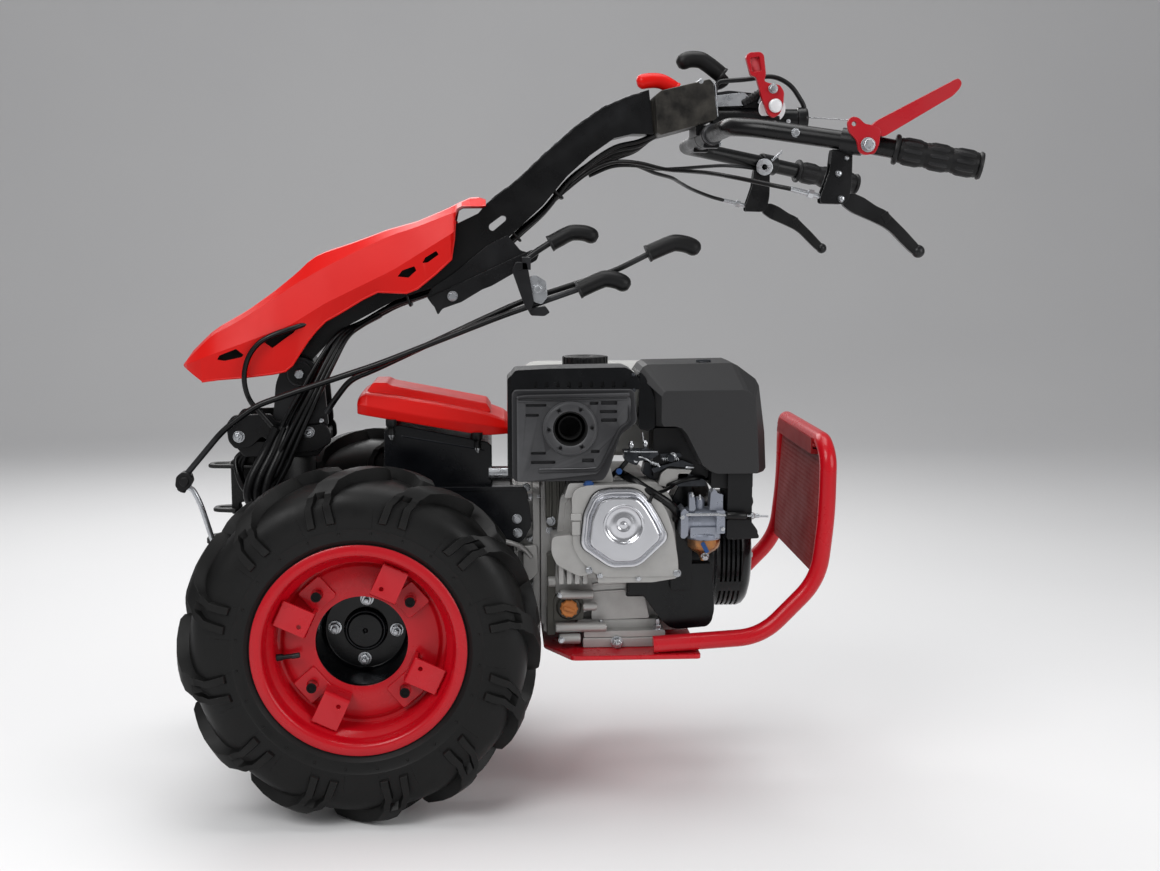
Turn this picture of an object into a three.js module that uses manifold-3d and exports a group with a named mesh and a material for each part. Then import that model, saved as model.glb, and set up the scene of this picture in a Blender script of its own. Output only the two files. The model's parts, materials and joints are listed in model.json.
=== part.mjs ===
// Two-wheel walking tractor with a petrol engine, a swivelling handlebar column and a front bumper.
// Millimetres, +Z up, +X towards the engine and bumper, -Y the right-hand side.
// The parts are laid out from the middle of the wheel axle, and the finished group is moved
// so that its origin is midway between the operator's two hand grips.

import * as THREE from "three";
import { mergeVertices } from "three/addons/utils/BufferGeometryUtils.js";
import Module from "manifold-3d";

const wasm = await Module();
wasm.setup();

// ---------------------------------------------------------------- driving dimensions

const SEAT_GAP = 0.3; // between two fixed pieces that touch
const CLAMP_GAP = 0.8; // round a faceted tube inside a clamp or socket
const ROUND_STEPS = 28; // facets round a wheel
const SHAFT_STEPS = 20; // facets round a shaft or boss
const TUBE_SIDES = 8; // facets round a bent tube

const TYRE = { radius: 288, halfWidth: 64, treadHalfWidth: 52, sideWall: 11, crownWall: 18 };
const RIM = { flangeRadius: 170, seatRadius: 152.5, wellRadius: 140, halfWidth: 50, sheet: 3.5 };
const DISC = { offset: 10, sheet: 5, holeRadius: 74, padRadius: 105, padSize: 45, padProud: 6 };
const TAB = { radius: 122, length: 50, width: 47, proud: 30, sheet: 6, firstAngle: 65 };
const PAD_FIRST_ANGLE = 40;
const WHEEL_TRACK = 460;

const AXLE_HOUSING = { radius: 58, end: 120, boreDepth: 70 };
const AXLE_SHAFT = { radius: 19, bearingGap: 0.8 };
const HUB = { standOff: 7, flange: 8, cupWall: 6, ringWidth: 51, capRadius: 30, capHeight: 15 };

const GEARBOX = { halfWidth: 80, frontHalfWidth: 104, top: 212, rearTop: 152, bottom: -88 };
const GEARBOX_ENDS = { rear: -205, step: 88, front: 245 };
const BELL = { length: 46, flange: 13, halfWidth: 104, top: 240, bottom: -52, corner: 38 };
const SIDE_PLATE = { sheet: 5, front: 280, rear: 84, top: 238, bottom: 132 };
const HITCH = { length: 26, halfWidth: 70, top: 60, bottom: -80, lug: 60, lugSheet: 9, lugHalfWidth: 32 };

const HOOD_SUPPORT = { front: 208, rear: 32, halfWidth: 88, rearTop: 335, frontTop: 306 };
const HOOD = { halfWidth: 96, shoulderHalfWidth: 85, crownHalfWidth: 62, rear: -10, front: 245 };
const HOOD_STUD_RADIUS = 7;

const SWIVEL = { x: -145, padRadius: 72, padHeight: 34, plateGap: 1.5 };
const SWIVEL_PIN = { radius: 20, depth: 26, gap: 0.7 };
const TURRET = { postRadius: 66, postTop: 275, earHalfWidth: 55, cheekSheet: 9 };
const TILT = { x: -110, z: 417, headRadius: 30, pinRadius: 9 };
const COLUMN = { halfWidth: 32, cheekGap: 6 };

const HEAD_BOX = { halfWidth: 70 };
const CONSOLE = { radius: 20, y: -10 };
const HANDLE = { tubeRadius: 14, gripRadius: 20, bore: 14.6 };
const HOLD = { x: 870, z: 760 }; // midway between the grips

const COWL = { halfWidth: 90, sheet: 4 };
const ROD = { radius: 5, speedY: -129, driveY: -112, knobRadius: 13 };
const CABLES = { bundleRadius: 10, loopRadius: 12 };

const ENGINE = { rear: BELL.length + GEARBOX_ENDS.front + SEAT_GAP, front: 540, top: 241, bottom: -19 };
const ENGINE_WIDTH = { crankcase: 105, head: 226, cover: 240 };
const FAN = { radius: 124, z: 102, depth: 114, drum: 44, starterRadius: 102, edge: 20 };
const GUARD = { back: -135, face: -213, outletRadius: 23, outletDepth: 34 };
const TANK = { back: 196, front: -70, bottom: 276, top: 420, rear: 252, frontX: 600, corner: 26 };
const CAP = { x: 373, y: 0, radius: 39, height: 20 };
const AIR_BOX = { back: -76, face: -217, rear: 452 };
const CARBURETTOR = { y: -184, halfWidth: 24, bowlRadius: 26, bowlDrop: 40 };

const CRADLE = {
  rear: 296, shoulder: 340, front: 552, rearHalfWidth: 120, halfWidth: 200, sheet: 8, top: -36,
};
const ENGINE_FOOT = { rear: 360, front: 494, halfWidth: 150 };
const BUMPER = { tubeRadius: 14, halfTrack: 186, panelSheet: 4, hoopTop: 311 };

// ---------------------------------------------------------------- finishes

function finish(color, roughness, metalness) {
  return new THREE.MeshStandardMaterial({ color, roughness, metalness });
}

const RED_PAINT = finish(0xc8181f, 0.35, 0.0);
const RED_PLASTIC = finish(0xd42a22, 0.38, 0.0);
const BLACK_PAINT = finish(0x1c1d20, 0.42, 0.1);
const BLACK_PLASTIC = finish(0x2a2b2d, 0.5, 0.0);
const GREY_PLASTIC = finish(0x3c3d3f, 0.5, 0.0);
const RUBBER = finish(0x17181a, 0.85, 0.0);
const CAST_ALUMINIUM = finish(0xb0b0ab, 0.5, 0.7);
const CAST_IRON = finish(0x3a3b3d, 0.65, 0.5);
const BRIGHT_STEEL = finish(0xd0d0d0, 0.25, 0.9);
const BARE_STEEL = finish(0x6a655e, 0.5, 0.8);
const TANK_ENAMEL = finish(0xe4e4e0, 0.3, 0.0);

// ---------------------------------------------------------------- solid modelling helpers

const X = new THREE.Vector3(1, 0, 0);
const Y = new THREE.Vector3(0, 1, 0);
const Z = new THREE.Vector3(0, 0, 1);

/** Turns a closed three.js geometry into a manifold solid with its faces pointing out. */
function solid(geometry) {
  const bare = geometry.index ? geometry.toNonIndexed() : geometry.clone();
  for (const name of Object.keys(bare.attributes)) {
    if (name !== "position") bare.deleteAttribute(name);
  }
  const merged = mergeVertices(bare, 1e-3);
  const corners = [];
  for (let i = 0; i < merged.index.count; i += 3) {
    const [a, b, c] = [0, 1, 2].map((k) => merged.index.getX(i + k));
    if (a !== b && b !== c && c !== a) corners.push(a, b, c);
  }
  const build = (order) => new wasm.Manifold(new wasm.Mesh({
    numProp: 3,
    vertProperties: Float32Array.from(merged.attributes.position.array),
    triVerts: Uint32Array.from(order),
  }));
  const made = build(corners);
  return made.volume() > 0 ? made : build(corners.slice().reverse());
}

/** Joins several solids into one. */
function join(...solids) {
  return solids.reduce((whole, next) => whole.add(next));
}

/** A rectangular block between two opposite corners. */
function block([x0, y0, z0], [x1, y1, z1]) {
  const geometry = new THREE.BoxGeometry(x1 - x0, y1 - y0, z1 - z0);
  geometry.translate((x0 + x1) / 2, (y0 + y1) / 2, (z0 + z1) / 2);
  return solid(geometry);
}

/** Extrudes an outline of [u, v] points along the third axis of the given right-handed frame. */
function extruded(outline, uAxis, vAxis, start, end) {
  const shape = new THREE.Shape(outline.map(([u, v]) => new THREE.Vector2(u, v)));
  const geometry = new THREE.ExtrudeGeometry(shape, { depth: end - start, bevelEnabled: false });
  geometry.translate(0, 0, start);
  const wAxis = new THREE.Vector3().crossVectors(uAxis, vAxis);
  geometry.applyMatrix4(new THREE.Matrix4().makeBasis(uAxis, vAxis, wAxis));
  return solid(geometry);
}

/** A side profile of [x, z] points, from one y to another. */
function slab(outline, y0, y1) {
  return extruded(outline.map(([x, z]) => [z, x]), Z, X, y0, y1);
}

/** A cross profile of [y, z] points, from one x to another. */
function crossSlab(outline, x0, x1) {
  return extruded(outline, Y, Z, x0, x1);
}

/** A plan profile of [x, y] points, from one z to another. */
function deck(outline, z0, z1) {
  return extruded(outline, X, Y, z0, z1);
}

/** Rectangle with cut corners, as [u, v] points. */
function cutRectangle(u0, u1, v0, v1, cut) {
  return [
    [u0 + cut, v0], [u1 - cut, v0], [u1, v0 + cut], [u1, v1 - cut],
    [u1 - cut, v1], [u0 + cut, v1], [u0, v1 - cut], [u0, v0 + cut],
  ];
}

/** Turns a profile of [radius, distance] points about an axis through a centre. */
function turned(profile, centre, axis, segments = SHAFT_STEPS) {
  const points = profile.map(([radius, along]) => new THREE.Vector2(radius, along));
  const [first, last] = [points[0], points[points.length - 1]];
  if (first.x > 0 || last.x > 0) points.push(first.clone());
  const geometry = new THREE.LatheGeometry(points, segments);
  geometry.applyQuaternion(new THREE.Quaternion().setFromUnitVectors(Y, axis));
  geometry.translate(centre[0], centre[1], centre[2]);
  return solid(geometry);
}

/** A round bar along an axis, from one distance to another past the centre. */
function bar(radius, centre, axis, start, end, segments = SHAFT_STEPS) {
  return turned([[0, start], [radius, start], [radius, end], [0, end]], centre, axis, segments);
}

/** A tube of round section along a route of points whose corners are rounded off. */
function bentTube(route, radius, bend, steps, sides = TUBE_SIDES) {
  const points = route.map(([x, y, z]) => new THREE.Vector3(x, y, z));
  const path = new THREE.CurvePath();
  let from = points[0];
  for (let i = 1; i < points.length - 1; i += 1) {
    const into = points[i - 1].clone().sub(points[i]);
    const out = points[i + 1].clone().sub(points[i]);
    const reach = Math.min(bend, into.length() / 2.1, out.length() / 2.1);
    const start = points[i].clone().add(into.setLength(reach));
    const end = points[i].clone().add(out.setLength(reach));
    path.add(new THREE.LineCurve3(from, start));
    path.add(new THREE.QuadraticBezierCurve3(start, points[i], end));
    from = end;
  }
  path.add(new THREE.LineCurve3(from, points[points.length - 1]));
  return swept(path, radius, steps, sides);
}

/** A round section swept along a three.js curve. */
function swept(path, radius, steps, sides = TUBE_SIDES) {
  const section = new THREE.Shape();
  for (let i = 0; i < sides; i += 1) {
    const angle = (2 * Math.PI * i) / sides;
    const [u, v] = [radius * Math.cos(angle), radius * Math.sin(angle)];
    if (i === 0) section.moveTo(u, v);
    else section.lineTo(u, v);
  }
  section.closePath();
  return solid(new THREE.ExtrudeGeometry(section, { steps, extrudePath: path, bevelEnabled: false }));
}

/** A smooth curve through the given points. */
function smooth(route) {
  return new THREE.CatmullRomCurve3(route.map(([x, y, z]) => new THREE.Vector3(x, y, z)));
}

/** Reflects a solid from the right-hand side to the left. */
function otherSide(right) {
  return right.mirror([0, 1, 0]);
}

/** Turns a solid into a named mesh. */
function piece(name, shape, material) {
  const { vertProperties, triVerts } = shape.getMesh();
  const indexed = new THREE.BufferGeometry();
  indexed.setAttribute("position", new THREE.BufferAttribute(vertProperties, 3));
  indexed.setIndex(new THREE.BufferAttribute(triVerts, 1));
  const geometry = indexed.toNonIndexed();
  geometry.computeVertexNormals();
  const mesh = new THREE.Mesh(geometry, material);
  mesh.name = name;
  return mesh;
}

/** The same piece on both sides, named with _right and _left. */
function pair(name, right, material) {
  return [piece(`${name}_right`, right, material), piece(`${name}_left`, otherSide(right), material)];
}

// ---------------------------------------------------------------- wheels

/** Places a profile of [radius, outboard] points on the right-hand wheel. */
function wheelTurned(profile) {
  const placed = profile.map(([radius, outboard]) => [radius, -WHEEL_TRACK / 2 - outboard]);
  return turned(placed, [0, 0, 0], Y, ROUND_STEPS);
}

/** Adds the inboard half of a wheel profile to its outboard half, which starts and ends off centre. */
function bothHalves(half) {
  return [...half, ...half.map(([radius, outboard]) => [radius, -outboard]).reverse()];
}

function tyre() {
  const bead = RIM.seatRadius + SEAT_GAP;
  const flangeFace = RIM.halfWidth - RIM.sheet - SEAT_GAP;
  const { radius, halfWidth, treadHalfWidth, sideWall, crownWall } = TYRE;
  const depth = radius - bead;
  const outside = bothHalves([
    [bead + 3, flangeFace], [RIM.flangeRadius + 1, flangeFace],
    [bead + 0.3 * depth, halfWidth - 4], [bead + 0.6 * depth, halfWidth],
    [bead + 0.84 * depth, halfWidth - 2],
    [radius - 9, treadHalfWidth + 4], [radius, treadHalfWidth - 14],
  ]);
  const inside = bothHalves([
    [radius - crownWall, treadHalfWidth - 20], [bead + 0.7 * depth, halfWidth - sideWall - 1],
    [RIM.flangeRadius, flangeFace - sideWall], [bead + 1.5, flangeFace - sideWall - 6],
  ]);
  return wheelTurned([...outside, ...inside.reverse()]);
}

function rim() {
  const { flangeRadius, seatRadius, wellRadius, halfWidth, sheet } = RIM;
  const outside = bothHalves([
    [flangeRadius, halfWidth], [flangeRadius, halfWidth - sheet], [seatRadius + 3, halfWidth - sheet],
    [seatRadius, 27], [wellRadius, 20],
  ]);
  const inside = bothHalves([
    [wellRadius - sheet, 22], [seatRadius - sheet, 30], [seatRadius - sheet, halfWidth - 6],
    [seatRadius + 1, halfWidth],
  ]);
  const discFace = -DISC.offset;
  const disc = [
    [wellRadius - sheet, discFace - DISC.sheet], [DISC.holeRadius, discFace - DISC.sheet],
    [DISC.holeRadius, discFace], [wellRadius - sheet, discFace],
  ];
  const [inboard, outboard] = [inside.slice(4).reverse(), inside.slice(0, 4)];
  const profile = [...outside, ...inboard.reverse(), ...disc, ...outboard];
  return join(wheelTurned(profile), ...padsAndTabs());
}

/** Bolt pads on the wheel disc, and the bent tabs welded between disc and well. */
function padsAndTabs() {
  const face = -WHEEL_TRACK / 2 + DISC.offset;
  const well = RIM.wellRadius - RIM.sheet;
  const made = [];
  for (let k = 0; k < 4; k += 1) {
    const half = DISC.padSize / 2;
    const pad = block(
      [DISC.padRadius - half, face - DISC.padProud, -half], [DISC.padRadius + half, face + 1, half],
    );
    made.push(pad.rotate([0, -(PAD_FIRST_ANGLE + 90 * k), 0]));
    const inner = TAB.radius - TAB.length / 2;
    const top = face - TAB.proud;
    const plate = block([inner, top, -TAB.width / 2], [well + 6, top + TAB.sheet, TAB.width / 2]);
    const leg = block([inner, top, -TAB.width / 2], [inner + TAB.sheet, face + 1, TAB.width / 2]);
    made.push(plate.add(leg).rotate([0, -(TAB.firstAngle + 90 * k), 0]));
  }
  return made;
}

/** Where the hub's parts lie, as distances out from the machine's middle. */
const HUB_BACK = AXLE_HOUSING.end + HUB.standOff;
const DISC_BACK = WHEEL_TRACK / 2 - DISC.offset - DISC.sheet;

function hub() {
  const cup = DISC.holeRadius + HUB.cupWall;
  const ringOut = DISC_BACK - SEAT_GAP;
  const ringIn = ringOut - HUB.cupWall;
  const face = HUB_BACK + HUB.flange;
  const profile = [
    [0, HUB_BACK], [cup, HUB_BACK], [cup, ringIn], [DISC.holeRadius + HUB.ringWidth, ringIn],
    [DISC.holeRadius + HUB.ringWidth, ringOut], [DISC.holeRadius, ringOut], [DISC.holeRadius, face],
    [HUB.capRadius + 2, face], [HUB.capRadius, face + HUB.capHeight], [0, face + HUB.capHeight],
  ];
  return turned(profile.map(([r, out]) => [r, -out]), [0, 0, 0], Y, ROUND_STEPS);
}

function axleShaft() {
  const inner = AXLE_HOUSING.end - AXLE_HOUSING.boreDepth + 5;
  return bar(AXLE_SHAFT.radius, [0, 0, 0], Y, -(HUB_BACK - SEAT_GAP), -inner);
}

function wheels() {
  return [
    ...pair("tyre", tyre(), RUBBER),
    ...pair("rim", rim(), RED_PAINT),
    ...pair("hub", hub(), BLACK_PAINT),
    ...pair("axle_shaft", axleShaft(), BARE_STEEL),
  ];
}

// ---------------------------------------------------------------- gearbox and what it carries

function gearbox() {
  const { halfWidth, frontHalfWidth, top, rearTop, bottom } = GEARBOX;
  const { rear, step, front } = GEARBOX_ENDS;
  const body = slab([
    [rear, 30], [rear, rearTop - 12], [rear + 12, rearTop], [-62, rearTop], [-30, top], [step + 2, top],
    [step + 2, bottom + 10], [40, bottom], [-60, bottom + 8], [-150, -40],
  ], -halfWidth, halfWidth);
  const frontCase = slab([
    [step, top], [front, top], [front, -30], [front - 50, bottom + 18], [step, bottom + 10],
  ], -frontHalfWidth, frontHalfWidth);
  const { radius, end, boreDepth } = AXLE_HOUSING;
  const housing = bar(radius, [0, 0, 0], Y, -end, end, 24);
  const boreRadius = AXLE_SHAFT.radius + AXLE_SHAFT.bearingGap;
  const bore = bar(boreRadius, [0, 0, 0], Y, end - boreDepth, end + 1);
  return join(body, frontCase, housing).subtract(bore).subtract(otherSide(bore));
}

function bellHousing() {
  const { length, flange, halfWidth, top, bottom, corner } = BELL;
  const start = GEARBOX_ENDS.front + SEAT_GAP;
  const end = start + length - SEAT_GAP;
  const cone = crossSlab(cutRectangle(-92, 92, bottom + 24, top - 26, corner), start, end - flange + 1);
  const plate = crossSlab(cutRectangle(-halfWidth, halfWidth, bottom, top, corner), end - flange, end);
  return cone.add(plate);
}

function sidePlate() {
  const inner = GEARBOX.frontHalfWidth + SEAT_GAP;
  const { sheet, front, rear, top, bottom } = SIDE_PLATE;
  const nose = GEARBOX_ENDS.front - 5;
  return slab([
    [rear, top - 8], [rear + 74, top - 6], [nose + 24, top], [front - 8, top - 18], [front, bottom + 26],
    [front - 14, bottom + 10], [nose, bottom], [rear, bottom],
  ], -inner - sheet, -inner);
}

/** Rear implement coupling: a flange with two slotted lugs above it. */
function hitchCoupling() {
  const face = GEARBOX_ENDS.rear - SEAT_GAP;
  const { length, halfWidth, top, bottom, lug, lugSheet, lugHalfWidth } = HITCH;
  const back = GEARBOX.rearTop - 16;
  const flange = crossSlab(cutRectangle(-halfWidth, halfWidth, bottom + 40, back, 22), face - 14, face);
  const spigot = bar(48, [0, 0, (top + bottom) / 2 + 20], X, face - length, face - 10, 24);
  const lugs = [back - lugSheet - 4, back - 80].map((z) => {
    const plate = block([face - 14 - lug, -lugHalfWidth, z], [face - 10, lugHalfWidth, z + lugSheet]);
    const slot = block([face - lug, -9, z - 1], [face - 30, 9, z + lugSheet + 1]);
    return plate.subtract(slot);
  });
  return join(flange, spigot, ...lugs);
}

function hoodSupport() {
  const { front, rear, halfWidth, rearTop, frontTop } = HOOD_SUPPORT;
  const base = GEARBOX.top + SEAT_GAP;
  const profile = [[rear, rearTop], [front, frontTop], [front + 3, base], [rear - 2, base]];
  const box = slab(profile, -halfWidth, halfWidth);
  const studs = [];
  for (const x of [rear + 16, front - 20]) {
    const top = hoodUnderside(x + HOOD_STUD_RADIUS);
    for (const y of [-halfWidth + 14, halfWidth - 14]) {
      studs.push(bar(HOOD_STUD_RADIUS, [x, y, 0], Z, frontTop - 20, top - SEAT_GAP, 10));
    }
  }
  return join(box, ...studs);
}

/** Height of the hood's lower edge at a place along the machine. */
function hoodUnderside(x) {
  const [x0, z0, x1, z1] = [HOOD.rear, 353, 190, 317];
  return x < x1 ? z0 + ((x - x0) * (z1 - z0)) / (x1 - x0) : z1 + (x - x1) * 0.04;
}

/** Moulded hood: a skirt, a narrower shoulder and a raised crown. */
function hood() {
  const { halfWidth, shoulderHalfWidth, crownHalfWidth, rear, front } = HOOD;
  const foot = [rear, 190, front].map((x) => [x, hoodUnderside(x)]);
  const skirt = slab([...foot, [front, 322], [205, 340], [rear, 372]], -halfWidth, halfWidth);
  const shoulder = slab([
    ...foot, [front - 3, 331], [200, 355], [34, 386], [rear + 4, 386], [rear, 376],
  ], -shoulderHalfWidth, shoulderHalfWidth);
  const crown = slab([
    [rear + 8, 382], [rear + 16, 400], [rear + 46, 399], [204, 364], [222, 345], [200, 350], [34, 380],
  ], -crownHalfWidth, crownHalfWidth);
  return join(skirt, shoulder, crown);
}

/** Round pad on the gearbox that the handlebar turret turns on. */
function swivelPad() {
  const { x, padRadius, padHeight } = SWIVEL;
  const base = GEARBOX.rearTop + SEAT_GAP;
  const top = base + padHeight;
  const profile = [
    [0, base], [padRadius - 14, base], [padRadius - 14, base + 12], [padRadius, base + 18],
    [padRadius, top], [0, top],
  ];
  const bore = bar(SWIVEL_PIN.radius + SWIVEL_PIN.gap, [x, 0, 0], Z, top - SWIVEL_PIN.depth - 2, top + 1);
  return turned(profile, [x, 0, 0], Z, 28).subtract(bore);
}

function gearboxAndHood() {
  return [
    piece("gearbox", gearbox(), CAST_IRON),
    piece("bell_housing", bellHousing(), CAST_ALUMINIUM),
    ...pair("side_plate", sidePlate(), BLACK_PAINT),
    piece("hitch_coupling", hitchCoupling(), CAST_IRON),
    piece("hood_support", hoodSupport(), BLACK_PAINT),
    piece("hood", hood(), RED_PLASTIC),
    piece("swivel_pad", swivelPad(), CAST_IRON),
  ];
}

// ---------------------------------------------------------------- engine

const HEAD_FRONT = 520;
const GUARD_BOTTOM = 254;

/** Crankcase with the cylinder and head lying to the right-hand side. */
function engineBlock() {
  const { rear, front, top, bottom } = ENGINE;
  const { crankcase, head } = ENGINE_WIDTH;
  const start = rear + SEAT_GAP;
  const sump = slab([
    [start, bottom], [front, bottom], [front, 150], [484, top], [start + 8, top],
  ], -crankcase, crankcase);
  const cylinder = slab([
    [312, 150], [330, 112], [387, 84], [512, 76], [HEAD_FRONT, 127], [HEAD_FRONT, 216],
    [476, 244], [330, 244], [316, 222],
  ], -head, -crankcase + 2);
  const exhaustPort = block([322, -190, top], [356, -150, GUARD_BOTTOM - SEAT_GAP]);
  const tankLegs = [-60, 90].map((y) => block([380, y, top - 2], [420, y + 24, TANK.bottom - SEAT_GAP]));
  return join(sump, cylinder, exhaustPort, ...tankLegs);
}

function valveCover() {
  const { head, cover } = ENGINE_WIDTH;
  const outline = [
    [377, 240], [447, 242], [482, 207], [494, 169], [486, 156], [443, 119], [400, 118], [354, 150],
    [348, 170], [358, 214],
  ];
  const middle = [422, 182];
  const shrink = (share) => outline.map(([x, z]) => [
    middle[0] + (x - middle[0]) * share, middle[1] + (z - middle[1]) * share,
  ]);
  const flange = slab(outline, -head - SEAT_GAP - 6, -head - SEAT_GAP);
  const crown = slab(shrink(0.82), -cover, -head - SEAT_GAP - 5);
  return flange.add(crown);
}

function mufflerGuard() {
  const { back, face, outletRadius, outletDepth } = GUARD;
  const shell = slab([
    [241, 424], [246, 434], [449, 434], [451, 400], [443, 353], [395, 264], [386, GUARD_BOTTOM],
    [250, GUARD_BOTTOM], [245, 262],
  ], face, back);
  const outlet = [337, 0, 344];
  const ring = bar(41, outlet, Y, face - 5, face + 2, 24);
  const hole = bar(outletRadius, outlet, Y, face - 6, face + outletDepth, 20);
  return shell.add(ring).subtract(hole);
}

function fuelTank() {
  const { back, front, bottom, top, rear, frontX, corner } = TANK;
  const body = deck(cutRectangle(rear, frontX, front, back, corner), bottom, top - 18);
  const crown = deck(cutRectangle(rear + 20, frontX - 20, front + 20, back - 20, corner), top - 20, top);
  return body.add(crown);
}

function fuelCap() {
  const base = TANK.top + SEAT_GAP;
  const { x, y, radius, height } = CAP;
  return turned(
    [[0, base], [radius - 8, base], [radius - 8, base + 4], [radius, base + 4], [radius, base + height],
      [0, base + height]],
    [x, y, 0], Z, 24,
  );
}

function airCleaner() {
  const { back, face, rear } = AIR_BOX;
  const box = slab([
    [rear, 432], [rear + 12, 439], [604, 441], [646, 411], [658, 265], [566, 263], [545, 290], [524, 334],
    [476, 336], [rear, 400],
  ], face, back);
  const elbow = block([CARB_FRONT + SEAT_GAP, -206, 166], [644, -120, 266]);
  return box.add(elbow);
}

const CARB_REAR = HEAD_FRONT + SEAT_GAP;
const CARB_FRONT = 590;

function carburettor() {
  const { y, halfWidth, bowlRadius, bowlDrop } = CARBURETTOR;
  const throat = block([CARB_REAR, y - halfWidth, 168], [CARB_FRONT, y + halfWidth, 214]);
  const neck = block([CARB_REAR + 24, y - 17, 210], [CARB_FRONT - 12, y + 17, 232]);
  const bowl = turned([
    [0, 152 - bowlDrop], [8, 152 - bowlDrop], [10, 160 - bowlDrop], [bowlRadius - 4, 166 - bowlDrop],
    [bowlRadius, 178 - bowlDrop], [bowlRadius, 170], [0, 170],
  ], [CARB_REAR + 37, y, 0], Z, 20);
  return join(throat, neck, bowl);
}

/** Fan cover and hand starter on the front of the engine. */
function fanCover() {
  const { radius, z, depth, drum, starterRadius, edge } = FAN;
  const start = ENGINE.front + SEAT_GAP;
  const end = start + depth;
  return turned([
    [0, start], [radius, start], [radius, start + drum], [starterRadius, start + drum + 8],
    [starterRadius, end - edge], [starterRadius - edge, end], [50, end], [44, end + 5], [0, end + 5],
  ], [0, 0, z], X, 28);
}

function engine() {
  return [
    piece("engine_block", engineBlock(), CAST_ALUMINIUM),
    piece("valve_cover", valveCover(), BRIGHT_STEEL),
    piece("muffler_guard", mufflerGuard(), GREY_PLASTIC),
    piece("fuel_tank", fuelTank(), TANK_ENAMEL),
    piece("fuel_cap", fuelCap(), BLACK_PLASTIC),
    piece("air_cleaner", airCleaner(), GREY_PLASTIC),
    piece("carburettor", carburettor(), CAST_ALUMINIUM),
    piece("fan_cover", fanCover(), BLACK_PLASTIC),
  ];
}

// ---------------------------------------------------------------- engine cradle and bumper

function engineFoot() {
  const { rear, front, halfWidth } = ENGINE_FOOT;
  return block(
    [rear, -halfWidth, CRADLE.top + SEAT_GAP], [front, halfWidth, ENGINE.bottom - SEAT_GAP],
  );
}

/** Flat plate under the engine and both bumper tubes, narrower at its rear end. */
function engineCradle() {
  const { rear, shoulder, front, rearHalfWidth, halfWidth, sheet, top } = CRADLE;
  return deck([
    [rear, -rearHalfWidth], [shoulder, -halfWidth], [front, -halfWidth], [front, halfWidth],
    [shoulder, halfWidth], [rear, rearHalfWidth],
  ], top - sheet, top);
}

/** One bent tube: forward from the cradle, up each side and over the top. */
function bumperFrame() {
  const { tubeRadius, halfTrack, hoopTop } = BUMPER;
  const low = CRADLE.top + SEAT_GAP + tubeRadius;
  const side = [
    [CRADLE.front - 76, low], [CRADLE.front + 102, low + 11], [747, 84], [759, 190], [760, hoopTop - 26],
  ];
  const right = side.map(([x, z]) => [x, -halfTrack, z]);
  const left = side.map(([x, z]) => [x, halfTrack, z]).reverse();
  const top = [[757, -halfTrack + 24, hoopTop], [757, halfTrack - 24, hoopTop]];
  return bentTube([...right, ...top, ...left], tubeRadius, 40, 56);
}

function bumperPanel() {
  const { tubeRadius, halfTrack, panelSheet, hoopTop } = BUMPER;
  const edge = halfTrack - tubeRadius - 2 * SEAT_GAP;
  const outline = cutRectangle(-edge, edge, 92, hoopTop - tubeRadius - 1, 24);
  const sheet = crossSlab(outline, -panelSheet / 2, panelSheet / 2);
  return sheet.rotate([0, 4, 0]).translate([736, 0, 0]);
}

function cradleAndBumper() {
  return [
    piece("engine_foot", engineFoot(), CAST_ALUMINIUM),
    piece("engine_cradle", engineCradle(), RED_PAINT),
    piece("bumper_frame", bumperFrame(), RED_PAINT),
    piece("bumper_panel", bumperPanel(), RED_PAINT),
  ];
}

// ---------------------------------------------------------------- turret

/** Swivel post with its two ears and the cheeks that the column tilts between. */
function turret() {
  const { x, padHeight, plateGap } = SWIVEL;
  const base = GEARBOX.rearTop + SEAT_GAP + padHeight + plateGap;
  const { postRadius, postTop, earHalfWidth, cheekSheet } = TURRET;
  const post = turned([
    [0, base], [postRadius, base], [postRadius, base + 16], [postRadius - 14, base + 30],
    [postRadius - 14, postTop], [0, postTop],
  ], [x, 0, 0], Z, 28);
  const pivot = bar(SWIVEL_PIN.radius, [x, 0, 0], Z, base - plateGap - SWIVEL_PIN.depth, base + 1);
  const bridge = slab([
    [-232, 322], [-206, 336], [-88, 336], [-62, 322], [-62, 296], [-84, 276], [-206, 272], [-230, 292],
  ], -earHalfWidth, earHalfWidth);
  const inner = COLUMN.halfWidth + COLUMN.cheekGap;
  const cheek = slab([
    [-160, 330], [-64, 330], [-70, 400], [-84, 436], [-110, 446], [-136, 436], [-152, 400],
  ], -inner - cheekSheet, -inner);
  const pin = bar(TILT.pinRadius, [TILT.x, 0, TILT.z], Y, -inner - cheekSheet - 6, inner + cheekSheet + 6);
  return join(post, pivot, bridge, cheek, otherSide(cheek), pin);
}

// ---------------------------------------------------------------- column

/** Box-section column from the tilt pin up to the head box. */
function column() {
  const { halfWidth } = COLUMN;
  const beam = slab([...COLUMN_TOP, ...COLUMN_BOTTOM.slice().reverse()], -halfWidth, halfWidth);
  const eye = bar(TILT.headRadius, [TILT.x, 0, TILT.z], Y, -halfWidth, halfWidth, 24);
  const bore = bar(TILT.pinRadius + 0.5, [TILT.x, 0, TILT.z], Y, -halfWidth - 1, halfWidth + 1);
  const slot = slab([[236, 672], [268, 694], [262, 702], [230, 680]], -halfWidth - 1, halfWidth + 1);
  const cowlPosts = COWL_POSTS.map((x) => slab([
    [x - 12, columnTop(x) - 8], [x + 12, columnTop(x) - 8], [x + 12, cowlUnderside(x + 12) - SEAT_GAP],
    [x - 12, cowlUnderside(x - 12) - SEAT_GAP],
  ], -18, 18));
  return join(beam, eye, ...cowlPosts).subtract(bore).subtract(slot);
}

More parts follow.
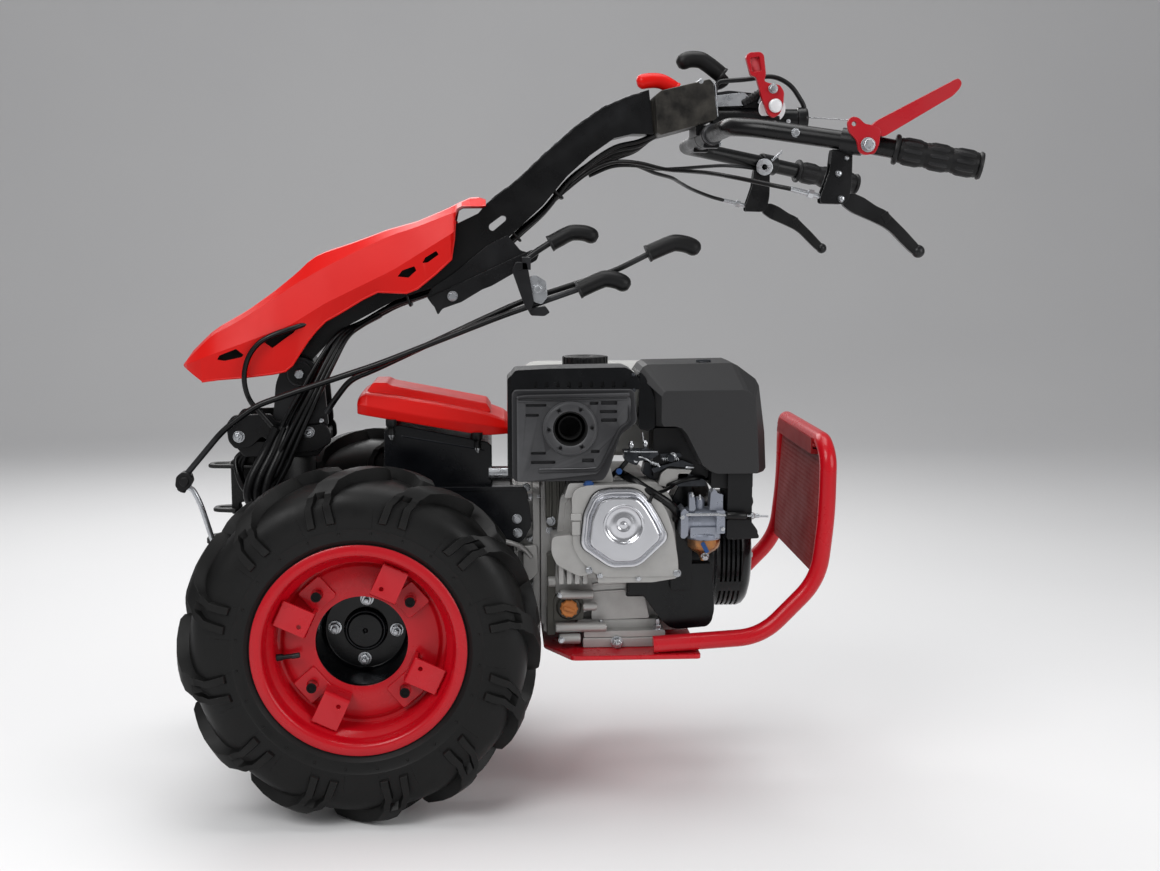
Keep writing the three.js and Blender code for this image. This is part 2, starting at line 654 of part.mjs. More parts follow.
/** Height of a line of [x, z] points at a place along the machine. */
function heightAlong(line, x) {
  const i = Math.max(1, line.findIndex(([xi]) => xi >= x));
  const [[x0, z0], [x1, z1]] = [line[i - 1], line[i]];
  return z0 + ((x - x0) * (z1 - z0)) / (x1 - x0);
}

const COLUMN_TOP = [
  [-132, 440], [-110, 486], [-75, 542], [20, 604], [120, 647], [191, 681], [228, 719], [262, 743],
  [329, 789], [396, 849], [474, 881],
];
const COLUMN_BOTTOM = [
  [-86, 440], [-43, 489], [50, 539], [126, 564], [177, 603], [228, 631], [329, 715], [396, 764],
  [430, 786], [482, 816],
];
const COWL_TOP = [
  [-294, 433], [-257, 488], [-214, 530], [-137, 572], [-85, 614], [59, 661], [92, 670],
  [160, 698], [200, 712],
];
const COWL_FOOT = [
  [-268, 408], [-202, 414], [-120, 422], [-101, 432], [-73, 476], [-53, 501], [38, 553], [92, 560],
  [128, 606], [148, 630], [157, 661], [167, 694],
];
const COWL_ROOF = COWL_TOP.map(([x, z], i) => [x + COWL.sheet * (i === 0 ? 2 : 0.5), z - COWL.sheet]);
const COWL_POSTS = [30, 120];

/** Place of the column's upper end face, with its seating gap, at a height. */
function columnEnd(z) {
  const [[topX, topZ], [bottomX, bottomZ]] = [COLUMN_TOP.at(-1), COLUMN_BOTTOM.at(-1)];
  return topX + ((topZ - z) * (bottomX - topX)) / (topZ - bottomZ) + 1.1 * SEAT_GAP;
}

const columnTop = (x) => heightAlong(COLUMN_TOP, x);
const cowlUnderside = (x) => heightAlong(COWL_ROOF, x);

const BRAKE_LEVER_Y = -53;

/** Serrated side bracket under the column, with the rod guide and the parking brake's knob lever. */
function rodBracket() {
  const inner = COLUMN.halfWidth + SEAT_GAP;
  const plate = slab([
    [122, 552], [139, 562], [177, 606], [240, 650], [268, 622], [279, 606], [152, 535],
  ], -inner - 5, -inner);
  const arm = block([262, ROD.speedY - 18, 590], [276, -inner - 2, 614]);
  const guide = block([258, ROD.speedY - 18, 500], [268, ROD.driveY + 18, 612]);
  const reach = ROD.radius + SEAT_GAP;
  const slot = block([257, ROD.speedY - reach, 512], [269, ROD.driveY + reach, 580]);
  const stemLine = [[268, BRAKE_LEVER_Y, 604], [286, BRAKE_LEVER_Y, 620], [306, BRAKE_LEVER_Y, 636]];
  const stem = bentTube(stemLine, 6, 6, 6);
  const knob = hookKnob([300, 326, 352, 380].map((x, i) => [x, BRAKE_LEVER_Y, [634, 650, 657, 652][i]]));
  return join(plate, arm, guide, stem, knob).subtract(slot);
}

/** Side profile of the box welded across the top of the column. */
const HEAD_PROFILE = [[484, 884], [574, 903], [580, 837], [492, 812]];

/** Head box with its two hooked hand knobs on top. */
function headBox() {
  const { halfWidth } = HEAD_BOX;
  const box = slab(HEAD_PROFILE, -halfWidth, halfWidth);
  const spigot = slab([[columnEnd(868), 868], [488, 870], [494, 826], [columnEnd(826), 826]], -26, 26);
  const stem = bentTube([[550, 10, 890], [586, 10, 906], [612, 10, 918]], 7, 10, 6, 8);
  const blackKnob = hookKnob([
    [620, 10, 916], [600, 10, 932], [570, 10, 944], [542, 10, 944], [526, 10, 934],
  ]);
  const redStem = bentTube([[510, -30, 880], [514, -30, 890], [520, -30, 900]], 7, 4, 4, 8);
  const redKnob = hookKnob([[534, -30, 896], [512, -30, 904], [484, -30, 908], [464, -30, 900]]);
  return join(box, spigot, stem, blackKnob, redStem, redKnob);
}

/** Hooked hand knob on the end of a rod. */
function hookKnob(route) {
  return swept(smooth(route), ROD.knobRadius, 8, 8);
}

/** Control console past the head box: a capped tube, a bent guard and the stop lever. */
function controlConsole() {
  const { radius, y } = CONSOLE;
  const start = HEAD_PROFILE[2][0] + SEAT_GAP;
  const tube = bar(radius, [0, y, 843], X, start, 744, 20);
  const web = block([start, y - 5, 850], [700, y + 5, 890]);
  const guard = bentTube([
    [start + 4, y, 876], [start + 4, y, 900], [682, y, 915], [716, y, 902], [742, y, 850],
  ], 5, 26, 22, 8);
  return join(tube, web, guard);
}

/** Red stop lever on a washer and pin beside the console. */
function stopLever() {
  const side = CONSOLE.y - CONSOLE.radius;
  const blade = slab([
    [645, 948], [662, 946], [672, 905], [694, 878], [690, 858], [676, 856], [668, 876], [655, 912],
  ], side - 20, side - 8);
  const washer = bar(20, [684, 0, 868], Y, side - 9, side - 4, 16);
  const pin = bar(5, [684, 0, 869], Y, side - 26, CONSOLE.y - 5 - SEAT_GAP, 10);
  return join(blade, washer, pin);
}

/** Centre line of the right-hand handle tube. */
const HANDLE_LINE = {
  corner: [578, -262, 812],
  arm: [612, -293, 808],
  gripBend: [770, -353, 781],
  gripStart: [808, -359.6, 773.3],
  end: [928, -380.5, 749],
};
const CROSSBAR_END = 80;

function handleTube() {
  const { corner, arm, gripBend, end } = HANDLE_LINE;
  const root = [corner[0], -CROSSBAR_END - SEAT_GAP, corner[2]];
  return bentTube([root, corner, arm, gripBend, end], HANDLE.tubeRadius, 30, 26);
}

/** Socket bar welded under the head box, which the two handle tubes enter. */
function crossbar() {
  const [x, , z] = HANDLE_LINE.corner;
  const sleeve = bar(HANDLE.tubeRadius + 4, [x, 0, z], Y, -CROSSBAR_END, CROSSBAR_END, 16);
  const saddle = block([x - 22, -44, z], [x + 12, 44, z + 30]);
  const cut = slab(HEAD_PROFILE, -HEAD_BOX.halfWidth - 1, HEAD_BOX.halfWidth + 1);
  const { y, radius } = CONSOLE;
  const relief = block([580, y - radius - 1, 821], [x + 24, y + radius + 1, z + 31]);
  return sleeve.add(saddle).subtract(cut.translate([SEAT_GAP, 0, -SEAT_GAP])).subtract(relief);
}

function grip() {
  const start = new THREE.Vector3(...HANDLE_LINE.gripStart);
  const finishAt = new THREE.Vector3(...HANDLE_LINE.end);
  const axis = finishAt.clone().sub(start);
  const length = axis.length();
  axis.normalize();
  const { bore, gripRadius } = HANDLE;
  const profile = [
    [bore, 0], [gripRadius - 2, 0], [gripRadius, 6], [gripRadius, length + 2], [gripRadius - 3, length + 6],
    [0, length + 6], [0, length + SEAT_GAP], [bore, length + SEAT_GAP],
  ];
  return turned(profile, HANDLE_LINE.gripStart, axis, 16);
}

/** Clamp bracket and hand lever hung under the handle tube. */
function handLever() {
  const y = -333;
  const bracket = slab([[728, 770], [757, 768], [752, 694], [710, 694]], y - 12, y + 12);
  const clamp = slab([[724, 768], [760, 764], [762, 790], [726, 794]], -366, y + 12);
  const tubeCut = handleTubeCut();
  const blade = slab([
    [743, 694], [752, 712], [804, 682], [856, 644], [871, 628], [864, 618], [850, 622], [797, 660],
    [740, 686],
  ], y - 8, y + 6);
  return join(bracket, clamp).subtract(tubeCut).add(blade);
}

/** The handle tube with its seating gap, for cutting what clamps round it. */
function handleTubeCut() {
  const { arm, gripBend } = HANDLE_LINE;
  const axis = new THREE.Vector3(...gripBend).sub(new THREE.Vector3(...arm));
  const length = axis.length();
  return bar(HANDLE.tubeRadius + CLAMP_GAP, arm, axis.normalize(), 20, length + 20, 20);
}

/** Red lock lever: an ear pinned beside the right-hand handle tube and a blade above the grip. */
function lockLever() {
  const [bendX, bendY] = HANDLE_LINE.gripBend;
  const outer = bendY - HANDLE.tubeRadius;
  const ear = slab([
    [742, 812], [752, 820], [780, 801], [800, 814], [812, 800], [796, 778], [786, 764], [768, 770],
    [764, 784],
  ], outer - 16, outer - 9);
  const blade = slab([
    [792, 803], [797, 813], [908, 874], [911, 862], [832, 808], [806, 797],
  ], outer - 14, outer + 18);
  const pin = bar(5, [bendX + 6, 0, 782], Y, outer - 20, outer - 1.4, 10);
  return join(ear, blade, pin);
}

/** Moulded cowl over the foot of the column, open below and at its upper end. */
function cowl() {
  const { halfWidth, sheet } = COWL;
  const shell = slab([...COWL_TOP, ...COWL_FOOT.slice().reverse()], -halfWidth, halfWidth);
  const [noseX, noseZ] = COWL_ROOF[0];
  const hollow = slab([
    ...COWL_ROOF, [COWL_TOP.at(-1)[0] + 60, 700], [200, 520], [0, 380], [noseX, 380], [noseX, noseZ - 4],
  ], -halfWidth + sheet, halfWidth - sheet);
  return shell.subtract(hollow);
}

// ---------------------------------------------------------------- control rods

/** Gear selector rod: from its knob down past the turret, ending in a bright link. */
function speedRod() {
  const y = ROD.speedY;
  const rod = bentTube([
    [345, y, 556], [226, y, 518], [30, y, 442], [-109, y, 396], [-170, y, 374], [-226, y, 316],
    [-288, y, 262], [-268, y, 236], [-243, y, 150],
  ], ROD.radius, 20, 34, 6);
  const joint = bar(12, [-286, 0, 262], Y, y - 10, y + 10, 12);
  const knob = hookKnob([[335, y, 553], [366, y, 566], [396, y, 572], [424, y, 562]]);
  return join(rod, joint, knob);
}

/** Power take-off rod: from its knob down to the clevis beside the turret's front ear. */
function driveRod() {
  const y = ROD.driveY;
  const rod = bentTube([
    [462, y, 622], [410, y, 591], [259, y, 539], [193, y, 510], [16, y, 427], [-20, y, 413],
    [-46, y + 10, 380], [-62, y + 24, 356],
  ], ROD.radius, 20, 30, 6);
  const knob = hookKnob([[452, y, 617], [480, y, 634], [512, y, 640], [540, y, 628]]);
  return rod.add(knob);
}

// ---------------------------------------------------------------- cables

/** Bundle of control cables clipped under the column. */
function columnCables() {
  const drop = CABLES.bundleRadius + 1.8;
  const route = [440, 396, 329, 278, 228, 177, 126, 50, -24].map((x) => {
    const rise = (heightAlong(COLUMN_BOTTOM, x + 1) - heightAlong(COLUMN_BOTTOM, x - 1)) / 2;
    const length = Math.hypot(1, rise);
    return [x + (drop * rise) / length, 0, heightAlong(COLUMN_BOTTOM, x) - drop / length];
  });
  return swept(smooth(route), CABLES.bundleRadius, 16, 8);
}

/** Loop of the same cables down the right-hand side of the turret. */
function turretCables() {
  const route = [
    [-66, -62, 420], [-84, -72, 372], [-104, -82, 320], [-132, -92, 270], [-143, -84, 246],
    [-145, -53.1, 245],
  ];
  return swept(smooth(route), CABLES.loopRadius, 12, 8);
}

// ---------------------------------------------------------------- assembly

const tractor = new THREE.Group();
tractor.add(
  ...wheels(),
  ...gearboxAndHood(),
  ...engine(),
  ...cradleAndBumper(),
  piece("turret", turret(), BLACK_PAINT),
  piece("column", column(), BLACK_PAINT),
  piece("rod_bracket", rodBracket(), BLACK_PAINT),
  piece("head_box", headBox(), BLACK_PAINT),
  piece("control_console", controlConsole(), BLACK_PAINT),
  piece("stop_lever", stopLever(), RED_PLASTIC),
  piece("crossbar", crossbar(), BLACK_PAINT),
  ...pair("handle_tube", handleTube(), BLACK_PAINT),
  ...pair("grip", grip(), RUBBER),
  ...pair("hand_lever", handLever(), BLACK_PAINT),
  piece("lock_lever", lockLever(), RED_PLASTIC),
  piece("cowl", cowl(), RED_PLASTIC),
  piece("speed_rod", speedRod(), BLACK_PAINT),
  piece("drive_rod", driveRod(), BLACK_PAINT),
  piece("column_cables", columnCables(), RUBBER),
  piece("turret_cables", turretCables(), RUBBER),
);
tractor.position.set(-HOLD.x, 0, -HOLD.z);

export default tractor;
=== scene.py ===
"""Two-wheel walking tractor: the visible surfaces, finishes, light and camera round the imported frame."""

import json
import logging
import math
from dataclasses import dataclass, field
from enum import Enum

import bmesh
import bpy
from mathutils import Matrix, Vector
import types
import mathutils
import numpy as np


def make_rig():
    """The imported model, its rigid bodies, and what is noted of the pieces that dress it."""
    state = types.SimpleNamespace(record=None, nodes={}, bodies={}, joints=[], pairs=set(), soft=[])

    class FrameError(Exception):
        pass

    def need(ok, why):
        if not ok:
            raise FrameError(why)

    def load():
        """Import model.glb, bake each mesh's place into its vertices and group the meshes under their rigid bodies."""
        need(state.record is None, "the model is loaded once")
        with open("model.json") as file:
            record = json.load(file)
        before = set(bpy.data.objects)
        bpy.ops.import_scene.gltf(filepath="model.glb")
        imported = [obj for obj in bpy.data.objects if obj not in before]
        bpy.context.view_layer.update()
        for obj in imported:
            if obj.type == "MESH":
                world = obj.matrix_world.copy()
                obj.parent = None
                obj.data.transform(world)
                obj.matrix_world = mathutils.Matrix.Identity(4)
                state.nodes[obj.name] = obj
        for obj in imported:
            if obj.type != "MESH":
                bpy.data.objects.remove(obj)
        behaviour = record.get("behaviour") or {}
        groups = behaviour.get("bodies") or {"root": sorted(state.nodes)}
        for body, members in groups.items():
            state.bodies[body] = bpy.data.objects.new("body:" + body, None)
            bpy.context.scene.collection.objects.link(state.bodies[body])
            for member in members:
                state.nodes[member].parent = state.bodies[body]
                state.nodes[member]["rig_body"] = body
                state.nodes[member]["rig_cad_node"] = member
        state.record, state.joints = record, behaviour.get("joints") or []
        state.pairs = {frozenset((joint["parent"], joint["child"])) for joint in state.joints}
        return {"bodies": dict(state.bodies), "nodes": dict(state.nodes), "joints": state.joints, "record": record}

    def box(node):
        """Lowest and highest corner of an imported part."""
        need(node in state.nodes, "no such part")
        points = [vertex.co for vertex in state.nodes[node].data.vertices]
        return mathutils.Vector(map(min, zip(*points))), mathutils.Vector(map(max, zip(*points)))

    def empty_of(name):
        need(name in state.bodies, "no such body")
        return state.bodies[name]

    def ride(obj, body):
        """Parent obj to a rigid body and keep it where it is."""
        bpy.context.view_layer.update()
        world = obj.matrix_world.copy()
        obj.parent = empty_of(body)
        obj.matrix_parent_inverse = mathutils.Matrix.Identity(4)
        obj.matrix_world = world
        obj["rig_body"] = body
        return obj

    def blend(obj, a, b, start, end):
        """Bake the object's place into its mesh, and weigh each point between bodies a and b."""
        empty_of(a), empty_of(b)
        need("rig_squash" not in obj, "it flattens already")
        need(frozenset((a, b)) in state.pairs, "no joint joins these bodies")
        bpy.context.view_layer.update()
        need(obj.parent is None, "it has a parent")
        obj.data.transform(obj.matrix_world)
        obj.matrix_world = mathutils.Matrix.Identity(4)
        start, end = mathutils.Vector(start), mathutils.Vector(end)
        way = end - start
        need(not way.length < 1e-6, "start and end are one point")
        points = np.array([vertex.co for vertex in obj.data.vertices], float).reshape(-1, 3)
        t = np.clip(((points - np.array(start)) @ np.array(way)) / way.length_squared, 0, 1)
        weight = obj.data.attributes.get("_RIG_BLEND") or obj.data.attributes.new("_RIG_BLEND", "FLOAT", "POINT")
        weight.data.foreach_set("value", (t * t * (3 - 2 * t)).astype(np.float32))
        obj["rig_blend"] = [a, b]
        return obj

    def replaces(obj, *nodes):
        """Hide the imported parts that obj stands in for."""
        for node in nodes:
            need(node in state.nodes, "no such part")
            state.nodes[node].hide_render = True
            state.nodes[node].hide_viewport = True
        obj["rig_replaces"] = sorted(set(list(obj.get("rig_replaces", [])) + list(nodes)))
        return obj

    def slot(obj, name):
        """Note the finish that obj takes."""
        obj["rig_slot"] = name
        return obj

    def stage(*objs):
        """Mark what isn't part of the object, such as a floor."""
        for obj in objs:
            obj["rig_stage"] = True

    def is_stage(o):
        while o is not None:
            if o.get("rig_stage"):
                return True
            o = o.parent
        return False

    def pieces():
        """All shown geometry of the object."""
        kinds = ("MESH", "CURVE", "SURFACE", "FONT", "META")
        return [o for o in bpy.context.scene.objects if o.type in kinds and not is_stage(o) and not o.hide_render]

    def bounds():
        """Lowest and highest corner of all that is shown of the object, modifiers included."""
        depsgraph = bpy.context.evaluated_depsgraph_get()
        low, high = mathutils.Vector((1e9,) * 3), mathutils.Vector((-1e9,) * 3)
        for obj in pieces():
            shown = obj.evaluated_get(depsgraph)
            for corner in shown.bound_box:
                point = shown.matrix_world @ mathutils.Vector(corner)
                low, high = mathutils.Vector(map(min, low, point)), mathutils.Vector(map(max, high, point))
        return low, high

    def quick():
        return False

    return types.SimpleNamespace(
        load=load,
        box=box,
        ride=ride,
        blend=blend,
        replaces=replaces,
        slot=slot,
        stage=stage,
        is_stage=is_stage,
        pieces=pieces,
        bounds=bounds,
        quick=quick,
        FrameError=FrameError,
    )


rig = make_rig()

LOG = logging.getLogger("tractor")
SIZE_FILE = "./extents.json"
MM = 0.001

Point = tuple[float, float, float]
Flat = tuple[float, float]


# ---------------------------------------------------------------- finishes


def linear(code: str) -> tuple[float, float, float, float]:
    """Turn an sRGB hex colour into linear RGBA.

    Args:
        code: Six hex digits, such as "c8181f".

    Returns:
        Red, green, blue and a full alpha.
    """
    parts = [int(code[i : i + 2], 16) / 255 for i in (0, 2, 4)]
    r, g, b = [c / 12.92 if c <= 0.04045 else ((c + 0.055) / 1.055) ** 2.4 for c in parts]
    return (r, g, b, 1.0)


def node(tree: bpy.types.NodeTree, kind: str, settings: dict | None = None,
         links: dict | None = None) -> bpy.types.Node:
    """Add one shader node.

    Args:
        tree: The material's node tree.
        kind: Blender's name for the node, such as "ShaderNodeTexNoise".
        settings: Attribute names, or input names and numbers, and the values they get.
        links: Input names or numbers, and the output socket each is joined to.

    Returns:
        The new node.
    """
    made = tree.nodes.new(kind)
    for name, value in (settings or {}).items():
        if isinstance(name, str) and hasattr(made, name):
            setattr(made, name, value)
        else:
            made.inputs[name].default_value = value
    for name, socket in (links or {}).items():
        tree.links.new(socket, made.inputs[name])
    return made


@dataclass(frozen=True)
class Finish:
    """What a surface is made of, how it was worked, and what the eye sees of that."""

    name: str
    colour: str
    tone: str  # the second colour that blotches and dust bring
    roughness: float
    metallic: float = 0.0
    blotch_mm: float = 60.0  # width of the broad changes of tone
    blotch: float = 0.35  # how much of the second colour shows
    grain_mm: tuple[float, float, float] = (1.2, 1.2, 1.2)  # size of the fine relief along X, Y and Z
    relief_mm: float = 0.03  # height of the fine relief
    uneven: float = 0.08  # change of roughness over the surface
    coat: float = 0.0
    sheen: float = 0.28  # strength of the mirror-like part on paint, plastic and rubber
    edge: str | None = None  # colour painted on convex edges: partly rubbed wear, partly a painted highlight
    wear_and_highlight_share: float = 0.5
    speck: float = 0.0  # share of fine light specks, as of dust or of a sand casting

    def material(self) -> bpy.types.Material:
        """Build the finish as a procedural material, once.

        Returns:
            The material of this finish.
        """
        known = bpy.data.materials.get(self.name)
        if known:
            return known
        made = bpy.data.materials.new(self.name)
        made.use_nodes = True
        tree = made.node_tree
        shader = tree.nodes["Principled BSDF"]
        place = node(tree, "ShaderNodeTexCoord")
        blotches = node(tree, "ShaderNodeTexNoise",
                        {"Scale": 1 / (self.blotch_mm * MM), "Detail": 5.0, "Roughness": 0.6},
                        {"Vector": place.outputs["Object"]})
        spread = node(tree, "ShaderNodeMapRange", {"From Min": 0.35, "From Max": 0.72, "To Max": self.blotch},
                      {"Value": blotches.outputs["Fac"]})
        colour = node(tree, "ShaderNodeMix", {"data_type": "RGBA", 6: linear(self.colour), 7: linear(self.tone)},
                      {"Factor": spread.outputs["Result"]}).outputs[2]
        if self.speck:
            dots = node(tree, "ShaderNodeTexNoise", {"Scale": 1 / (1.6 * MM), "Detail": 2.0},
                        {"Vector": place.outputs["Object"]})
            mask = node(tree, "ShaderNodeMapRange", {"From Min": 0.62, "From Max": 0.74, "To Max": self.speck},
                        {"Value": dots.outputs["Fac"]})
            colour = node(tree, "ShaderNodeMix", {"data_type": "RGBA", 7: linear("b8b4ac")},
                          {"Factor": mask.outputs["Result"], 6: colour}).outputs[2]
        # Painted highlight and wear: convex edges, found from pointiness, take the edge colour in broken patches.
        if self.edge:
            shape = node(tree, "ShaderNodeNewGeometry")
            edge_wear_and_highlight = node(tree, "ShaderNodeMapRange", {"From Min": 0.53, "From Max": 0.6, "To Max": self.wear_and_highlight_share},
                         {"Value": shape.outputs["Pointiness"]})
            wear_and_highlight_mask = node(tree, "ShaderNodeMath", {"operation": "MULTIPLY"},
                          {0: edge_wear_and_highlight.outputs["Result"], 1: blotches.outputs["Fac"]})
            colour = node(tree, "ShaderNodeMix", {"data_type": "RGBA", 7: linear(self.edge)},
                          {"Factor": wear_and_highlight_mask.outputs[0], 6: colour}).outputs[2]
        tree.links.new(colour, shader.inputs["Base Color"])
        gloss = node(tree, "ShaderNodeMapRange",
                     {"From Min": 0.3, "From Max": 0.7, "To Min": max(0.02, self.roughness - self.uneven),
                      "To Max": min(1.0, self.roughness + self.uneven)},
                     {"Value": blotches.outputs["Fac"]})
        tree.links.new(gloss.outputs["Result"], shader.inputs["Roughness"])
        stretch = node(tree, "ShaderNodeMapping", {"Scale": tuple(1 / (g * MM) for g in self.grain_mm)},
                       {"Vector": place.outputs["Object"]})
        grain = node(tree, "ShaderNodeTexNoise", {"Scale": 1.0, "Detail": 3.0}, {"Vector": stretch.outputs["Vector"]})
        bump = node(tree, "ShaderNodeBump", {"Strength": 1.0, "Distance": self.relief_mm * MM},
                    {"Height": grain.outputs["Fac"]})
        tree.links.new(bump.outputs["Normal"], shader.inputs["Normal"])
        shader.inputs["Metallic"].default_value = self.metallic
        shader.inputs["Coat Weight"].default_value = self.coat
        if self.metallic < 0.2:
            shader.inputs["Specular IOR Level"].default_value = self.sheen
        shader.inputs["Coat Roughness"].default_value = 0.08
        return made


# Baked enamel on steel: glossy, with the fine waviness that paint has when it dries.
RED_ENAMEL = Finish("red baked enamel", "b80818", "a00614", 0.3, coat=0.15, grain_mm=(5, 5, 5), relief_mm=0.02,
                    edge="d8505a", wear_and_highlight_share=0.35)
# Perforated bumper panel: the same enamel, painted deeper in tone as painted shade of the holes, which drink the light.
PANEL_ENAMEL = Finish("red baked enamel with painted hole shade", "7c0c0c", "650808", 0.55, coat=0.0, sheen=0.12, grain_mm=(5, 5, 5),
                      relief_mm=0.02, edge="b23a45", wear_and_highlight_share=0.3)
# Injection-moulded ABS, self-coloured: even colour, a soft sheen and a faint flow texture.
RED_ABS = Finish("red moulded ABS", "d0100a", "bc0c08", 0.36, coat=0.0, sheen=0.2, blotch_mm=120, grain_mm=(3, 3, 3),
                 relief_mm=0.015, edge="e0524a", wear_and_highlight_share=0.3)
# Powder coat on steel: black, a little grey from dust, with a fine pebble.
BLACK_COAT = Finish("black powder coat", "060607", "0d0e10", 0.3, grain_mm=(1.6, 1.6, 1.6), relief_mm=0.03,
                    uneven=0.1, edge="5b5c60", wear_and_highlight_share=0.5)
# Glossier black enamel of the wheel hub and the gearbox side plates.
BLACK_ENAMEL = Finish("black enamel", "030406", "07090d", 0.24, coat=0.0, grain_mm=(6, 6, 6), relief_mm=0.02,
                      edge="44464c", wear_and_highlight_share=0.4)
# Moulded nylon of covers and knobs: dark grey, matt, spark-eroded texture.
BLACK_NYLON = Finish("black moulded nylon", "08080a", "101012", 0.45, grain_mm=(1.2, 1.2, 1.2), relief_mm=0.03,
                     edge="4a4a4c", wear_and_highlight_share=0.4)
# Polypropylene of the air cleaner lid: dark grey with an even, fine pebble.
GREY_POLYPROPYLENE = Finish("grey moulded polypropylene", "2b2b2c", "252526", 0.5, blotch_mm=140,
                            grain_mm=(1.0, 1.0, 1.0), relief_mm=0.025, edge="6a6a6b", wear_and_highlight_share=0.25)
# Heat-resistant paint on the pressed muffler guard: nearly black and satin, its edges painted bright, partly for wear
# and partly as a painted highlight.
GREY_HEAT_PAINT = Finish("grey heat-resistant paint", "222224", "19191c", 0.46, metallic=0.0, blotch_mm=80,
                         grain_mm=(1.4, 1.4, 1.4), relief_mm=0.02, edge="b9babd", wear_and_highlight_share=0.7)
# Natural rubber tyre compound: nearly black, dusty grey on the faces, fine mould grain.
TYRE_RUBBER = Finish("vulcanised tyre rubber", "050505", "0c0c0b", 0.5, blotch_mm=90, blotch=0.6,
                     grain_mm=(2.2, 2.2, 2.2), relief_mm=0.07, uneven=0.14, edge="24231f", wear_and_highlight_share=0.4)
# Moulded rubber of the hand grips and hooked knobs.
GRIP_RUBBER = Finish("moulded grip rubber", "070708", "0e0e10", 0.46, grain_mm=(1.2, 1.2, 1.2), relief_mm=0.05,
                     edge="3c3c3e", wear_and_highlight_share=0.4)
# High-pressure die casting: pale grey, slightly cloudy, with a satin skin.
CAST_ALUMINIUM = Finish("die-cast aluminium", "a9a8a6", "8a8986", 0.44, metallic=0.5, blotch_mm=35,
                        grain_mm=(0.9, 0.9, 0.9), relief_mm=0.05, uneven=0.08, edge="d8d8d5", wear_and_highlight_share=0.4)
# Zinc die casting of the carburettor: darker, bluer and shinier than the engine casting.
CARB_CASTING = Finish("zinc die casting", "8b909c", "5f6470", 0.32, metallic=0.7, blotch_mm=16, uneven=0.12,
                      grain_mm=(0.8, 0.8, 0.8), relief_mm=0.04, edge="eef0f4", wear_and_highlight_share=0.5)
# Parts of the engine casting behind the head: the same metal, coloured darker and duller.
DARK_CASTING = Finish("darker die-cast aluminium", "45443f", "2e2d2a", 0.5, metallic=0.5, blotch_mm=30,
                      grain_mm=(0.9, 0.9, 0.9), relief_mm=0.05, edge="8f8e88", wear_and_highlight_share=0.4)
# Crimson moulded nylon of the stop and lock levers: bluer than the hood, with a soft sheen.
CRIMSON_NYLON = Finish("crimson moulded nylon", "a80f1c", "960c18", 0.3, coat=0.15, blotch_mm=60, grain_mm=(3, 3, 3),
                       relief_mm=0.015, edge="e88a90", wear_and_highlight_share=0.5)
# Iron sand casting under a thin black primer: rough and dull.
CAST_IRON = Finish("primed cast iron", "0b0c0d", "161617", 0.5, metallic=0.25, blotch_mm=50,
                   grain_mm=(2.4, 2.4, 2.4), relief_mm=0.16, edge="4c4a47", wear_and_highlight_share=0.4, speck=0.1)
# Pressed steel sheet with a bright nickel plate, as on the rocker cover.
BRIGHT_STEEL = Finish("bright plated steel sheet", "cfd0d4", "b4b5ba", 0.22, metallic=1.0, blotch_mm=70,
                      grain_mm=(4, 4, 4), relief_mm=0.015, uneven=0.05)
# Zinc plate on bolts, washers, rods and links: pale, faintly blue, lightly scuffed.
ZINC = Finish("zinc-plated steel", "b9bcc0", "8e9092", 0.3, metallic=0.95, blotch_mm=12, grain_mm=(0.8, 0.8, 0.8),
              relief_mm=0.02, uneven=0.12, edge="e8e8e8", wear_and_highlight_share=0.3)
# Zinc plate of large washers, coloured almost white as a painted reflection of the bright room that they mirror evenly.
ZINC_PAINTED_REFLECTION = Finish("zinc plate with painted reflection", "e8e8ea", "d4d5d8", 0.36, metallic=0.45, blotch_mm=20, relief_mm=0.01)
# Rolled steel with thin, scuffed black over it, as on the head box.
SCUFFED_STEEL = Finish("scuffed rolled steel", "181716", "3f3c37", 0.42, metallic=0.5, blotch_mm=26, blotch=0.8,
                       grain_mm=(0.8, 5.0, 5.0), relief_mm=0.03, uneven=0.14, edge="8a857b", wear_and_highlight_share=0.6)
# Dark oxide on springs, links and linkage plates.
DARK_STEEL = Finish("dark oxidised steel", "25272b", "3a3d42", 0.36, metallic=0.85, blotch_mm=14, uneven=0.12,
                    edge="9a9da2", wear_and_highlight_share=0.5)
# Stove enamel of the fuel tank: smooth off-white.
TANK_ENAMEL = Finish("white stove enamel", "e4e4df", "d6d6d0", 0.24, coat=0.4, blotch_mm=160, grain_mm=(6, 6, 6),
                     relief_mm=0.015, edge="f2f2ef", wear_and_highlight_share=0.2)
# Yellow passivated zinc of the carburettor bowl: gold to brown over steel.
PASSIVATED_ZINC = Finish("yellow passivated steel", "a8703f", "6d5a4b", 0.26, metallic=0.8, blotch_mm=22, blotch=0.9)
# Natural nylon of the oil filler cap: orange-brown, waxy.
AMBER_NYLON = Finish("amber moulded nylon", "b5713a", "93592c", 0.45, blotch_mm=18, blotch=0.6)
# Blue anodised and dyed trim: drain tag and plug screws.
BLUE_DYE = Finish("blue dyed nylon", "1f4378", "17305a", 0.4, blotch_mm=10)
# PVC sheath of control cables: black with a soft sheen.
CABLE_SHEATH = Finish("black cable sheath", "050506", "0c0c0e", 0.32, blotch_mm=16, grain_mm=(1, 1, 1), relief_mm=0.02)
# Painted shade: flat black for the inside of openings, where nothing lights the metal.
PAINTED_SHADE = Finish("soot-dark inside", "050505", "0a0a0b", 0.85)


# ---------------------------------------------------------------- shapes


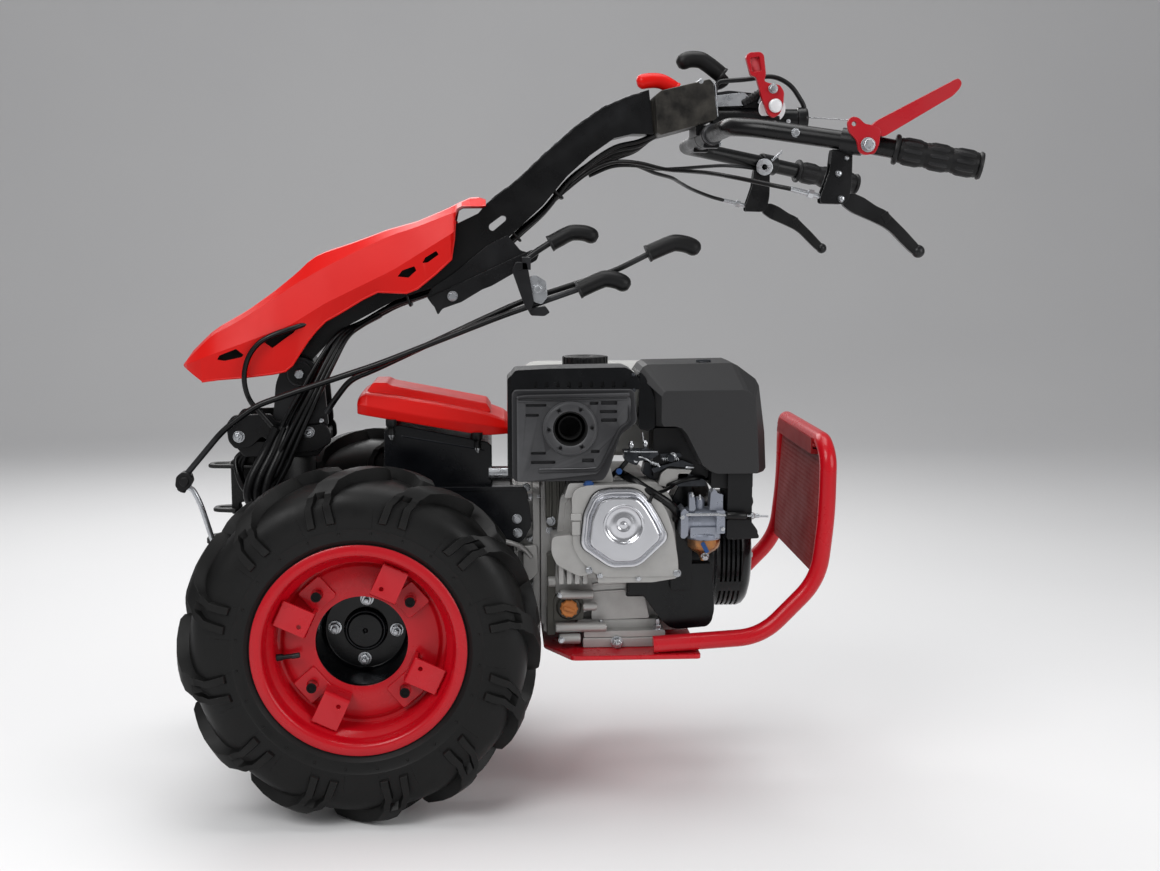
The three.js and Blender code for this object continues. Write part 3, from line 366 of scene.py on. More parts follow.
class Along(Enum):
    """Which way a flat outline is thickened."""

    Y = "side profile of (x, z) points"
    X = "cross profile of (y, z) points"
    Z = "plan profile of (x, y) points"

    def point(self, u: float, v: float, w: float) -> Vector:
        """Place an outline's point at a distance along the thickness."""
        return {Along.Y: Vector((u, w, v)), Along.X: Vector((w, u, v)), Along.Z: Vector((u, v, w))}[self]


def frame_of(axis: Vector) -> Matrix:
    """A rotation that takes +Z to an axis, with a level second direction."""
    return axis.normalized().to_track_quat("Z", "Y").to_matrix().to_4x4()


def smooth_line(route: list[Point], steps: int = 8) -> list[Vector]:
    """Run a smooth curve through points.

    Args:
        route: The points, in order.
        steps: How many short lines go between each pair of points.

    Returns:
        The points of the curve.
    """
    pts = [Vector(p) for p in route]
    ends = [2 * pts[0] - pts[1], *pts, 2 * pts[-1] - pts[-2]]
    made: list[Vector] = []
    for i in range(1, len(ends) - 2):
        a, b, c, d = ends[i - 1 : i + 3]
        for k in range(steps):
            t = k / steps
            made.append(
                0.5
                * (2 * b + (c - a) * t + (2 * a - 5 * b + 4 * c - d) * t * t + (3 * b - a - 3 * c + d) * t * t * t)
            )
    made.append(pts[-1])
    return made


def bent_line(route: list[Point], bend: float, steps: int = 7) -> list[Vector]:
    """Round off the corners of a route, as a tube bender does.

    Args:
        route: The corners, in order.
        bend: How far from each corner the bend starts.
        steps: Short lines in each bend.

    Returns:
        The points of the centre line.
    """
    pts = [Vector(p) for p in route]
    made = [pts[0]]
    for before, corner, after in zip(pts, pts[1:], pts[2:]):
        into, out = before - corner, after - corner
        reach = min(bend, into.length / 2.1, out.length / 2.1)
        a, b = corner + into.normalized() * reach, corner + out.normalized() * reach
        for k in range(steps + 1):
            t = k / steps
            made.append(a * (1 - t) ** 2 + corner * 2 * t * (1 - t) + b * t * t)
    made.append(pts[-1])
    return made


def round_corners(outline: list[Flat], radius: float, steps: int = 4) -> list[Flat]:
    """Round every corner of a closed flat outline.

    Args:
        outline: Its corners in order.
        radius: Radius of the rounding, less where an edge is short.
        steps: Pieces in each corner's curve.

    Returns:
        The rounded outline's points.
    """
    made: list[Flat] = []
    count = len(outline)
    for i in range(count):
        before, corner, after = (Vector(outline[(i + k - 1) % count]) for k in range(3))
        into, out = before - corner, after - corner
        reach = min(radius, into.length / 2.2, out.length / 2.2)
        a, b = corner + into.normalized() * reach, corner + out.normalized() * reach
        for k in range(steps + 1):
            t = k / steps
            p = a * (1 - t) ** 2 + corner * 2 * t * (1 - t) + b * t * t
            made.append((p.x, p.y))
    return made


def rectangle(u0: float, u1: float, v0: float, v1: float, corner: float = 0.0) -> list[Flat]:
    """A flat rectangle, with rounded corners if asked."""
    made = [(u0, v0), (u1, v0), (u1, v1), (u0, v1)]
    return round_corners(made, corner) if corner else made


def circle(u: float, v: float, radius: float, steps: int = 28) -> list[Flat]:
    """A flat circle as a closed outline."""
    turns = [2 * math.pi * k / steps for k in range(steps)]
    return [(u + radius * math.cos(t), v + radius * math.sin(t)) for t in turns]


class Form:
    """The surfaces of one piece, in millimetres from the middle of the wheel axle."""

    def __init__(self) -> None:
        """Start with nothing."""
        self.mesh = bmesh.new()

    def add(self, points: list[Vector], faces: list[tuple[int, ...]]) -> "Form":
        """Add points and the faces between them."""
        verts = [self.mesh.verts.new(p) for p in points]
        for face in faces:
            self.mesh.faces.new([verts[i] for i in face])
        return self

    def prism(self, outline: list[Flat], start: float, end: float, along: Along = Along.Y,
              share: float = 1.0) -> "Form":
        """Thicken a closed outline.

        Args:
            outline: The outline's points.
            start: Where the thickness starts.
            end: Where it ends.
            along: Which way it is thickened.
            share: Size of the outline at the end, as a share of its size at the start.

        Returns:
            The form itself.
        """
        n = len(outline)
        mu, mv = sum(p[0] for p in outline) / n, sum(p[1] for p in outline) / n
        near = [along.point(u, v, start) for u, v in outline]
        far = [along.point(mu + (u - mu) * share, mv + (v - mv) * share, end) for u, v in outline]
        sides = [(i, (i + 1) % n, n + (i + 1) % n, n + i) for i in range(n)]
        return self.add(near + far, [tuple(range(n))[::-1], tuple(range(n, 2 * n)), *sides])

    def box(self, low: Point, high: Point) -> "Form":
        """Add a block between two opposite corners."""
        return self.prism(rectangle(low[0], high[0], low[2], high[2]), low[1], high[1])

    def turned(self, profile: list[Flat], centre: Point, axis: Point, steps: int = 48) -> "Form":
        """Turn a closed profile of (radius, distance) points about an axis.

        Args:
            profile: The profile; it closes on itself, or ends on the axis at both ends.
            centre: A point on the axis.
            axis: The axis's direction.
            steps: Facets round the axis.

        Returns:
            The form itself.
        """
        turn = Matrix.Translation(Vector(centre)) @ frame_of(Vector(axis))
        loops = []
        for radius, along in profile:
            if radius < 1e-6:
                loops.append([self.mesh.verts.new(turn @ Vector((0, 0, along)))])
            else:
                ring = [2 * math.pi * k / steps for k in range(steps)]
                loops.append(
                    [self.mesh.verts.new(turn @ Vector((radius * math.cos(t), radius * math.sin(t), along)))
                     for t in ring]
                )
        pairs = list(zip(loops, loops[1:]))
        if len(loops[0]) > 1 or len(loops[-1]) > 1:
            pairs.append((loops[-1], loops[0]))
        for a, b in pairs:
            for k in range(steps):
                m = (k + 1) % steps
                ring = [a[k % len(a)], a[m % len(a)], b[m % len(b)], b[k % len(b)]]
                corners = list(dict.fromkeys(ring))
                if len(corners) > 2:
                    self.mesh.faces.new(corners)
        return self

    def rod(self, start: Point, end: Point, radius: float, steps: int = 20, soft: float = 0.0) -> "Form":
        """Add a round bar between two points, with chamfered ends if asked."""
        a, b = Vector(start), Vector(end)
        length = (b - a).length
        profile = [(0, 0), (radius - soft, 0), (radius, soft), (radius, length - soft), (radius - soft, length),
                   (0, length)]
        if not soft:
            profile = [(0, 0), (radius, 0), (radius, length), (0, length)]
        return self.turned(profile, tuple(a), tuple(b - a), steps)

    def tube(self, line: list[Vector], radius: float | list[float], sides: int = 14, closed: bool = False,
             flat: float = 1.0) -> "Form":
        """Sweep a round section along a line.

        Args:
            line: The centre line.
            radius: One radius, or one for each point.
            sides: Facets round the section.
            closed: True if the line runs back into its start.
            flat: Height of the section as a share of its width.

        Returns:
            The form itself.
        """
        count = len(line)
        radii = radius if isinstance(radius, list) else [radius] * count
        loops = []
        normal = None
        for i, p in enumerate(line):
            before = line[i - 1] if i or closed else p
            after = line[(i + 1) % count] if i < count - 1 or closed else p
            tangent = (after - before).normalized()
            if normal is None:
                normal = tangent.orthogonal() if abs(tangent.y) > 0.9 else tangent.cross(Vector((0, 1, 0)))
            normal = (normal - tangent * normal.dot(tangent)).normalized()
            other = tangent.cross(normal)
            ring = [2 * math.pi * k / sides for k in range(sides)]
            loops.append(
                [self.mesh.verts.new(p + radii[i] * (normal * math.cos(t) * flat + other * math.sin(t)))
                 for t in ring]
            )
        pairs = list(zip(loops, loops[1:])) + ([(loops[-1], loops[0])] if closed else [])
        for a, b in pairs:
            for k in range(sides):
                m = (k + 1) % sides
                self.mesh.faces.new((a[k], a[m], b[m], b[k]))
        if not closed:
            self.mesh.faces.new(loops[0][::-1])
            self.mesh.faces.new(loops[-1])
        return self

    def ball(self, centre: Point, radius: float, axis: Point = (0, 0, 1), squash: float = 1.0) -> "Form":
        """Add a ball, flattened along an axis if asked."""
        arc = [math.pi * k / 10 for k in range(11)]
        profile = [(radius * math.sin(t), -radius * squash * math.cos(t)) for t in arc]
        profile[0], profile[-1] = (0, profile[0][1]), (0, profile[-1][1])
        return self.turned(profile, centre, axis, 20)

    def bolt(self, centre: Point, axis: Point, across: float, washer: bool = True, shank: float = 0.0,
             hexagon: bool = True) -> "Form":
        """Add a bolt head on a washer.

        Args:
            centre: Where the washer meets the surface.
            axis: The way the bolt stands out.
            across: Size of the head.
            washer: True for a washer under the head.
            shank: Length of thread standing out past a nut.
            hexagon: False for a domed head.

        Returns:
            The form itself.
        """
        turn = frame_of(Vector(axis))
        base, r = Vector(centre), across / 2
        lift = 0.0
        if washer:
            lift = across * 0.12
            self.turned([(0, 0), (r * 1.35, 0), (r * 1.35, lift), (0, lift)], centre, axis, 24)
        top = lift + across * 0.55
        if hexagon:
            corners = [60 * k + 10 for k in range(6)]
            reach = r * 1.12
            rows = [(reach, lift), (reach, top - r * 0.12), (reach * 0.86, top)]
            points, faces = [], []
            for radius, height in rows:
                for c in corners:
                    t = math.radians(c)
                    points.append(base + (turn @ Vector((radius * math.cos(t), radius * math.sin(t), height))))
            for row in range(2):
                for k in range(6):
                    m = (k + 1) % 6
                    faces.append((6 * row + k, 6 * row + m, 6 * row + 6 + m, 6 * row + 6 + k))
            faces += [(5, 4, 3, 2, 1, 0), (12, 13, 14, 15, 16, 17)]
            self.add(points, faces)
        else:
            self.turned([(0, lift), (r, lift), (r * 0.96, lift + r * 0.5), (r * 0.6, top), (0, top + r * 0.1)],
                        centre, axis, 24)
        if shank:
            self.turned([(0, top), (r * 0.55, top), (r * 0.55, top + shank - 1), (r * 0.45, top + shank),
                         (0, top + shank)], centre, axis, 16)
        return self

    def moved(self, matrix: Matrix) -> "Form":
        """Move or turn everything so far."""
        self.mesh.transform(matrix)
        return self

    def mirrored(self) -> "Form":
        """The same form on the other side of the machine."""
        made = Form()
        made.mesh = self.mesh.copy()
        made.mesh.transform(Matrix.Diagonal((1, -1, 1, 1)))
        bmesh.ops.reverse_faces(made.mesh, faces=made.mesh.faces)
        return made

    def join(self, other: "Form") -> "Form":
        """Take in the surfaces of another form."""
        spare = bpy.data.meshes.new("spare")
        other.mesh.to_mesh(spare)
        self.mesh.from_mesh(spare)
        bpy.data.meshes.remove(spare)
        return self

    def cut(self, tool: "Form") -> "Form":
        """Cut another form out of this one.

        Args:
            tool: The closed form that is taken away.

        Returns:
            The form itself.
        """
        made = []
        for form in (self, tool):
            mesh = bpy.data.meshes.new("spare")
            bmesh.ops.recalc_face_normals(form.mesh, faces=form.mesh.faces)
            form.mesh.to_mesh(mesh)
            item = bpy.data.objects.new("spare", mesh)
            bpy.context.scene.collection.objects.link(item)
            made.append(item)
        knife = made[0].modifiers.new("cut", "BOOLEAN")
        knife.object, knife.operation, knife.solver = made[1], "DIFFERENCE", "EXACT"
        knife.use_self = True
        done = made[0].evaluated_get(bpy.context.evaluated_depsgraph_get()).to_mesh()
        self.mesh.free()
        self.mesh = bmesh.new()
        self.mesh.from_mesh(done)
        for item in made:
            mesh = item.data
            bpy.data.objects.remove(item)
            bpy.data.meshes.remove(mesh)
        return self


@dataclass
class Shop:
    """Turns forms into pieces that ride on the machine's bodies."""

    nodes: dict
    origin: Vector
    count: int = 0

    @classmethod
    def for_frame(cls, nodes: dict) -> "Shop":
        """Take the layout's origin from the wheel rims' boxes."""
        (low, high), (left_low, left_high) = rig.box("rim_right"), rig.box("rim_left")
        middle = (low + high + left_low + left_high) / 4
        return cls(nodes, Vector((middle.x, 0.0, middle.z)))

    def make(self, form: Form, name: str, body: str, finish: Finish, slot: str, replaces: tuple[str, ...] = (),
             bevel: float = 0.0, segments: int = 2, limit: float = 32.0,
             between: tuple[str, Point, Point] | None = None) -> bpy.types.Object:
        """Make a piece from a form.

        Args:
            form: Its surfaces.
            name: The piece's name.
            body: The body that it rides on.
            finish: Its finish.
            slot: The record's material slot.
            replaces: The nodes that it stands for.
            bevel: Width of the soft edges in millimetres.
            segments: Facets across a soft edge.
            limit: Edges sharper than this many degrees are softened or kept sharp.
            between: For a piece that bends: the second body, and the points where the bend starts and ends.

        Returns:
            The piece.
        """
        mesh = bpy.data.meshes.new(name)
        bmesh.ops.remove_doubles(form.mesh, verts=form.mesh.verts, dist=0.01)
        bmesh.ops.recalc_face_normals(form.mesh, faces=form.mesh.faces)
        form.mesh.transform(Matrix.Translation(self.origin) @ Matrix.Scale(MM, 4))
        form.mesh.to_mesh(mesh)
        form.mesh.free()
        mesh.materials.append(finish.material())
        item = bpy.data.objects.new(name, mesh)
        bpy.context.scene.collection.objects.link(item)
        for face in mesh.polygons:
            face.use_smooth = True
        if bevel:
            soft = item.modifiers.new("soft edges", "BEVEL")
            soft.width, soft.segments, soft.limit_method = bevel * MM, segments, "ANGLE"
            soft.angle_limit, soft.use_clamp_overlap = math.radians(limit), True
            weigh = item.modifiers.new("flat faces", "WEIGHTED_NORMAL")
            weigh.keep_sharp = True
        else:
            mesh.set_sharp_from_angle(angle=math.radians(limit))
        if between:
            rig.blend(item, body, between[0], *(self.origin + Vector(p) * MM for p in between[1:]))
        else:
            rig.ride(item, body)
        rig.slot(item, slot)
        if replaces:
            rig.replaces(item, *replaces)
        self.count += 1
        LOG.info("%s rides on %s, %d faces", name, body, len(mesh.polygons))
        return item

    def dress(self, name: str, finish: Finish) -> None:
        """Give a node that keeps its own shape its finish."""
        item = self.nodes[name]
        item.data.materials.clear()
        item.data.materials.append(finish.material())


# ---------------------------------------------------------------- wheels


def table_value(rows: list[Flat], at: float) -> float:
    """Read a value off a table of (place, value) rows, with straight lines between them."""
    if at <= rows[0][0]:
        return rows[0][1]
    for (a, va), (b, vb) in zip(rows, rows[1:]):
        if at <= b:
            return va + (vb - va) * (at - a) / (b - a)
    return rows[-1][1]


@dataclass
class Wheel:
    """One 12-inch agricultural wheel: lugged tyre, welded rim and hub."""

    shop: Shop
    side: str
    track_half: float = 230.0
    lugs: int = 12
    first_lug: float = 14.0
    lean: float = 21.0
    carcass: list[Flat] = field(default_factory=lambda: [
        (268, 0), (268, 12), (267, 24), (264, 36), (258, 47), (249, 55), (238, 59.5), (226, 61.5), (212, 61.5),
        (200, 60), (197, 60.4), (194, 58.6), (184, 55), (179, 54.4), (176, 51.5), (171.5, 46.3), (156, 46.2),
        (154.5, 30),
    ])

    def build(self) -> None:
        """Make the tyre, the rim and the hub."""
        body = f"wheel_{self.side}"
        make, side = self.shop.make, self.side
        make(self.sided(self.tyre()), f"tyre_{side}.rubber", body, TYRE_RUBBER, "tyre_rubber", (f"tyre_{side}",),
             bevel=1.6, segments=2, limit=28)
        make(self.sided(self.rim()), f"rim_{side}.barrel", body, RED_ENAMEL, "red_paint", (f"rim_{side}",), limit=40)
        make(self.sided(self.pads()), f"rim_{side}.pads", body, RED_ENAMEL, "red_paint", bevel=1.6, segments=2)
        make(self.sided(self.recess_shade()), f"rim_{side}.recesses", body, PAINTED_SHADE, "black_paint", limit=40)
        make(self.sided(self.tabs()), f"rim_{side}.tabs", body, RED_ENAMEL, "red_paint", bevel=1.2, segments=2)
        make(self.sided(self.hub()), f"hub_{side}.casting", body, BLACK_ENAMEL, "black_paint", (f"hub_{side}",),
             bevel=1.2, segments=2)
        make(self.sided(self.hub_nuts()), f"hub_{side}.nuts", body, ZINC, "pressed_steel", bevel=0.5, segments=1)
        make(self.sided(self.valve()), f"rim_{side}.valve", body, BLACK_NYLON, "black_plastic", limit=40)
        self.shop.dress(f"axle_shaft_{side}", DARK_STEEL)

    def sided(self, right: Form) -> Form:
        """Carry a form from the middle of the machine out to this wheel."""
        right.moved(Matrix.Translation((0, -self.track_half, 0)))
        return right if self.side == "right" else right.mirrored()

    def across(self) -> list[tuple[float, float, float]]:
        """Points of the carcass from its middle outwards: distance along the skin, radius and offset."""
        made, gone = [], 0.0
        for i, (r, y) in enumerate(self.carcass):
            if i:
                r0, y0 = self.carcass[i - 1]
                gone += math.hypot(r - r0, y - y0)
            made.append((gone, r, y))
        return made

    def tyre(self) -> Form:
        """Carcass with its lugs, mould lines and vent pips."""
        form = Form()
        half = [(r, y) for r, y in self.carcass]
        profile = [(r, -y) for r, y in half[::-1]] + half[1:]
        form.turned(profile, (0, 0, 0), (0, -1, 0), 120)
        for k in range(self.lugs):
            base = self.first_lug + 360 * k / self.lugs
            self.lug(form, base, 1)
            self.lug(form, base + 180 / self.lugs, -1)
        for side in (1, -1):
            for k in range(2 * self.lugs):
                turn = math.radians(self.first_lug + 9 + 180 * k / self.lugs)
                self.mould_line(form, turn, side)
        return form

    def skin(self, along: float, angle: float, side: int, lift: float) -> Vector:
        """A point over the carcass.

        Args:
            along: Distance from the middle, along the skin.
            angle: Angle round the wheel, in degrees.
            side: 1 for the outer half, -1 for the inner.
            lift: Height over the skin.

        Returns:
            The point.
        """
        rows = self.across()
        mirror = -side if along < 0 else side
        place = abs(along)
        r = table_value([(g, r) for g, r, _ in rows], place)
        y = table_value([(g, y) for g, _, y in rows], place)
        r1, y1 = (table_value([(g, row[i]) for g, *row in rows], place + 2.0) for i in (0, 1))
        r0, y0 = (table_value([(g, row[i]) for g, *row in rows], max(0.0, place - 2.0)) for i in (0, 1))
        step = math.hypot(r1 - r0, y1 - y0) or 1.0
        out = ((y1 - y0) / step, -(r1 - r0) / step)
        r, y = r + out[0] * lift, y + out[1] * lift
        t = math.radians(angle)
        return Vector((r * math.cos(t), -mirror * y, r * math.sin(t)))

    def lug(self, form: Form, foot: float, side: int) -> None:
        """Add one lug: a leaning bar over the crown, forked where it runs down the side wall.

        Args:
            form: The form that it is added to.
            foot: Its place round the tyre in degrees.
            side: The half of the tread that it is on, 1 or -1.
        """
        lift = [(-12, 0), (-8, 17), (0, 19.6), (24, 19.6), (36, 19.5), (47, 18.5), (54, 14.5), (62, 12.5),
                (64, 9.5), (80, 8.5), (94, 7), (100, 5.5), (104, -1)]
        width = [(-12, 22), (0, 27), (30, 28), (50, 30), (62, 38), (92, 42), (108, 44)]
        turn = [(-12, self.lean + 1.5), (0, self.lean - 1), (20, self.lean * 0.7), (40, self.lean * 0.36),
                (58, self.lean * 0.1), (72, 0), (108, -0.6)]
        gap = [(57, 0.0), (60, 0.9), (84, 1.0), (108, 1.0)]
        stations = [-12, -8.5, 0, 10, 20, 30, 38, 47, 53, 57, 60, 64, 72, 80, 88, 94, 100, 104]
        points: list[Vector] = []
        for s in stations:
            r = table_value([(g, r) for g, r, _ in self.across()], abs(s))
            h, w = table_value(lift, s), table_value(width, s)
            slope = 4.0 if s < 60 else 2.5
            middle = foot - table_value(turn, s)
            open_share = table_value(gap, s)
            floor = h - open_share * (h + 0.6)
            prong = w * (0.3 if s < 57 else 0.27)
            rows = [(-w / 2 - slope, -4), (-w / 2, h), (-w / 2 + prong, h), (-w / 2 + prong + 2.2, floor),
                    (w / 2 - prong - 2.2, floor), (w / 2 - prong, h), (w / 2, h), (w / 2 + slope, -4)]
            for offset, height in rows:
                points.append(self.skin(s, middle + math.degrees(offset / r), side, height))
        faces = []
        for i in range(len(stations) - 1):
            for k in range(7):
                a = 8 * i + k
                faces.append((a, a + 1, a + 9, a + 8))
            faces.append((8 * i + 7, 8 * i, 8 * i + 8, 8 * i + 15))
        last = 8 * (len(stations) - 1)
        faces += [tuple(range(8))[::-1], tuple(range(last, last + 8))]
        form.add(points, faces)

    def mould_line(self, form: Form, turn: float, side: int) -> None:
        """Add a fine radial line left by the mould, with a vent pip at its foot.

        Args:
            form: The form that it is added to.
            turn: Its place round the tyre in radians.
            side: The side wall that it is on, 1 or -1.
        """
        cos, sin = math.cos(turn), math.sin(turn)
        across = Vector((-sin, 0, cos))
        line = [(187, 56.4), (200, 60.6), (216, 62.2), (232, 61.3)]
        points = []
        for r, y in line:
            middle = Vector((r * cos, -side * y, r * sin))
            down = Vector((0, side * 1.4, 0))
            points += [middle - across * 0.7 + down, middle - down * 0.2, middle + across * 0.7 + down]
        faces = []
        for i in range(len(line) - 1):
            a = 3 * i
            faces += [(a, a + 1, a + 4, a + 3), (a + 1, a + 2, a + 5, a + 4), (a + 2, a, a + 3, a + 5)]
        faces += [(0, 1, 2), (9, 10, 11)]
        form.add(points, faces)
        form.turned([(0, 0), (2.2, 0), (1.8, 1.6), (0, 2.0)], (190 * cos, -side * 57.2, 190 * sin), (0, -side, 0), 8)

    def rim(self) -> Form:
        """Pressed barrel with rolled lips, and the dished disc welded in it."""
        lip = [(154, 46.4), (168.5, 46.4), (170, 47.2), (170, 48.8), (168.6, 50), (158, 50.2), (154.5, 49.6),
               (151.5, 46.5), (149.2, 41), (148.8, 32), (146, 27.5), (138.4, 22), (136.6, 18)]
        outer = [(154, 46.4), (152.4, 43), (152.2, 29), (149.5, 25), (141.5, 19), (140, 15)]
        front = [(136.5, -9), (134.8, -13.2), (131.5, -14.6), (127.8, -13.8), (125.4, -11.2), (122.5, -10),
                 (76.5, -10), (74.2, -10.8), (74, -12.5), (74.6, -14.6), (76.5, -15)]
        back = [(124, -15), (128, -17.4), (132.5, -19.8), (136.5, -21)]
        inner = [(136.5, -22), (138.4, -24), (146, -29), (148.8, -33), (149.2, -42), (151.5, -46.5), (154.5, -49.6),
                 (168.6, -50), (170, -48.8), (170, -47.2), (168.5, -46.4), (154, -46.4)]
        outer_back = [(r, -y) for r, y in outer]
        profile = lip + front + back + inner + outer_back[1:] + outer[::-1][:-1]
        return Form().turned(profile, (0, 0, 0), (0, -1, 0), 112)

    def pads(self) -> Form:
        """Square bolt pads with their clearance holes."""
        form = Form()
        for k in range(4):
            pad = Form().prism(rectangle(83, 127, -22.5, 22.5, 5), -16.2, -4.0)
            pad.cut(Form().prism(circle(105, 0, 8.4), -20, 0))
            pad.moved(Matrix.Scale(-1, 4, (0, 1, 0)))
            pad.moved(Matrix.Rotation(-math.radians(41 + 90 * k), 4, "Y"))
            form.join(pad)
        bmesh.ops.recalc_face_normals(form.mesh, faces=form.mesh.faces)
        return form

    def recess_shade(self) -> Form:
        """Painted shade: black discs behind the holes of the pads, where the nut pockets lie in shade."""
        form = Form()
        for k in range(4):
            t = math.radians(41 + 90 * k)
            form.turned([(0, 12.2), (8.2, 12.2), (8.2, 14.4), (5.4, 14.4), (5.0, 12.8), (0, 12.8)],
                        (105 * math.cos(t), 0, 105 * math.sin(t)), (0, -1, 0), 24)
        return form

    def tabs(self) -> Form:
        """Bent tabs welded from the barrel to the disc."""
        form = Form()
        section = [(139, 24), (139, 30), (91, 30), (86.5, 28), (84.5, 23.5), (84.5, -9.6), (90.5, -9.6),
                   (90.5, 22), (92.5, 24)]
        for k in range(4):
            tab = Form().prism([(r, -y) for r, y in section], -21.5, 21.5, Along.Z)
            hole = Form().turned([(0, -50), (3.6, -50), (3.6, -10), (0, -10)], (101, 0, 8), (0, 1, 0), 16)
            tab.cut(hole)
            tab.moved(Matrix.Rotation(-math.radians(65 + 90 * k), 4, "Y"))
            form.join(tab)
            weld = [Vector((138.5, -27 - 0.8 * math.sin(i * 2.1), -21 + 3.5 * i)) for i in range(13)]
            bead = Form().tube(weld, [2.4 + 0.4 * math.sin(i * 1.7) for i in range(13)], 8)
            form.join(bead.moved(Matrix.Rotation(-math.radians(65 + 90 * k), 4, "Y")))
        return form

    def hub(self) -> Form:
        """Dished hub casting with a dust cap."""
        face = -self.track_half + 137
        profile = [(0, face - 10), (80, face - 10), (80, -21.5), (125, -21.5), (125, -15.4), (74.5, -15.4),
                   (73.2, -20), (70, face + 5), (66, face), (36, face), (35, face + 11), (31.4, face + 13),
                   (30.6, face + 11.6), (29.8, face + 13.4), (27.6, face + 15.6), (5.5, face + 16.4),
                   (3.4, face + 15.2), (2.6, face + 12.5), (0, face + 12)]
        return Form().turned(profile, (0, 0, 0), (0, -1, 0), 64)

    def hub_nuts(self) -> Form:
        """Four studs with nuts and spring washers."""
        form = Form()
        face = self.track_half - 137
        for k in range(4):
            t = math.radians(87 + 90 * k)
            form.bolt((51 * math.cos(t), face, 51 * math.sin(t)), (0, -1, 0), 17, True, 9)
        return form

    def valve(self) -> Form:
        """Tyre valve through the barrel."""
        t = math.radians(189)
        out = Vector((math.cos(t), 0, math.sin(t)))
        base = out * 136 + Vector((0, -2, 0))
        form = Form().tube([base, base - out * 8, base - out * 12 - Vector((0, 2, 0)),
                            base - out * 34 - Vector((0, 6, 0))], [6, 5.6, 4, 3.8], 14)
        tip = base - out * 34 - Vector((0, 6, 0))
        return form.rod(tuple(tip + out * 9), tuple(tip - out * 4), 4.4, 10, 0.6)


# ---------------------------------------------------------------- cowl and hood


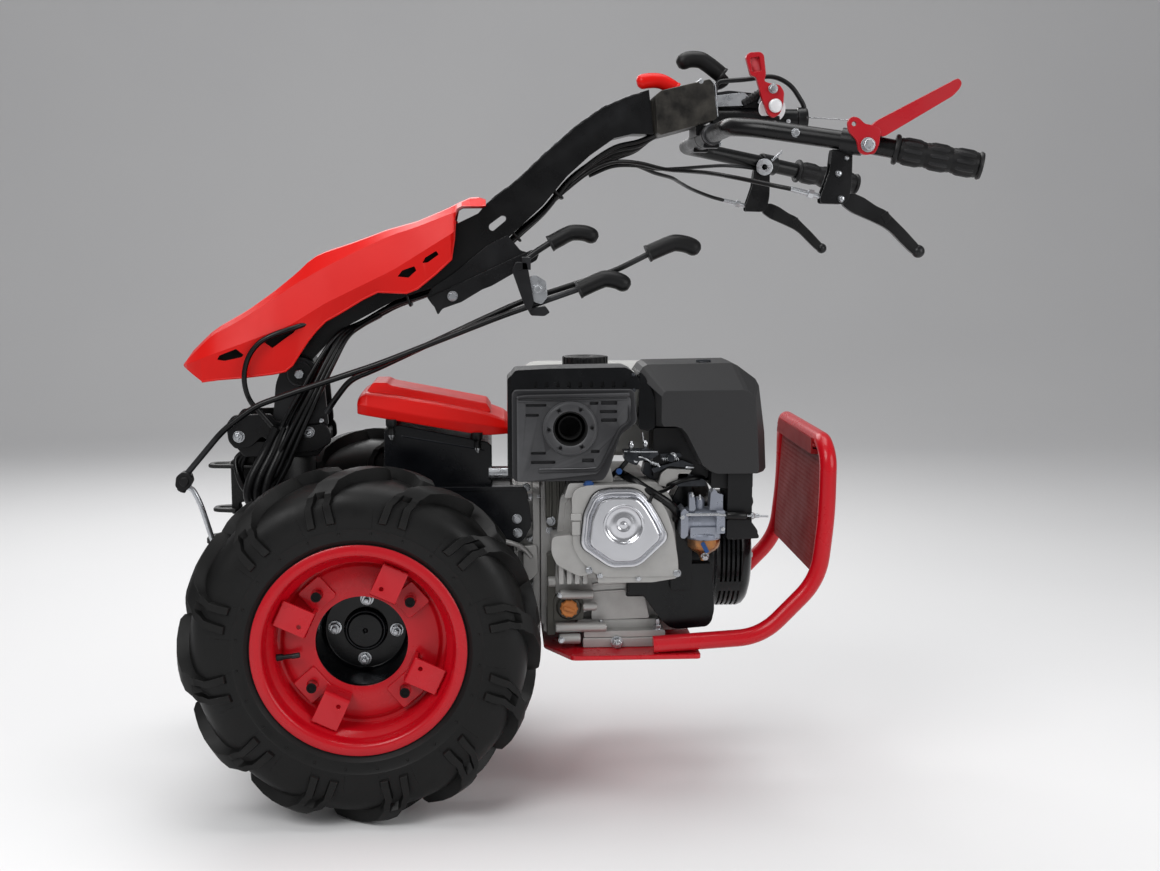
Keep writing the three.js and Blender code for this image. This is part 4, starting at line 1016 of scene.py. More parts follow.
@dataclass
class Cowl:
    """Moulded cowl over the foot of the column: a faceted shell with slots in its cheeks."""

    shop: Shop
    top: list[Flat] = field(default_factory=lambda: [
        (-300, 438), (-285, 457), (-250, 490), (-195, 521), (-150, 553), (-110, 585), (-85, 609), (-60, 620),
        (-20, 633), (40, 655), (90, 669), (140, 690), (160, 700), (178, 708), (194, 709), (204, 705)])
    upper: list[Flat] = field(default_factory=lambda: [
        (-300, 436), (-250, 483), (-195, 512), (-150, 541), (-110, 568), (-60, 596), (0, 626), (50, 648),
        (90, 661), (150, 684), (204, 698)])
    lower: list[Flat] = field(default_factory=lambda: [
        (-300, 433), (-250, 452), (-200, 470), (-120, 500), (-60, 537), (0, 566), (50, 590), (100, 621),
        (150, 652), (204, 696)])
    foot: list[Flat] = field(default_factory=lambda: [
        (-300, 430), (-268, 407), (-240, 411), (-202, 414), (-150, 420), (-130, 424), (-118, 434), (-104, 456),
        (-92, 474), (-78, 491), (-62, 507), (-40, 519), (0, 543), (25, 555), (72, 553), (90, 560), (120, 584),
        (146, 608), (151, 640), (153, 672), (157, 690), (164, 694), (204, 694)])
    stations: tuple[float, ...] = (
        -300, -294, -285, -276, -268, -255, -240, -222, -202, -186, -170, -150, -140, -130, -118, -104, -92, -78,
        -62, -50, -40, -20, 0, 12, 25, 40, 56, 72, 90, 105, 120, 134, 146, 151, 153, 157, 164, 178, 192, 204)

    def build(self) -> None:
        """Make the shell and its edge bead."""
        shell = self.shell()
        shell.cut(self.slots())
        self.shop.make(shell, "cowl.shell", "column", RED_ABS, "red_plastic", ("cowl",), bevel=1.1, segments=3,
                       limit=14)
        self.shop.make(self.bead(), "cowl.rim", "column", RED_ABS, "red_plastic", limit=60)
        self.shop.make(self.slot_shade(), "cowl.liner", "column", PAINTED_SHADE, "black_plastic", limit=60)

    def width(self, x: float) -> float:
        """Share of the full width at a place along the cowl."""
        return table_value([(-300, 0.66), (-290, 0.78), (-270, 0.9), (-240, 0.97), (-200, 1.0), (150, 1.0),
                            (204, 0.82)], x)

    def section(self, x: float, inset: float) -> list[Vector]:
        """Points of the shell across the machine at one place, from foot to foot.

        Args:
            x: The place along the machine.
            inset: How far inside the outer skin the points lie.

        Returns:
            The points, right-hand side first.
        """
        s = self.width(x)
        z = [table_value(rows, x) for rows in (self.foot, self.lower, self.upper, self.top)]
        z[1], z[2] = max(z[1], z[0] + 0.8), max(z[2], z[0] + 1.6)
        z[3] = max(z[3], z[2] + 0.8)
        half = [(81, z[0]), (89.8, z[1]), (77, z[2]), (58, z[3]), (30, z[3] + 2.4)]
        right = [Vector((x, -(y * s - inset), h - (inset if i > 2 else 0.0))) for i, (y, h) in enumerate(half)]
        left = [Vector((p.x, -p.y, p.z)) for p in right[::-1]]
        return right + left

    def shell(self) -> Form:
        """Outer and inner skins joined round their edges."""
        form = Form()
        outer = [self.section(x, 0.0) for x in self.stations]
        inner = [self.section(x, 3.0) for x in self.stations]
        for p in inner[0]:
            p.x += 3.0
        n = len(outer[0])
        points = [p for rows in (outer, inner) for row in rows for p in row]
        half = len(outer) * n
        faces = []
        for i in range(len(outer) - 1):
            for k in range(n - 1):
                a = i * n + k
                faces.append((a, a + 1, a + n + 1, a + n))
                faces.append((half + a, half + a + n, half + a + n + 1, half + a + 1))
            for k in (0, n - 1):
                a = i * n + k
                faces.append((a, a + n, half + a + n, half + a))
        last = (len(outer) - 1) * n
        for k in range(n - 1):
            faces.append((last + k, last + k + 1, half + last + k + 1, half + last + k))
        faces.append(tuple(range(n)))
        faces.append(tuple(half + k for k in range(n))[::-1])
        faces.append((0, n - 1, half + n - 1, half))
        return form.add(points, faces)

    def slots(self) -> Form:
        """Vents and the cable opening, through both cheeks."""
        holes = [
            [(-240, 444), (-236, 451), (-208, 462), (-196, 452), (-200, 448), (-228, 442)],
            [(-168, 477), (-146, 483), (-120, 495), (-102, 503), (-114, 488), (-130, 477), (-149, 463)],
            [(58, 580), (66, 590), (86, 597), (89, 590), (76, 578)],
            [(99, 602), (104, 611), (122, 622), (126, 616), (108, 603)],
        ]
        form = Form()
        for hole in holes:
            form.prism(round_corners(hole, 1.2, 2), -120, -60)
            form.prism(round_corners(hole, 1.2, 2), 60, 120)
        return form

    def slot_shade(self) -> Form:
        """Painted shade: black sheets behind the slots, where the inside of the cowl lies in shade."""
        form = Form()
        for hole in ([(-246, 438), (-236, 462), (-186, 466), (-192, 442)],
                     [(-172, 470), (-150, 492), (-100, 512), (-96, 500), (-128, 470), (-150, 458)],
                     [(52, 574), (62, 600), (94, 606), (96, 586), (78, 572)],
                     [(94, 596), (100, 618), (130, 630), (132, 610), (106, 596)]):
            form.prism(hole, -76, -74)
        return form.join(form.mirrored())

    def bead(self) -> Form:
        """Rounded edge along the foot of each cheek."""
        form = Form()
        line = [Vector((x, -(81 * self.width(x) - 1.2), table_value(self.foot, x)))
                for x in self.stations if -268 <= x <= 153]
        form.tube(line, 2.0, 8)
        return form.join(form.mirrored())


@dataclass
class Hood:
    """Moulded hood over the gearbox, its raised pad, its rubber mounts and the box under it."""

    shop: Shop

    def build(self) -> None:
        """Make the hood, its mounts and its support box."""
        make = self.shop.make
        make(self.shell(), "hood.shell", "chassis", RED_ABS, "red_plastic", ("hood",), bevel=2.2, segments=4, limit=12)
        make(self.pad(), "hood.pad", "chassis", RED_ABS, "red_plastic", bevel=3.0, segments=4, limit=25)
        make(self.box(), "hood_support.box", "chassis", BLACK_ENAMEL, "black_paint", ("hood_support",), bevel=3.0,
             segments=3)
        make(self.mounts(), "hood_support.mounts", "chassis", GRIP_RUBBER, "black_paint", limit=40)
        make(self.tips(), "hood_support.mount_tips", "chassis", ZINC, "pressed_steel", limit=40)
        make(self.cross_tube(), "hood_support.cross_tube", "chassis", ZINC, "pressed_steel", limit=40)

    def shell(self) -> Form:
        """Loft of cross sections along the machine."""
        foot = [(-12, 353), (190, 317), (206, 316), (245, 318)]
        facet = [(-12, 370), (60, 356), (120, 345), (190, 335), (245, 327)]
        shoulder = [(-12, 376), (-6, 384), (2, 388), (50, 382), (120, 370), (200, 354), (232, 342), (245, 331)]
        form = Form()
        stations = [-12, -9, -6, -2, 4, 30, 60, 90, 120, 150, 175, 190, 206, 220, 232, 240, 245]
        points: list[Vector] = []
        for x in stations:
            w = table_value([(-12, 0.93), (-6, 0.97), (4, 1.0), (180, 1.0), (215, 0.985), (236, 0.95), (245, 0.9)], x)
            z0, z1, z2 = (table_value(rows, x) for rows in (foot, facet, shoulder))
            z1 = max(z1, z0 + 2)
            z2 = max(z2, z1 + 2)
            half = [(93, z0), (96, z1), (88, z2 - 3), (80, z2), (40, z2 + 2)]
            right = [Vector((x, -y * w, z)) for y, z in half]
            points += right + [Vector((p.x, -p.y, p.z)) for p in right[::-1]]
        faces = []
        for i in range(len(stations) - 1):
            for k in range(10):
                m = (k + 1) % 10
                faces.append((10 * i + k, 10 * i + m, 10 * i + 10 + m, 10 * i + 10 + k))
        last = 10 * (len(stations) - 1)
        faces += [tuple(range(10)), tuple(range(last, last + 10))[::-1]]
        return form.add(points, faces)

    def pad(self) -> Form:
        """Raised pad with its steeper rear end."""
        sides = [(2, 388), (12, 402), (34, 402), (44, 397), (203, 366), (211, 353), (204, 350), (50, 380), (8, 384)]
        form = Form().prism(sides, -66, 66)
        for vert in form.mesh.verts:
            if vert.co.z > table_value([(2, 390), (211, 356)], vert.co.x) + 2:
                vert.co.y *= 0.88
        return form

    def box(self) -> Form:
        """Folded box that carries the hood."""
        form = Form().prism([(30, 212.5), (32, 326), (44, 334), (60, 333), (204, 304), (211, 298), (211, 212.5)],
                            -88, 88)
        form.prism([(60, 318), (200, 293), (200, 288), (60, 313)], -88.6, 88.6)
        return form

    def mounts(self) -> Form:
        """Rubber bobbins between box and hood."""
        form = Form()
        for x, z in ((44, 320), (187, 297)):
            for y in (-91.5, 91.5):
                form.turned([(0, z - 2), (6, z - 2), (6.6, z + 2), (5.2, z + 7), (6.6, z + 11), (9, z + 14),
                             (9, z + 24), (0, z + 24)], (x, y, 0), (0, 0, 1), 24)
        return form

    def tips(self) -> Form:
        """Bright conical ends of the mounts."""
        form = Form()
        for x, z in ((44, 320), (187, 297)):
            for y in (-91.5, 91.5):
                form.turned([(0, z - 11), (2.2, z - 10.5), (5.4, z - 3), (5.4, z - 1), (0, z - 1)], (x, y, 0),
                            (0, 0, 1), 20)
        return form

    def cross_tube(self) -> Form:
        """Bright spacer tube between the box and the engine."""
        return Form().rod((205, -84, 251), (246, -84, 251), 11.5, 28, 1)


# ---------------------------------------------------------------- engine


@dataclass
class Exhaust:
    """Muffler guard with its outlet, vents and the black shroud over it."""

    shop: Shop
    face: float = -213.0
    back: float = -135.0
    outlet: Flat = (336.0, 342.0)

    def build(self) -> None:
        """Make the guard, the shroud and the outlet."""
        make = self.shop.make
        make(self.guard(), "muffler_guard.pressing", "chassis", GREY_HEAT_PAINT, "grey_plastic", ("muffler_guard",),
             bevel=2.4, segments=3, limit=30)
        make(self.panel(), "muffler_guard.panel", "chassis", GREY_HEAT_PAINT, "grey_plastic", bevel=0.8, segments=2,
             limit=30)
        make(self.ring(), "muffler_guard.outlet_ring", "chassis", GREY_HEAT_PAINT, "grey_plastic", limit=28)
        make(self.pipe(), "muffler_guard.pipe", "chassis", PAINTED_SHADE, "grey_plastic", limit=40)
        make(self.shroud(), "muffler_guard.shroud", "chassis", BLACK_ENAMEL, "black_plastic", bevel=3.0, segments=4,
             limit=25)
        make(self.bolts(), "muffler_guard.bolts", "chassis", DARK_STEEL, "pressed_steel", bevel=0.4, segments=1)

    def guard(self) -> Form:
        """The deep pressing behind the front panel."""
        outline = [(243, 262), (243, 398), (248, 404), (434, 404), (440, 400), (444, 352), (436, 344), (418, 332),
                   (398, 270), (390, 256), (250, 255)]
        form = Form().prism(round_corners(outline, 7, 3), self.back, self.face + 5)
        form.cut(Form().prism(circle(*self.outlet, 28, 32), self.face - 10, self.face + 44))
        return form

    def panel(self) -> Form:
        """Front panel with a lip along its top, a rolled border and pressed slots."""
        border = [(251, 256), (251, 390), (254, 394), (428, 394), (433, 388), (433, 354), (428, 349), (415, 340),
                  (384, 274), (378, 268), (262, 256)]
        form = Form().prism(round_corners(border, 5, 3), self.face + 6, self.face)
        slots = [(265, 377, 298, 381.5), (265, 361, 286, 365.5), (273, 300, 297, 304.5), (273, 285, 312, 290),
                 (367, 379.5, 381, 384.5), (385, 379.5, 411, 385.5), (383, 366, 411, 371), (385, 352, 411, 357.5),
                 (369, 302, 383, 307), (355, 287, 374, 293)]
        tool = Form()
        for x0, z0, x1, z1 in slots:
            tool.prism(rectangle(x0, x1, z0, z1, 2.3), self.face - 4, self.face + 9)
        tool.prism(circle(*self.outlet, 28, 32), self.face - 6, self.face + 12)
        form.cut(tool)
        rails = Form()
        rails.tube(bent_line([(252, self.face + 1, 391), (262, self.face - 2.4, 393),
                              (430, self.face - 2.4, 395.5)], 6), 3.4, 10)
        rails.tube([Vector((x, self.face - 0.6, z)) for x, z in ((254, 385.5), (300, 386), (428, 388.5))], 1.5, 8)
        rim_line = bent_line([(286, self.face - 0.6, 272.5), (379, self.face - 0.6, 273.5), (386, self.face - 0.6, 282),
                              (416, self.face - 0.6, 342), (430, self.face - 0.6, 351), (431, self.face - 0.6, 378)], 9)
        rails.tube(rim_line, 2.4, 10)
        rails.tube([Vector((x, self.face - 0.2, z)) for x, z in ((286, 277), (360, 277.5), (378, 279))], 1.2, 8)
        return form.join(rails)

    def ring(self) -> Form:
        """Outlet flange with its six holes and raised rim."""
        x, z = self.outlet
        profile = [(26, -4.5), (30, -7.2), (38, -7.2), (41.5, -5.5), (43.5, -2.5), (43.5, 1), (26, 1)]
        form = Form().turned([(r, -d) for r, d in profile], (x, self.face, z), (0, -1, 0), 56)
        tool = Form()
        for k in range(6):
            t = math.radians(2 + 60 * k)
            place = (x + 34.5 * math.cos(t), 0, z + 34.5 * math.sin(t))
            tool.turned([(0, self.face - 20), (2.7, self.face - 20), (2.7, self.face - 3), (0, self.face - 3)],
                        place, (0, 1, 0), 14)
        return form.cut(tool)

    def pipe(self) -> Form:
        """Painted shade: the inner pipe, recessed behind the flange, and the void behind the slots, black where they
        lie in shade.
        """
        x, z = self.outlet
        form = Form()
        form.turned([(25.6, -6), (27.8, -6), (27.8, 40), (0, 40), (0, 36), (24.6, 36), (24.6, 2)],
                    (x, self.face, z), (0, 1, 0), 40)
        form.turned([(17, 6), (19.5, 6), (19.5, 35), (17, 35)], (x, self.face, z), (0, 1, 0), 40)
        return form

    def shroud(self) -> Form:
        """Glossy black band above the guard, with a row of notches, wrapping down both ends."""
        form = Form()
        band = [(241, 403), (241, 424), (249, 434.5), (300, 437), (424, 438.5), (436, 433), (447, 419), (449, 403)]
        form.prism(round_corners(band, 3, 2), -206, -128)
        tool = Form()
        for k in range(9):
            x = 281 + 17.8 * k
            tool.prism(round_corners([(x - 3.2, 406.5), (x + 3.2, 406.5), (x + 2.2, 416), (x - 2.2, 416)], 1, 2),
                       -212, -200)
        form.cut(tool)
        form.prism(round_corners([(236.5, 262), (236.5, 420), (242, 426), (246, 426), (246, 262)], 2, 2), -200, -128)
        end = [(448, 432), (456, 424), (468, 402), (474, 384), (474, 340), (462, 334), (447, 338)]
        form.prism(round_corners(end, 5, 3), -196, -100)
        return form

    def bolts(self) -> Form:
        """Screws along the shroud."""
        form = Form()
        form.bolt((437, -204, 426), (0.2, -1, 0.3), 8, False, hexagon=False)
        form.bolt((438.5, -204, 402), (0.2, -1, 0), 7, False, hexagon=False)
        return form


@dataclass
class FuelTank:
    """Enamelled tank with its seam, filler cap and gauge."""

    shop: Shop

    def build(self) -> None:
        """Make the tank, the seam and the cap."""
        make = self.shop.make
        make(self.tank(), "fuel_tank.pressing", "chassis", TANK_ENAMEL, "tank_enamel", ("fuel_tank",), bevel=9,
             segments=5, limit=25)
        make(self.seam(), "fuel_tank.seam", "chassis", TANK_ENAMEL, "tank_enamel", bevel=1.0, segments=2)
        make(self.cap(), "fuel_cap.cover", "chassis", BLACK_NYLON, "black_plastic", ("fuel_cap",), bevel=0.8,
             segments=2)
        make(self.collar(), "fuel_cap.collar", "chassis", ZINC, "pressed_steel", limit=40)

    def tank(self) -> Form:
        """Body in two drawn halves, with a raised crown."""
        plan = round_corners(rectangle(252, 600, -70, 196), 34, 6)
        form = Form().prism(plan, 276, 352, Along.Z, 1.0)
        form.prism([(x, y) for x, y in plan], 352.2, 406, Along.Z, 0.985)
        crown = round_corners(rectangle(266, 586, -56, 182), 40, 6)
        form.prism(crown, 404, 419.6, Along.Z, 0.93)
        return form

    def seam(self) -> Form:
        """Rolled flange round the middle of the tank."""
        plan = round_corners(rectangle(249, 603, -73, 199), 36, 6)
        form = Form().prism(plan, 349, 356, Along.Z)
        form.prism(round_corners(rectangle(300, 440, -52, -46), 3), 419, 421.5, Along.Z)
        form.turned([(0, 418), (17, 418), (17, 422), (13, 423.5), (0, 423.5)], (520, 60, 0), (0, 0, 1), 32)
        return form

    def cap(self) -> Form:
        """Fluted screw cap."""
        form = Form().turned([(0, 420.4), (30, 420.4), (30, 424), (38, 425), (38, 438), (36, 441), (14, 441),
                              (12, 439.6), (0, 439.6)], (373, 0, 0), (0, 0, 1), 72)
        for k in range(24):
            t = math.radians(15 * k)
            flute = Form().prism(rectangle(37.0, 39.3, -2.6, 2.6, 1.0), 424.5, 440.5, Along.Z)
            form.join(flute.moved(Matrix.Translation((373, 0, 0)) @ Matrix.Rotation(t, 4, "Z")))
        return form

    def collar(self) -> Form:
        """Bright filler neck under the cap."""
        return Form().turned([(31, 419.4), (35, 419.4), (34.2, 423.6), (31, 423.6)], (373, 0, 0), (0, 0, 1), 48)


@dataclass
class AirCleaner:
    """Air cleaner lid and the moulded elbow below it."""

    shop: Shop
    face: float = -217.0

    def build(self) -> None:
        """Make the lid, the elbow and the fixing."""
        make = self.shop.make
        make(self.lid(), "air_cleaner.lid", "chassis", GREY_POLYPROPYLENE, "grey_plastic", ("air_cleaner",),
             bevel=2.5, segments=4, limit=11)
        make(self.elbow(), "air_cleaner.elbow", "chassis", BLACK_NYLON, "black_plastic", bevel=2.5, segments=3,
             limit=25)
        make(self.knob(), "air_cleaner.screw", "chassis", DARK_STEEL, "pressed_steel", bevel=0.5, segments=2)

    def lid(self) -> Form:
        """Lid whose cheeks slope in towards its top and front."""
        outline = [(446, 424), (455, 437), (462, 441), (598, 443), (608, 439), (638, 417), (644, 406), (654, 330),
                   (657, 271), (653, 265), (570, 266), (556, 271), (545, 279), (519, 330), (512, 338), (503, 341),
                   (473, 341), (470, 398), (462, 415)]
        inner = [(482, 392), (486, 399), (490, 401), (614, 402), (622, 400), (630, 394), (633, 388), (637, 330),
                 (640, 274), (638, 267), (572, 267), (560, 272), (549, 281), (523, 332), (515, 341), (505, 344),
                 (486, 344), (482, 350), (482, 390)]
        form = Form()
        n = len(outline)
        layers = [(outline, -76, 1.0), (outline, self.face + 34, 1.0), (inner, self.face, 1.0)]
        points = []
        for shape, y, _ in layers:
            points += [Vector((x, y, z)) for x, z in shape]
        faces = []
        for i in range(len(layers) - 1):
            for k in range(n):
                m = (k + 1) % n
                faces.append((n * i + k, n * i + m, n * i + n + m, n * i + n + k))
        faces += [tuple(range(n))[::-1], tuple(range(2 * n, 3 * n))]
        return form.add(points, faces)

    def elbow(self) -> Form:
        """Air passage down to the carburettor, with a lip at its foot."""
        form = Form()
        outline = [(592, 160), (592, 267), (632, 267), (632, 178), (637, 168), (644, 164), (644, 158), (600, 156)]
        form.prism(round_corners(outline, 3, 3), -204, -118)
        form.prism(round_corners([(590, 158), (590, 190), (600, 196), (628, 190), (641, 172), (641, 160)], 4, 3),
                   -210, -130)
        form.rod((592, -168, 205), (632.5, -168, 205), 20, 32)
        form.prism(round_corners(rectangle(474, 566, 252, 336), 6), -168, -100)
        form.prism(round_corners([(566, 240), (566, 268), (634, 268), (634, 240)], 3), -196, -110)
        return form

    def knob(self) -> Form:
        """Wing nut sunk in the lid's top."""
        form = Form().turned([(0, 436), (9, 436), (9, 443.5), (6, 445), (0, 445)], (556, -160, 0), (0, 0, 1), 24)
        form.box((544, -162, 440), (568, -158, 447))
        return form


@dataclass
class Cylinder:
    """Crankcase, slanted cylinder, rocker cover and what is bolted to them."""

    shop: Shop

    def build(self) -> None:
        """Make the castings, the cover, the bolts, the oil filler and the feet."""
        make = self.shop.make
        make(self.crankcase(), "engine_block.crankcase", "chassis", CAST_ALUMINIUM, "cast_aluminium",
             ("engine_block",), bevel=3.0, segments=3, limit=25)
        make(self.head(), "engine_block.head", "chassis", CAST_ALUMINIUM, "cast_aluminium", bevel=2.2, segments=3,
             limit=25)
        make(self.fins(), "engine_block.fins", "chassis", CAST_ALUMINIUM, "cast_aluminium", bevel=0.8, segments=2)
        make(self.bosses(), "engine_block.bosses", "chassis", CAST_ALUMINIUM, "cast_aluminium", bevel=1.0,
             segments=2)
        make(self.dark_block(), "engine_block.dark_block", "chassis", DARK_CASTING, "cast_aluminium", bevel=1.2,
             segments=2)
        make(self.blue_screws(), "engine_block.blue_screws", "chassis", BLUE_DYE, "black_plastic", bevel=0.5,
             segments=1)
        make(self.flange(), "valve_cover.flange", "chassis", BRIGHT_STEEL, "pressed_steel", ("valve_cover",),
             bevel=1.4, segments=3, limit=25)
        make(self.dome(), "valve_cover.dome", "chassis", BRIGHT_STEEL, "pressed_steel", limit=60)
        make(self.gasket(), "valve_cover.gasket", "chassis", GRIP_RUBBER, "black_plastic", limit=30)
        make(self.bolts(), "engine_block.bolts", "chassis", ZINC, "pressed_steel", bevel=0.5, segments=1)
        make(self.filler(), "engine_block.oil_cap", "chassis", AMBER_NYLON, "black_plastic", bevel=0.8, segments=2)
        make(self.duct(), "fan_cover.duct", "chassis", BLACK_ENAMEL, "black_plastic", bevel=5, segments=4, limit=25)

    def crankcase(self) -> Form:
        """Box of the crankcase with its foot rail and front cover."""
        form = Form()
        body = [(292, -4), (292, 232), (300, 241), (470, 241), (500, 214), (520, 190), (538, 150), (538, 20),
                (520, -4), (500, -12), (330, -12), (300, -10)]
        form.prism(round_corners(body, 8, 3), -104, 104)
        form.prism(round_corners([(296, -18.7), (296, -2), (540, -2), (540, -18.7)], 4), -105, 105)
        form.prism(round_corners([(362, -18.7), (362, -8), (498, -8), (498, -18.7)], 3), -148, -100)
        form.prism(round_corners([(352, -10), (352, 6), (492, 6), (492, -10)], 4), -124, -100)
        form.prism(round_corners([(300, 30), (300, 118), (356, 118), (366, 96), (376, 86), (376, 34), (366, 20),
                                  (310, 16)], 6), -132, -100)
        form.prism(round_corners([(376, 6), (376, 92), (434, 92), (434, 46), (466, 46), (474, 8)], 4), -128, -100)
        return form

    def head(self) -> Form:
        """Cylinder and head lying out to the side."""
        form = Form()
        barrel = [(322, 122), (330, 216), (352, 236), (470, 240), (500, 214), (508, 130), (484, 98), (376, 96)]
        form.prism(round_corners(barrel, 10, 3), -176, -100)
        head = [(340, 150), (338, 232), (344, 244), (360, 250), (446, 252), (470, 240), (492, 206), (502, 176),
                (510, 128), (511, 103), (500, 100), (392, 100), (372, 108), (352, 128)]
        form.prism(round_corners(head, 8, 3), -219, -172)
        ledge = [(306, 166), (340, 170), (366, 120), (372, 106), (352, 100), (336, 108), (314, 120), (305, 140)]
        form.prism(round_corners(ledge, 8, 4), -214, -150)
        form.prism(round_corners([(380, 90), (380, 104), (510, 104), (508, 96), (470, 90)], 3), -216, -150)
        form.prism(round_corners([(356, 252), (362, 276), (402, 276), (408, 250)], 5), -190, -140)
        form.prism(round_corners([(326, 228), (334, 252), (372, 252), (372, 228)], 5), -206, -150)
        return form

    def fins(self) -> Form:
        """Cooling fins round the cylinder."""
        form = Form()
        for k in range(7):
            y = -172 + 9.5 * k
            outline = [(312, 112), (322, 226), (346, 246), (480, 248), (506, 220), (514, 126), (490, 90), (350, 88)]
            form.prism(round_corners(outline, 10, 3), y, y + 3.2)
        for k in range(4):
            x = 318 + 13 * k
            form.prism(round_corners([(x, 84), (x, 122), (x + 8, 122), (x + 8, 84)], 2), -196, -128)
        return form

    def bosses(self) -> Form:
        """Bolt bosses, sleeves and ribs of the castings."""
        form = Form()
        sleeves = [((322, -150, 56), (378, -150, 56), 8), ((314, -148, -1), (400, -148, -1), 8),
                   ((320, -152, -19), (356, -152, -19), 8.5), ((300, -150, 182), (338, -150, 182), 7.5),
                   ((360, -146, 34), (384, -146, 34), 7), ((302, -140, 76), (316, -140, 76), 9)]
        for a, b, r in sleeves:
            form.rod(a, b, r, 24, 1.5)
        form.prism(round_corners([(336, 194), (336, 205), (354, 205), (354, 194)], 2), -222, -190)
        form.prism(round_corners([(338, 170), (338, 192), (352, 192), (352, 170)], 2), -222, -190)
        for z in (52, 66, 78):
            form.prism(round_corners([(378, z), (378, z + 4), (432, z + 7), (432, z + 3)], 1.5), -131, -120)
        return form

    def dark_block(self) -> Form:
        """Darker castings: the block beside the head, the long rail and the filler's seat."""
        form = Form().prism(round_corners([(300, 170), (298, 252), (312, 256), (336, 254), (334, 226), (340, 196),
                                           (336, 174)], 5), -158, -112)
        for x in (306, 318, 328):
            form.tube([Vector((x, -158.6, 178)), Vector((x + 1, -159.4, 214)), Vector((x + 1, -158.6, 250))], 2.6, 8)
        form.prism(round_corners([(301, -16), (301, 120), (310, 124), (315, 118), (315, -16)], 3), -138, -112)
        form.prism(round_corners([(312, 6), (312, 48), (322, 56), (356, 56), (362, 40), (362, 10)], 5), -140, -112)
        return form.turned([(0, -146), (18, -146), (21, -142), (21, -120), (0, -120)], (337, 0, 32), (0, 1, 0), 36)

    def blue_screws(self) -> Form:
        """Blue-dyed screw heads above the rocker cover."""
        form = Form().bolt((366, -207, 247), (0, -1, 0.2), 14, True)
        return form.bolt((416, -190, 268), (0, -1, 0.2), 10, False)

    def outline(self) -> list[Flat]:
        """Outer edge of the rocker cover's flange."""
        raw = [(352, 158), (357, 206), (370, 234), (380, 242), (398, 246), (436, 246), (450, 240), (462, 226),
               (480, 196), (492, 170), (490, 160), (452, 124), (440, 118), (404, 117), (394, 121), (356, 148)]
        return round_corners(raw, 7, 3)

    def shrunk(self, share: float) -> list[Flat]:
        """The cover's outline drawn in towards its middle."""
        return [(422 + (x - 422) * share, 182 + (z - 182) * share) for x, z in self.outline()]

    def flange(self) -> Form:
        """Flange with a rolled rim and a raised body."""
        form = Form().prism(self.outline(), -219.6, -225.4)
        n = len(self.outline())
        rows = [(1.0, -225.2), (0.985, -228), (0.94, -228.6), (0.905, -226.4), (0.875, -226.2), (0.845, -229),
                (0.815, -236), (0.79, -239.2), (0.76, -240.2)]
        points = [Vector((x, y, z)) for share, y in rows for x, z in self.shrunk(share)]
        faces = []
        for i in range(len(rows) - 1):
            for k in range(n):
                m = (k + 1) % n
                faces.append((n * i + k, n * i + m, n * i + n + m, n * i + n + k))
        faces.append(tuple(range(n * (len(rows) - 1), n * len(rows)))[::-1])
        faces.append(tuple(range(n)))
        form.add(points, faces)
        tool = Form().turned([(0, -260), (31, -260), (31, -232), (0, -232)], (420, 0, 189), (0, 1, 0), 48)
        return form.cut(tool)

    def dome(self) -> Form:
        """Dished middle of the cover with its centre pip."""
        profile = [(33.5, 239.9), (32.5, 240.9), (30.5, 240.6), (28.5, 238.2), (26, 236.2), (22, 235.4), (17, 236.2),
                   (13, 237.6), (10, 237.6), (8, 236.2), (5.5, 235.8), (3, 237.4), (0, 238), (0, 232), (33.5, 232)]
        return Form().turned(profile, (420, 0, 189), (0, -1, 0), 56)

    def gasket(self) -> Form:
        """Dark line of the gasket round the cover."""
        grown = [(422 + (x - 422) * 1.018, 182 + (z - 182) * 1.018) for x, z in self.outline()]
        return Form().prism(grown, -219.4, -221.6)

    def bolts(self) -> Form:
        """Bolts over the castings."""
        form = Form()
        for x, y, z, across in ((307, -158, 182, 12), (366, -219, 112, 9), (509, -216, 105, 10), (446, -217, 97, 7),
                                (322, -156, 56, 7), (324, -160, -19, 8), (384, -217, 103, 8)):
            form.bolt((x, y, z), (-0.35, -1, 0.1) if across > 8 else (0, -1, 0), across, True)
        for x in (391, 486):
            form.bolt((x, -140, -8), (0, 0, 1), 13, True, 9)
        form.bolt((417, -150, -27), (0, -1, 0), 16, True, 5)
        form.bolt((394, -206, 232), (0, -1, 0), 8, False, hexagon=False)
        return form

    def filler(self) -> Form:
        """Amber oil filler cap with its grip bar."""
        form = Form().turned([(0, -145), (14, -145), (14, -153), (12.5, -155.5), (0, -155.5)], (337, 0, 32),
                             (0, 1, 0), 40)
        for k in range(10):
            t = math.radians(36 * k)
            x, z = 337 + 13.4 * math.cos(t), 32 + 13.4 * math.sin(t)
            form.rod((x, -145.5, z), (x, -154, z), 1.9, 10, 0.6)
        bar = Form().prism(rectangle(-9.5, 9.5, -2.4, 2.4, 1.6), -155, -159.5)
        form.join(bar.moved(Matrix.Translation((337, 0, 32)) @ Matrix.Rotation(math.radians(20), 4, "Y")))
        return form

    def duct(self) -> Form:
        """Black fan duct wrapped under the cylinder, with its lower lobe."""
        form = Form()
        side = [(434, 50), (434, 90), (476, 94), (512, 96), (512, 104), (576, 104), (580, 60), (582, 24), (578, 4),
                (570, -5), (518, -9), (504, -4), (490, 10), (470, 38), (462, 50)]
        form.prism(round_corners(side, 5, 4), -140, -96)
        form.prism(round_corners([(436, 54), (436, 88), (466, 88), (466, 54)], 4), -156, -130)
        form.prism(round_corners([(506, 100), (506, 212), (520, 240), (542, 240), (542, 60), (506, 60)], 6), -150, -96)
        return form


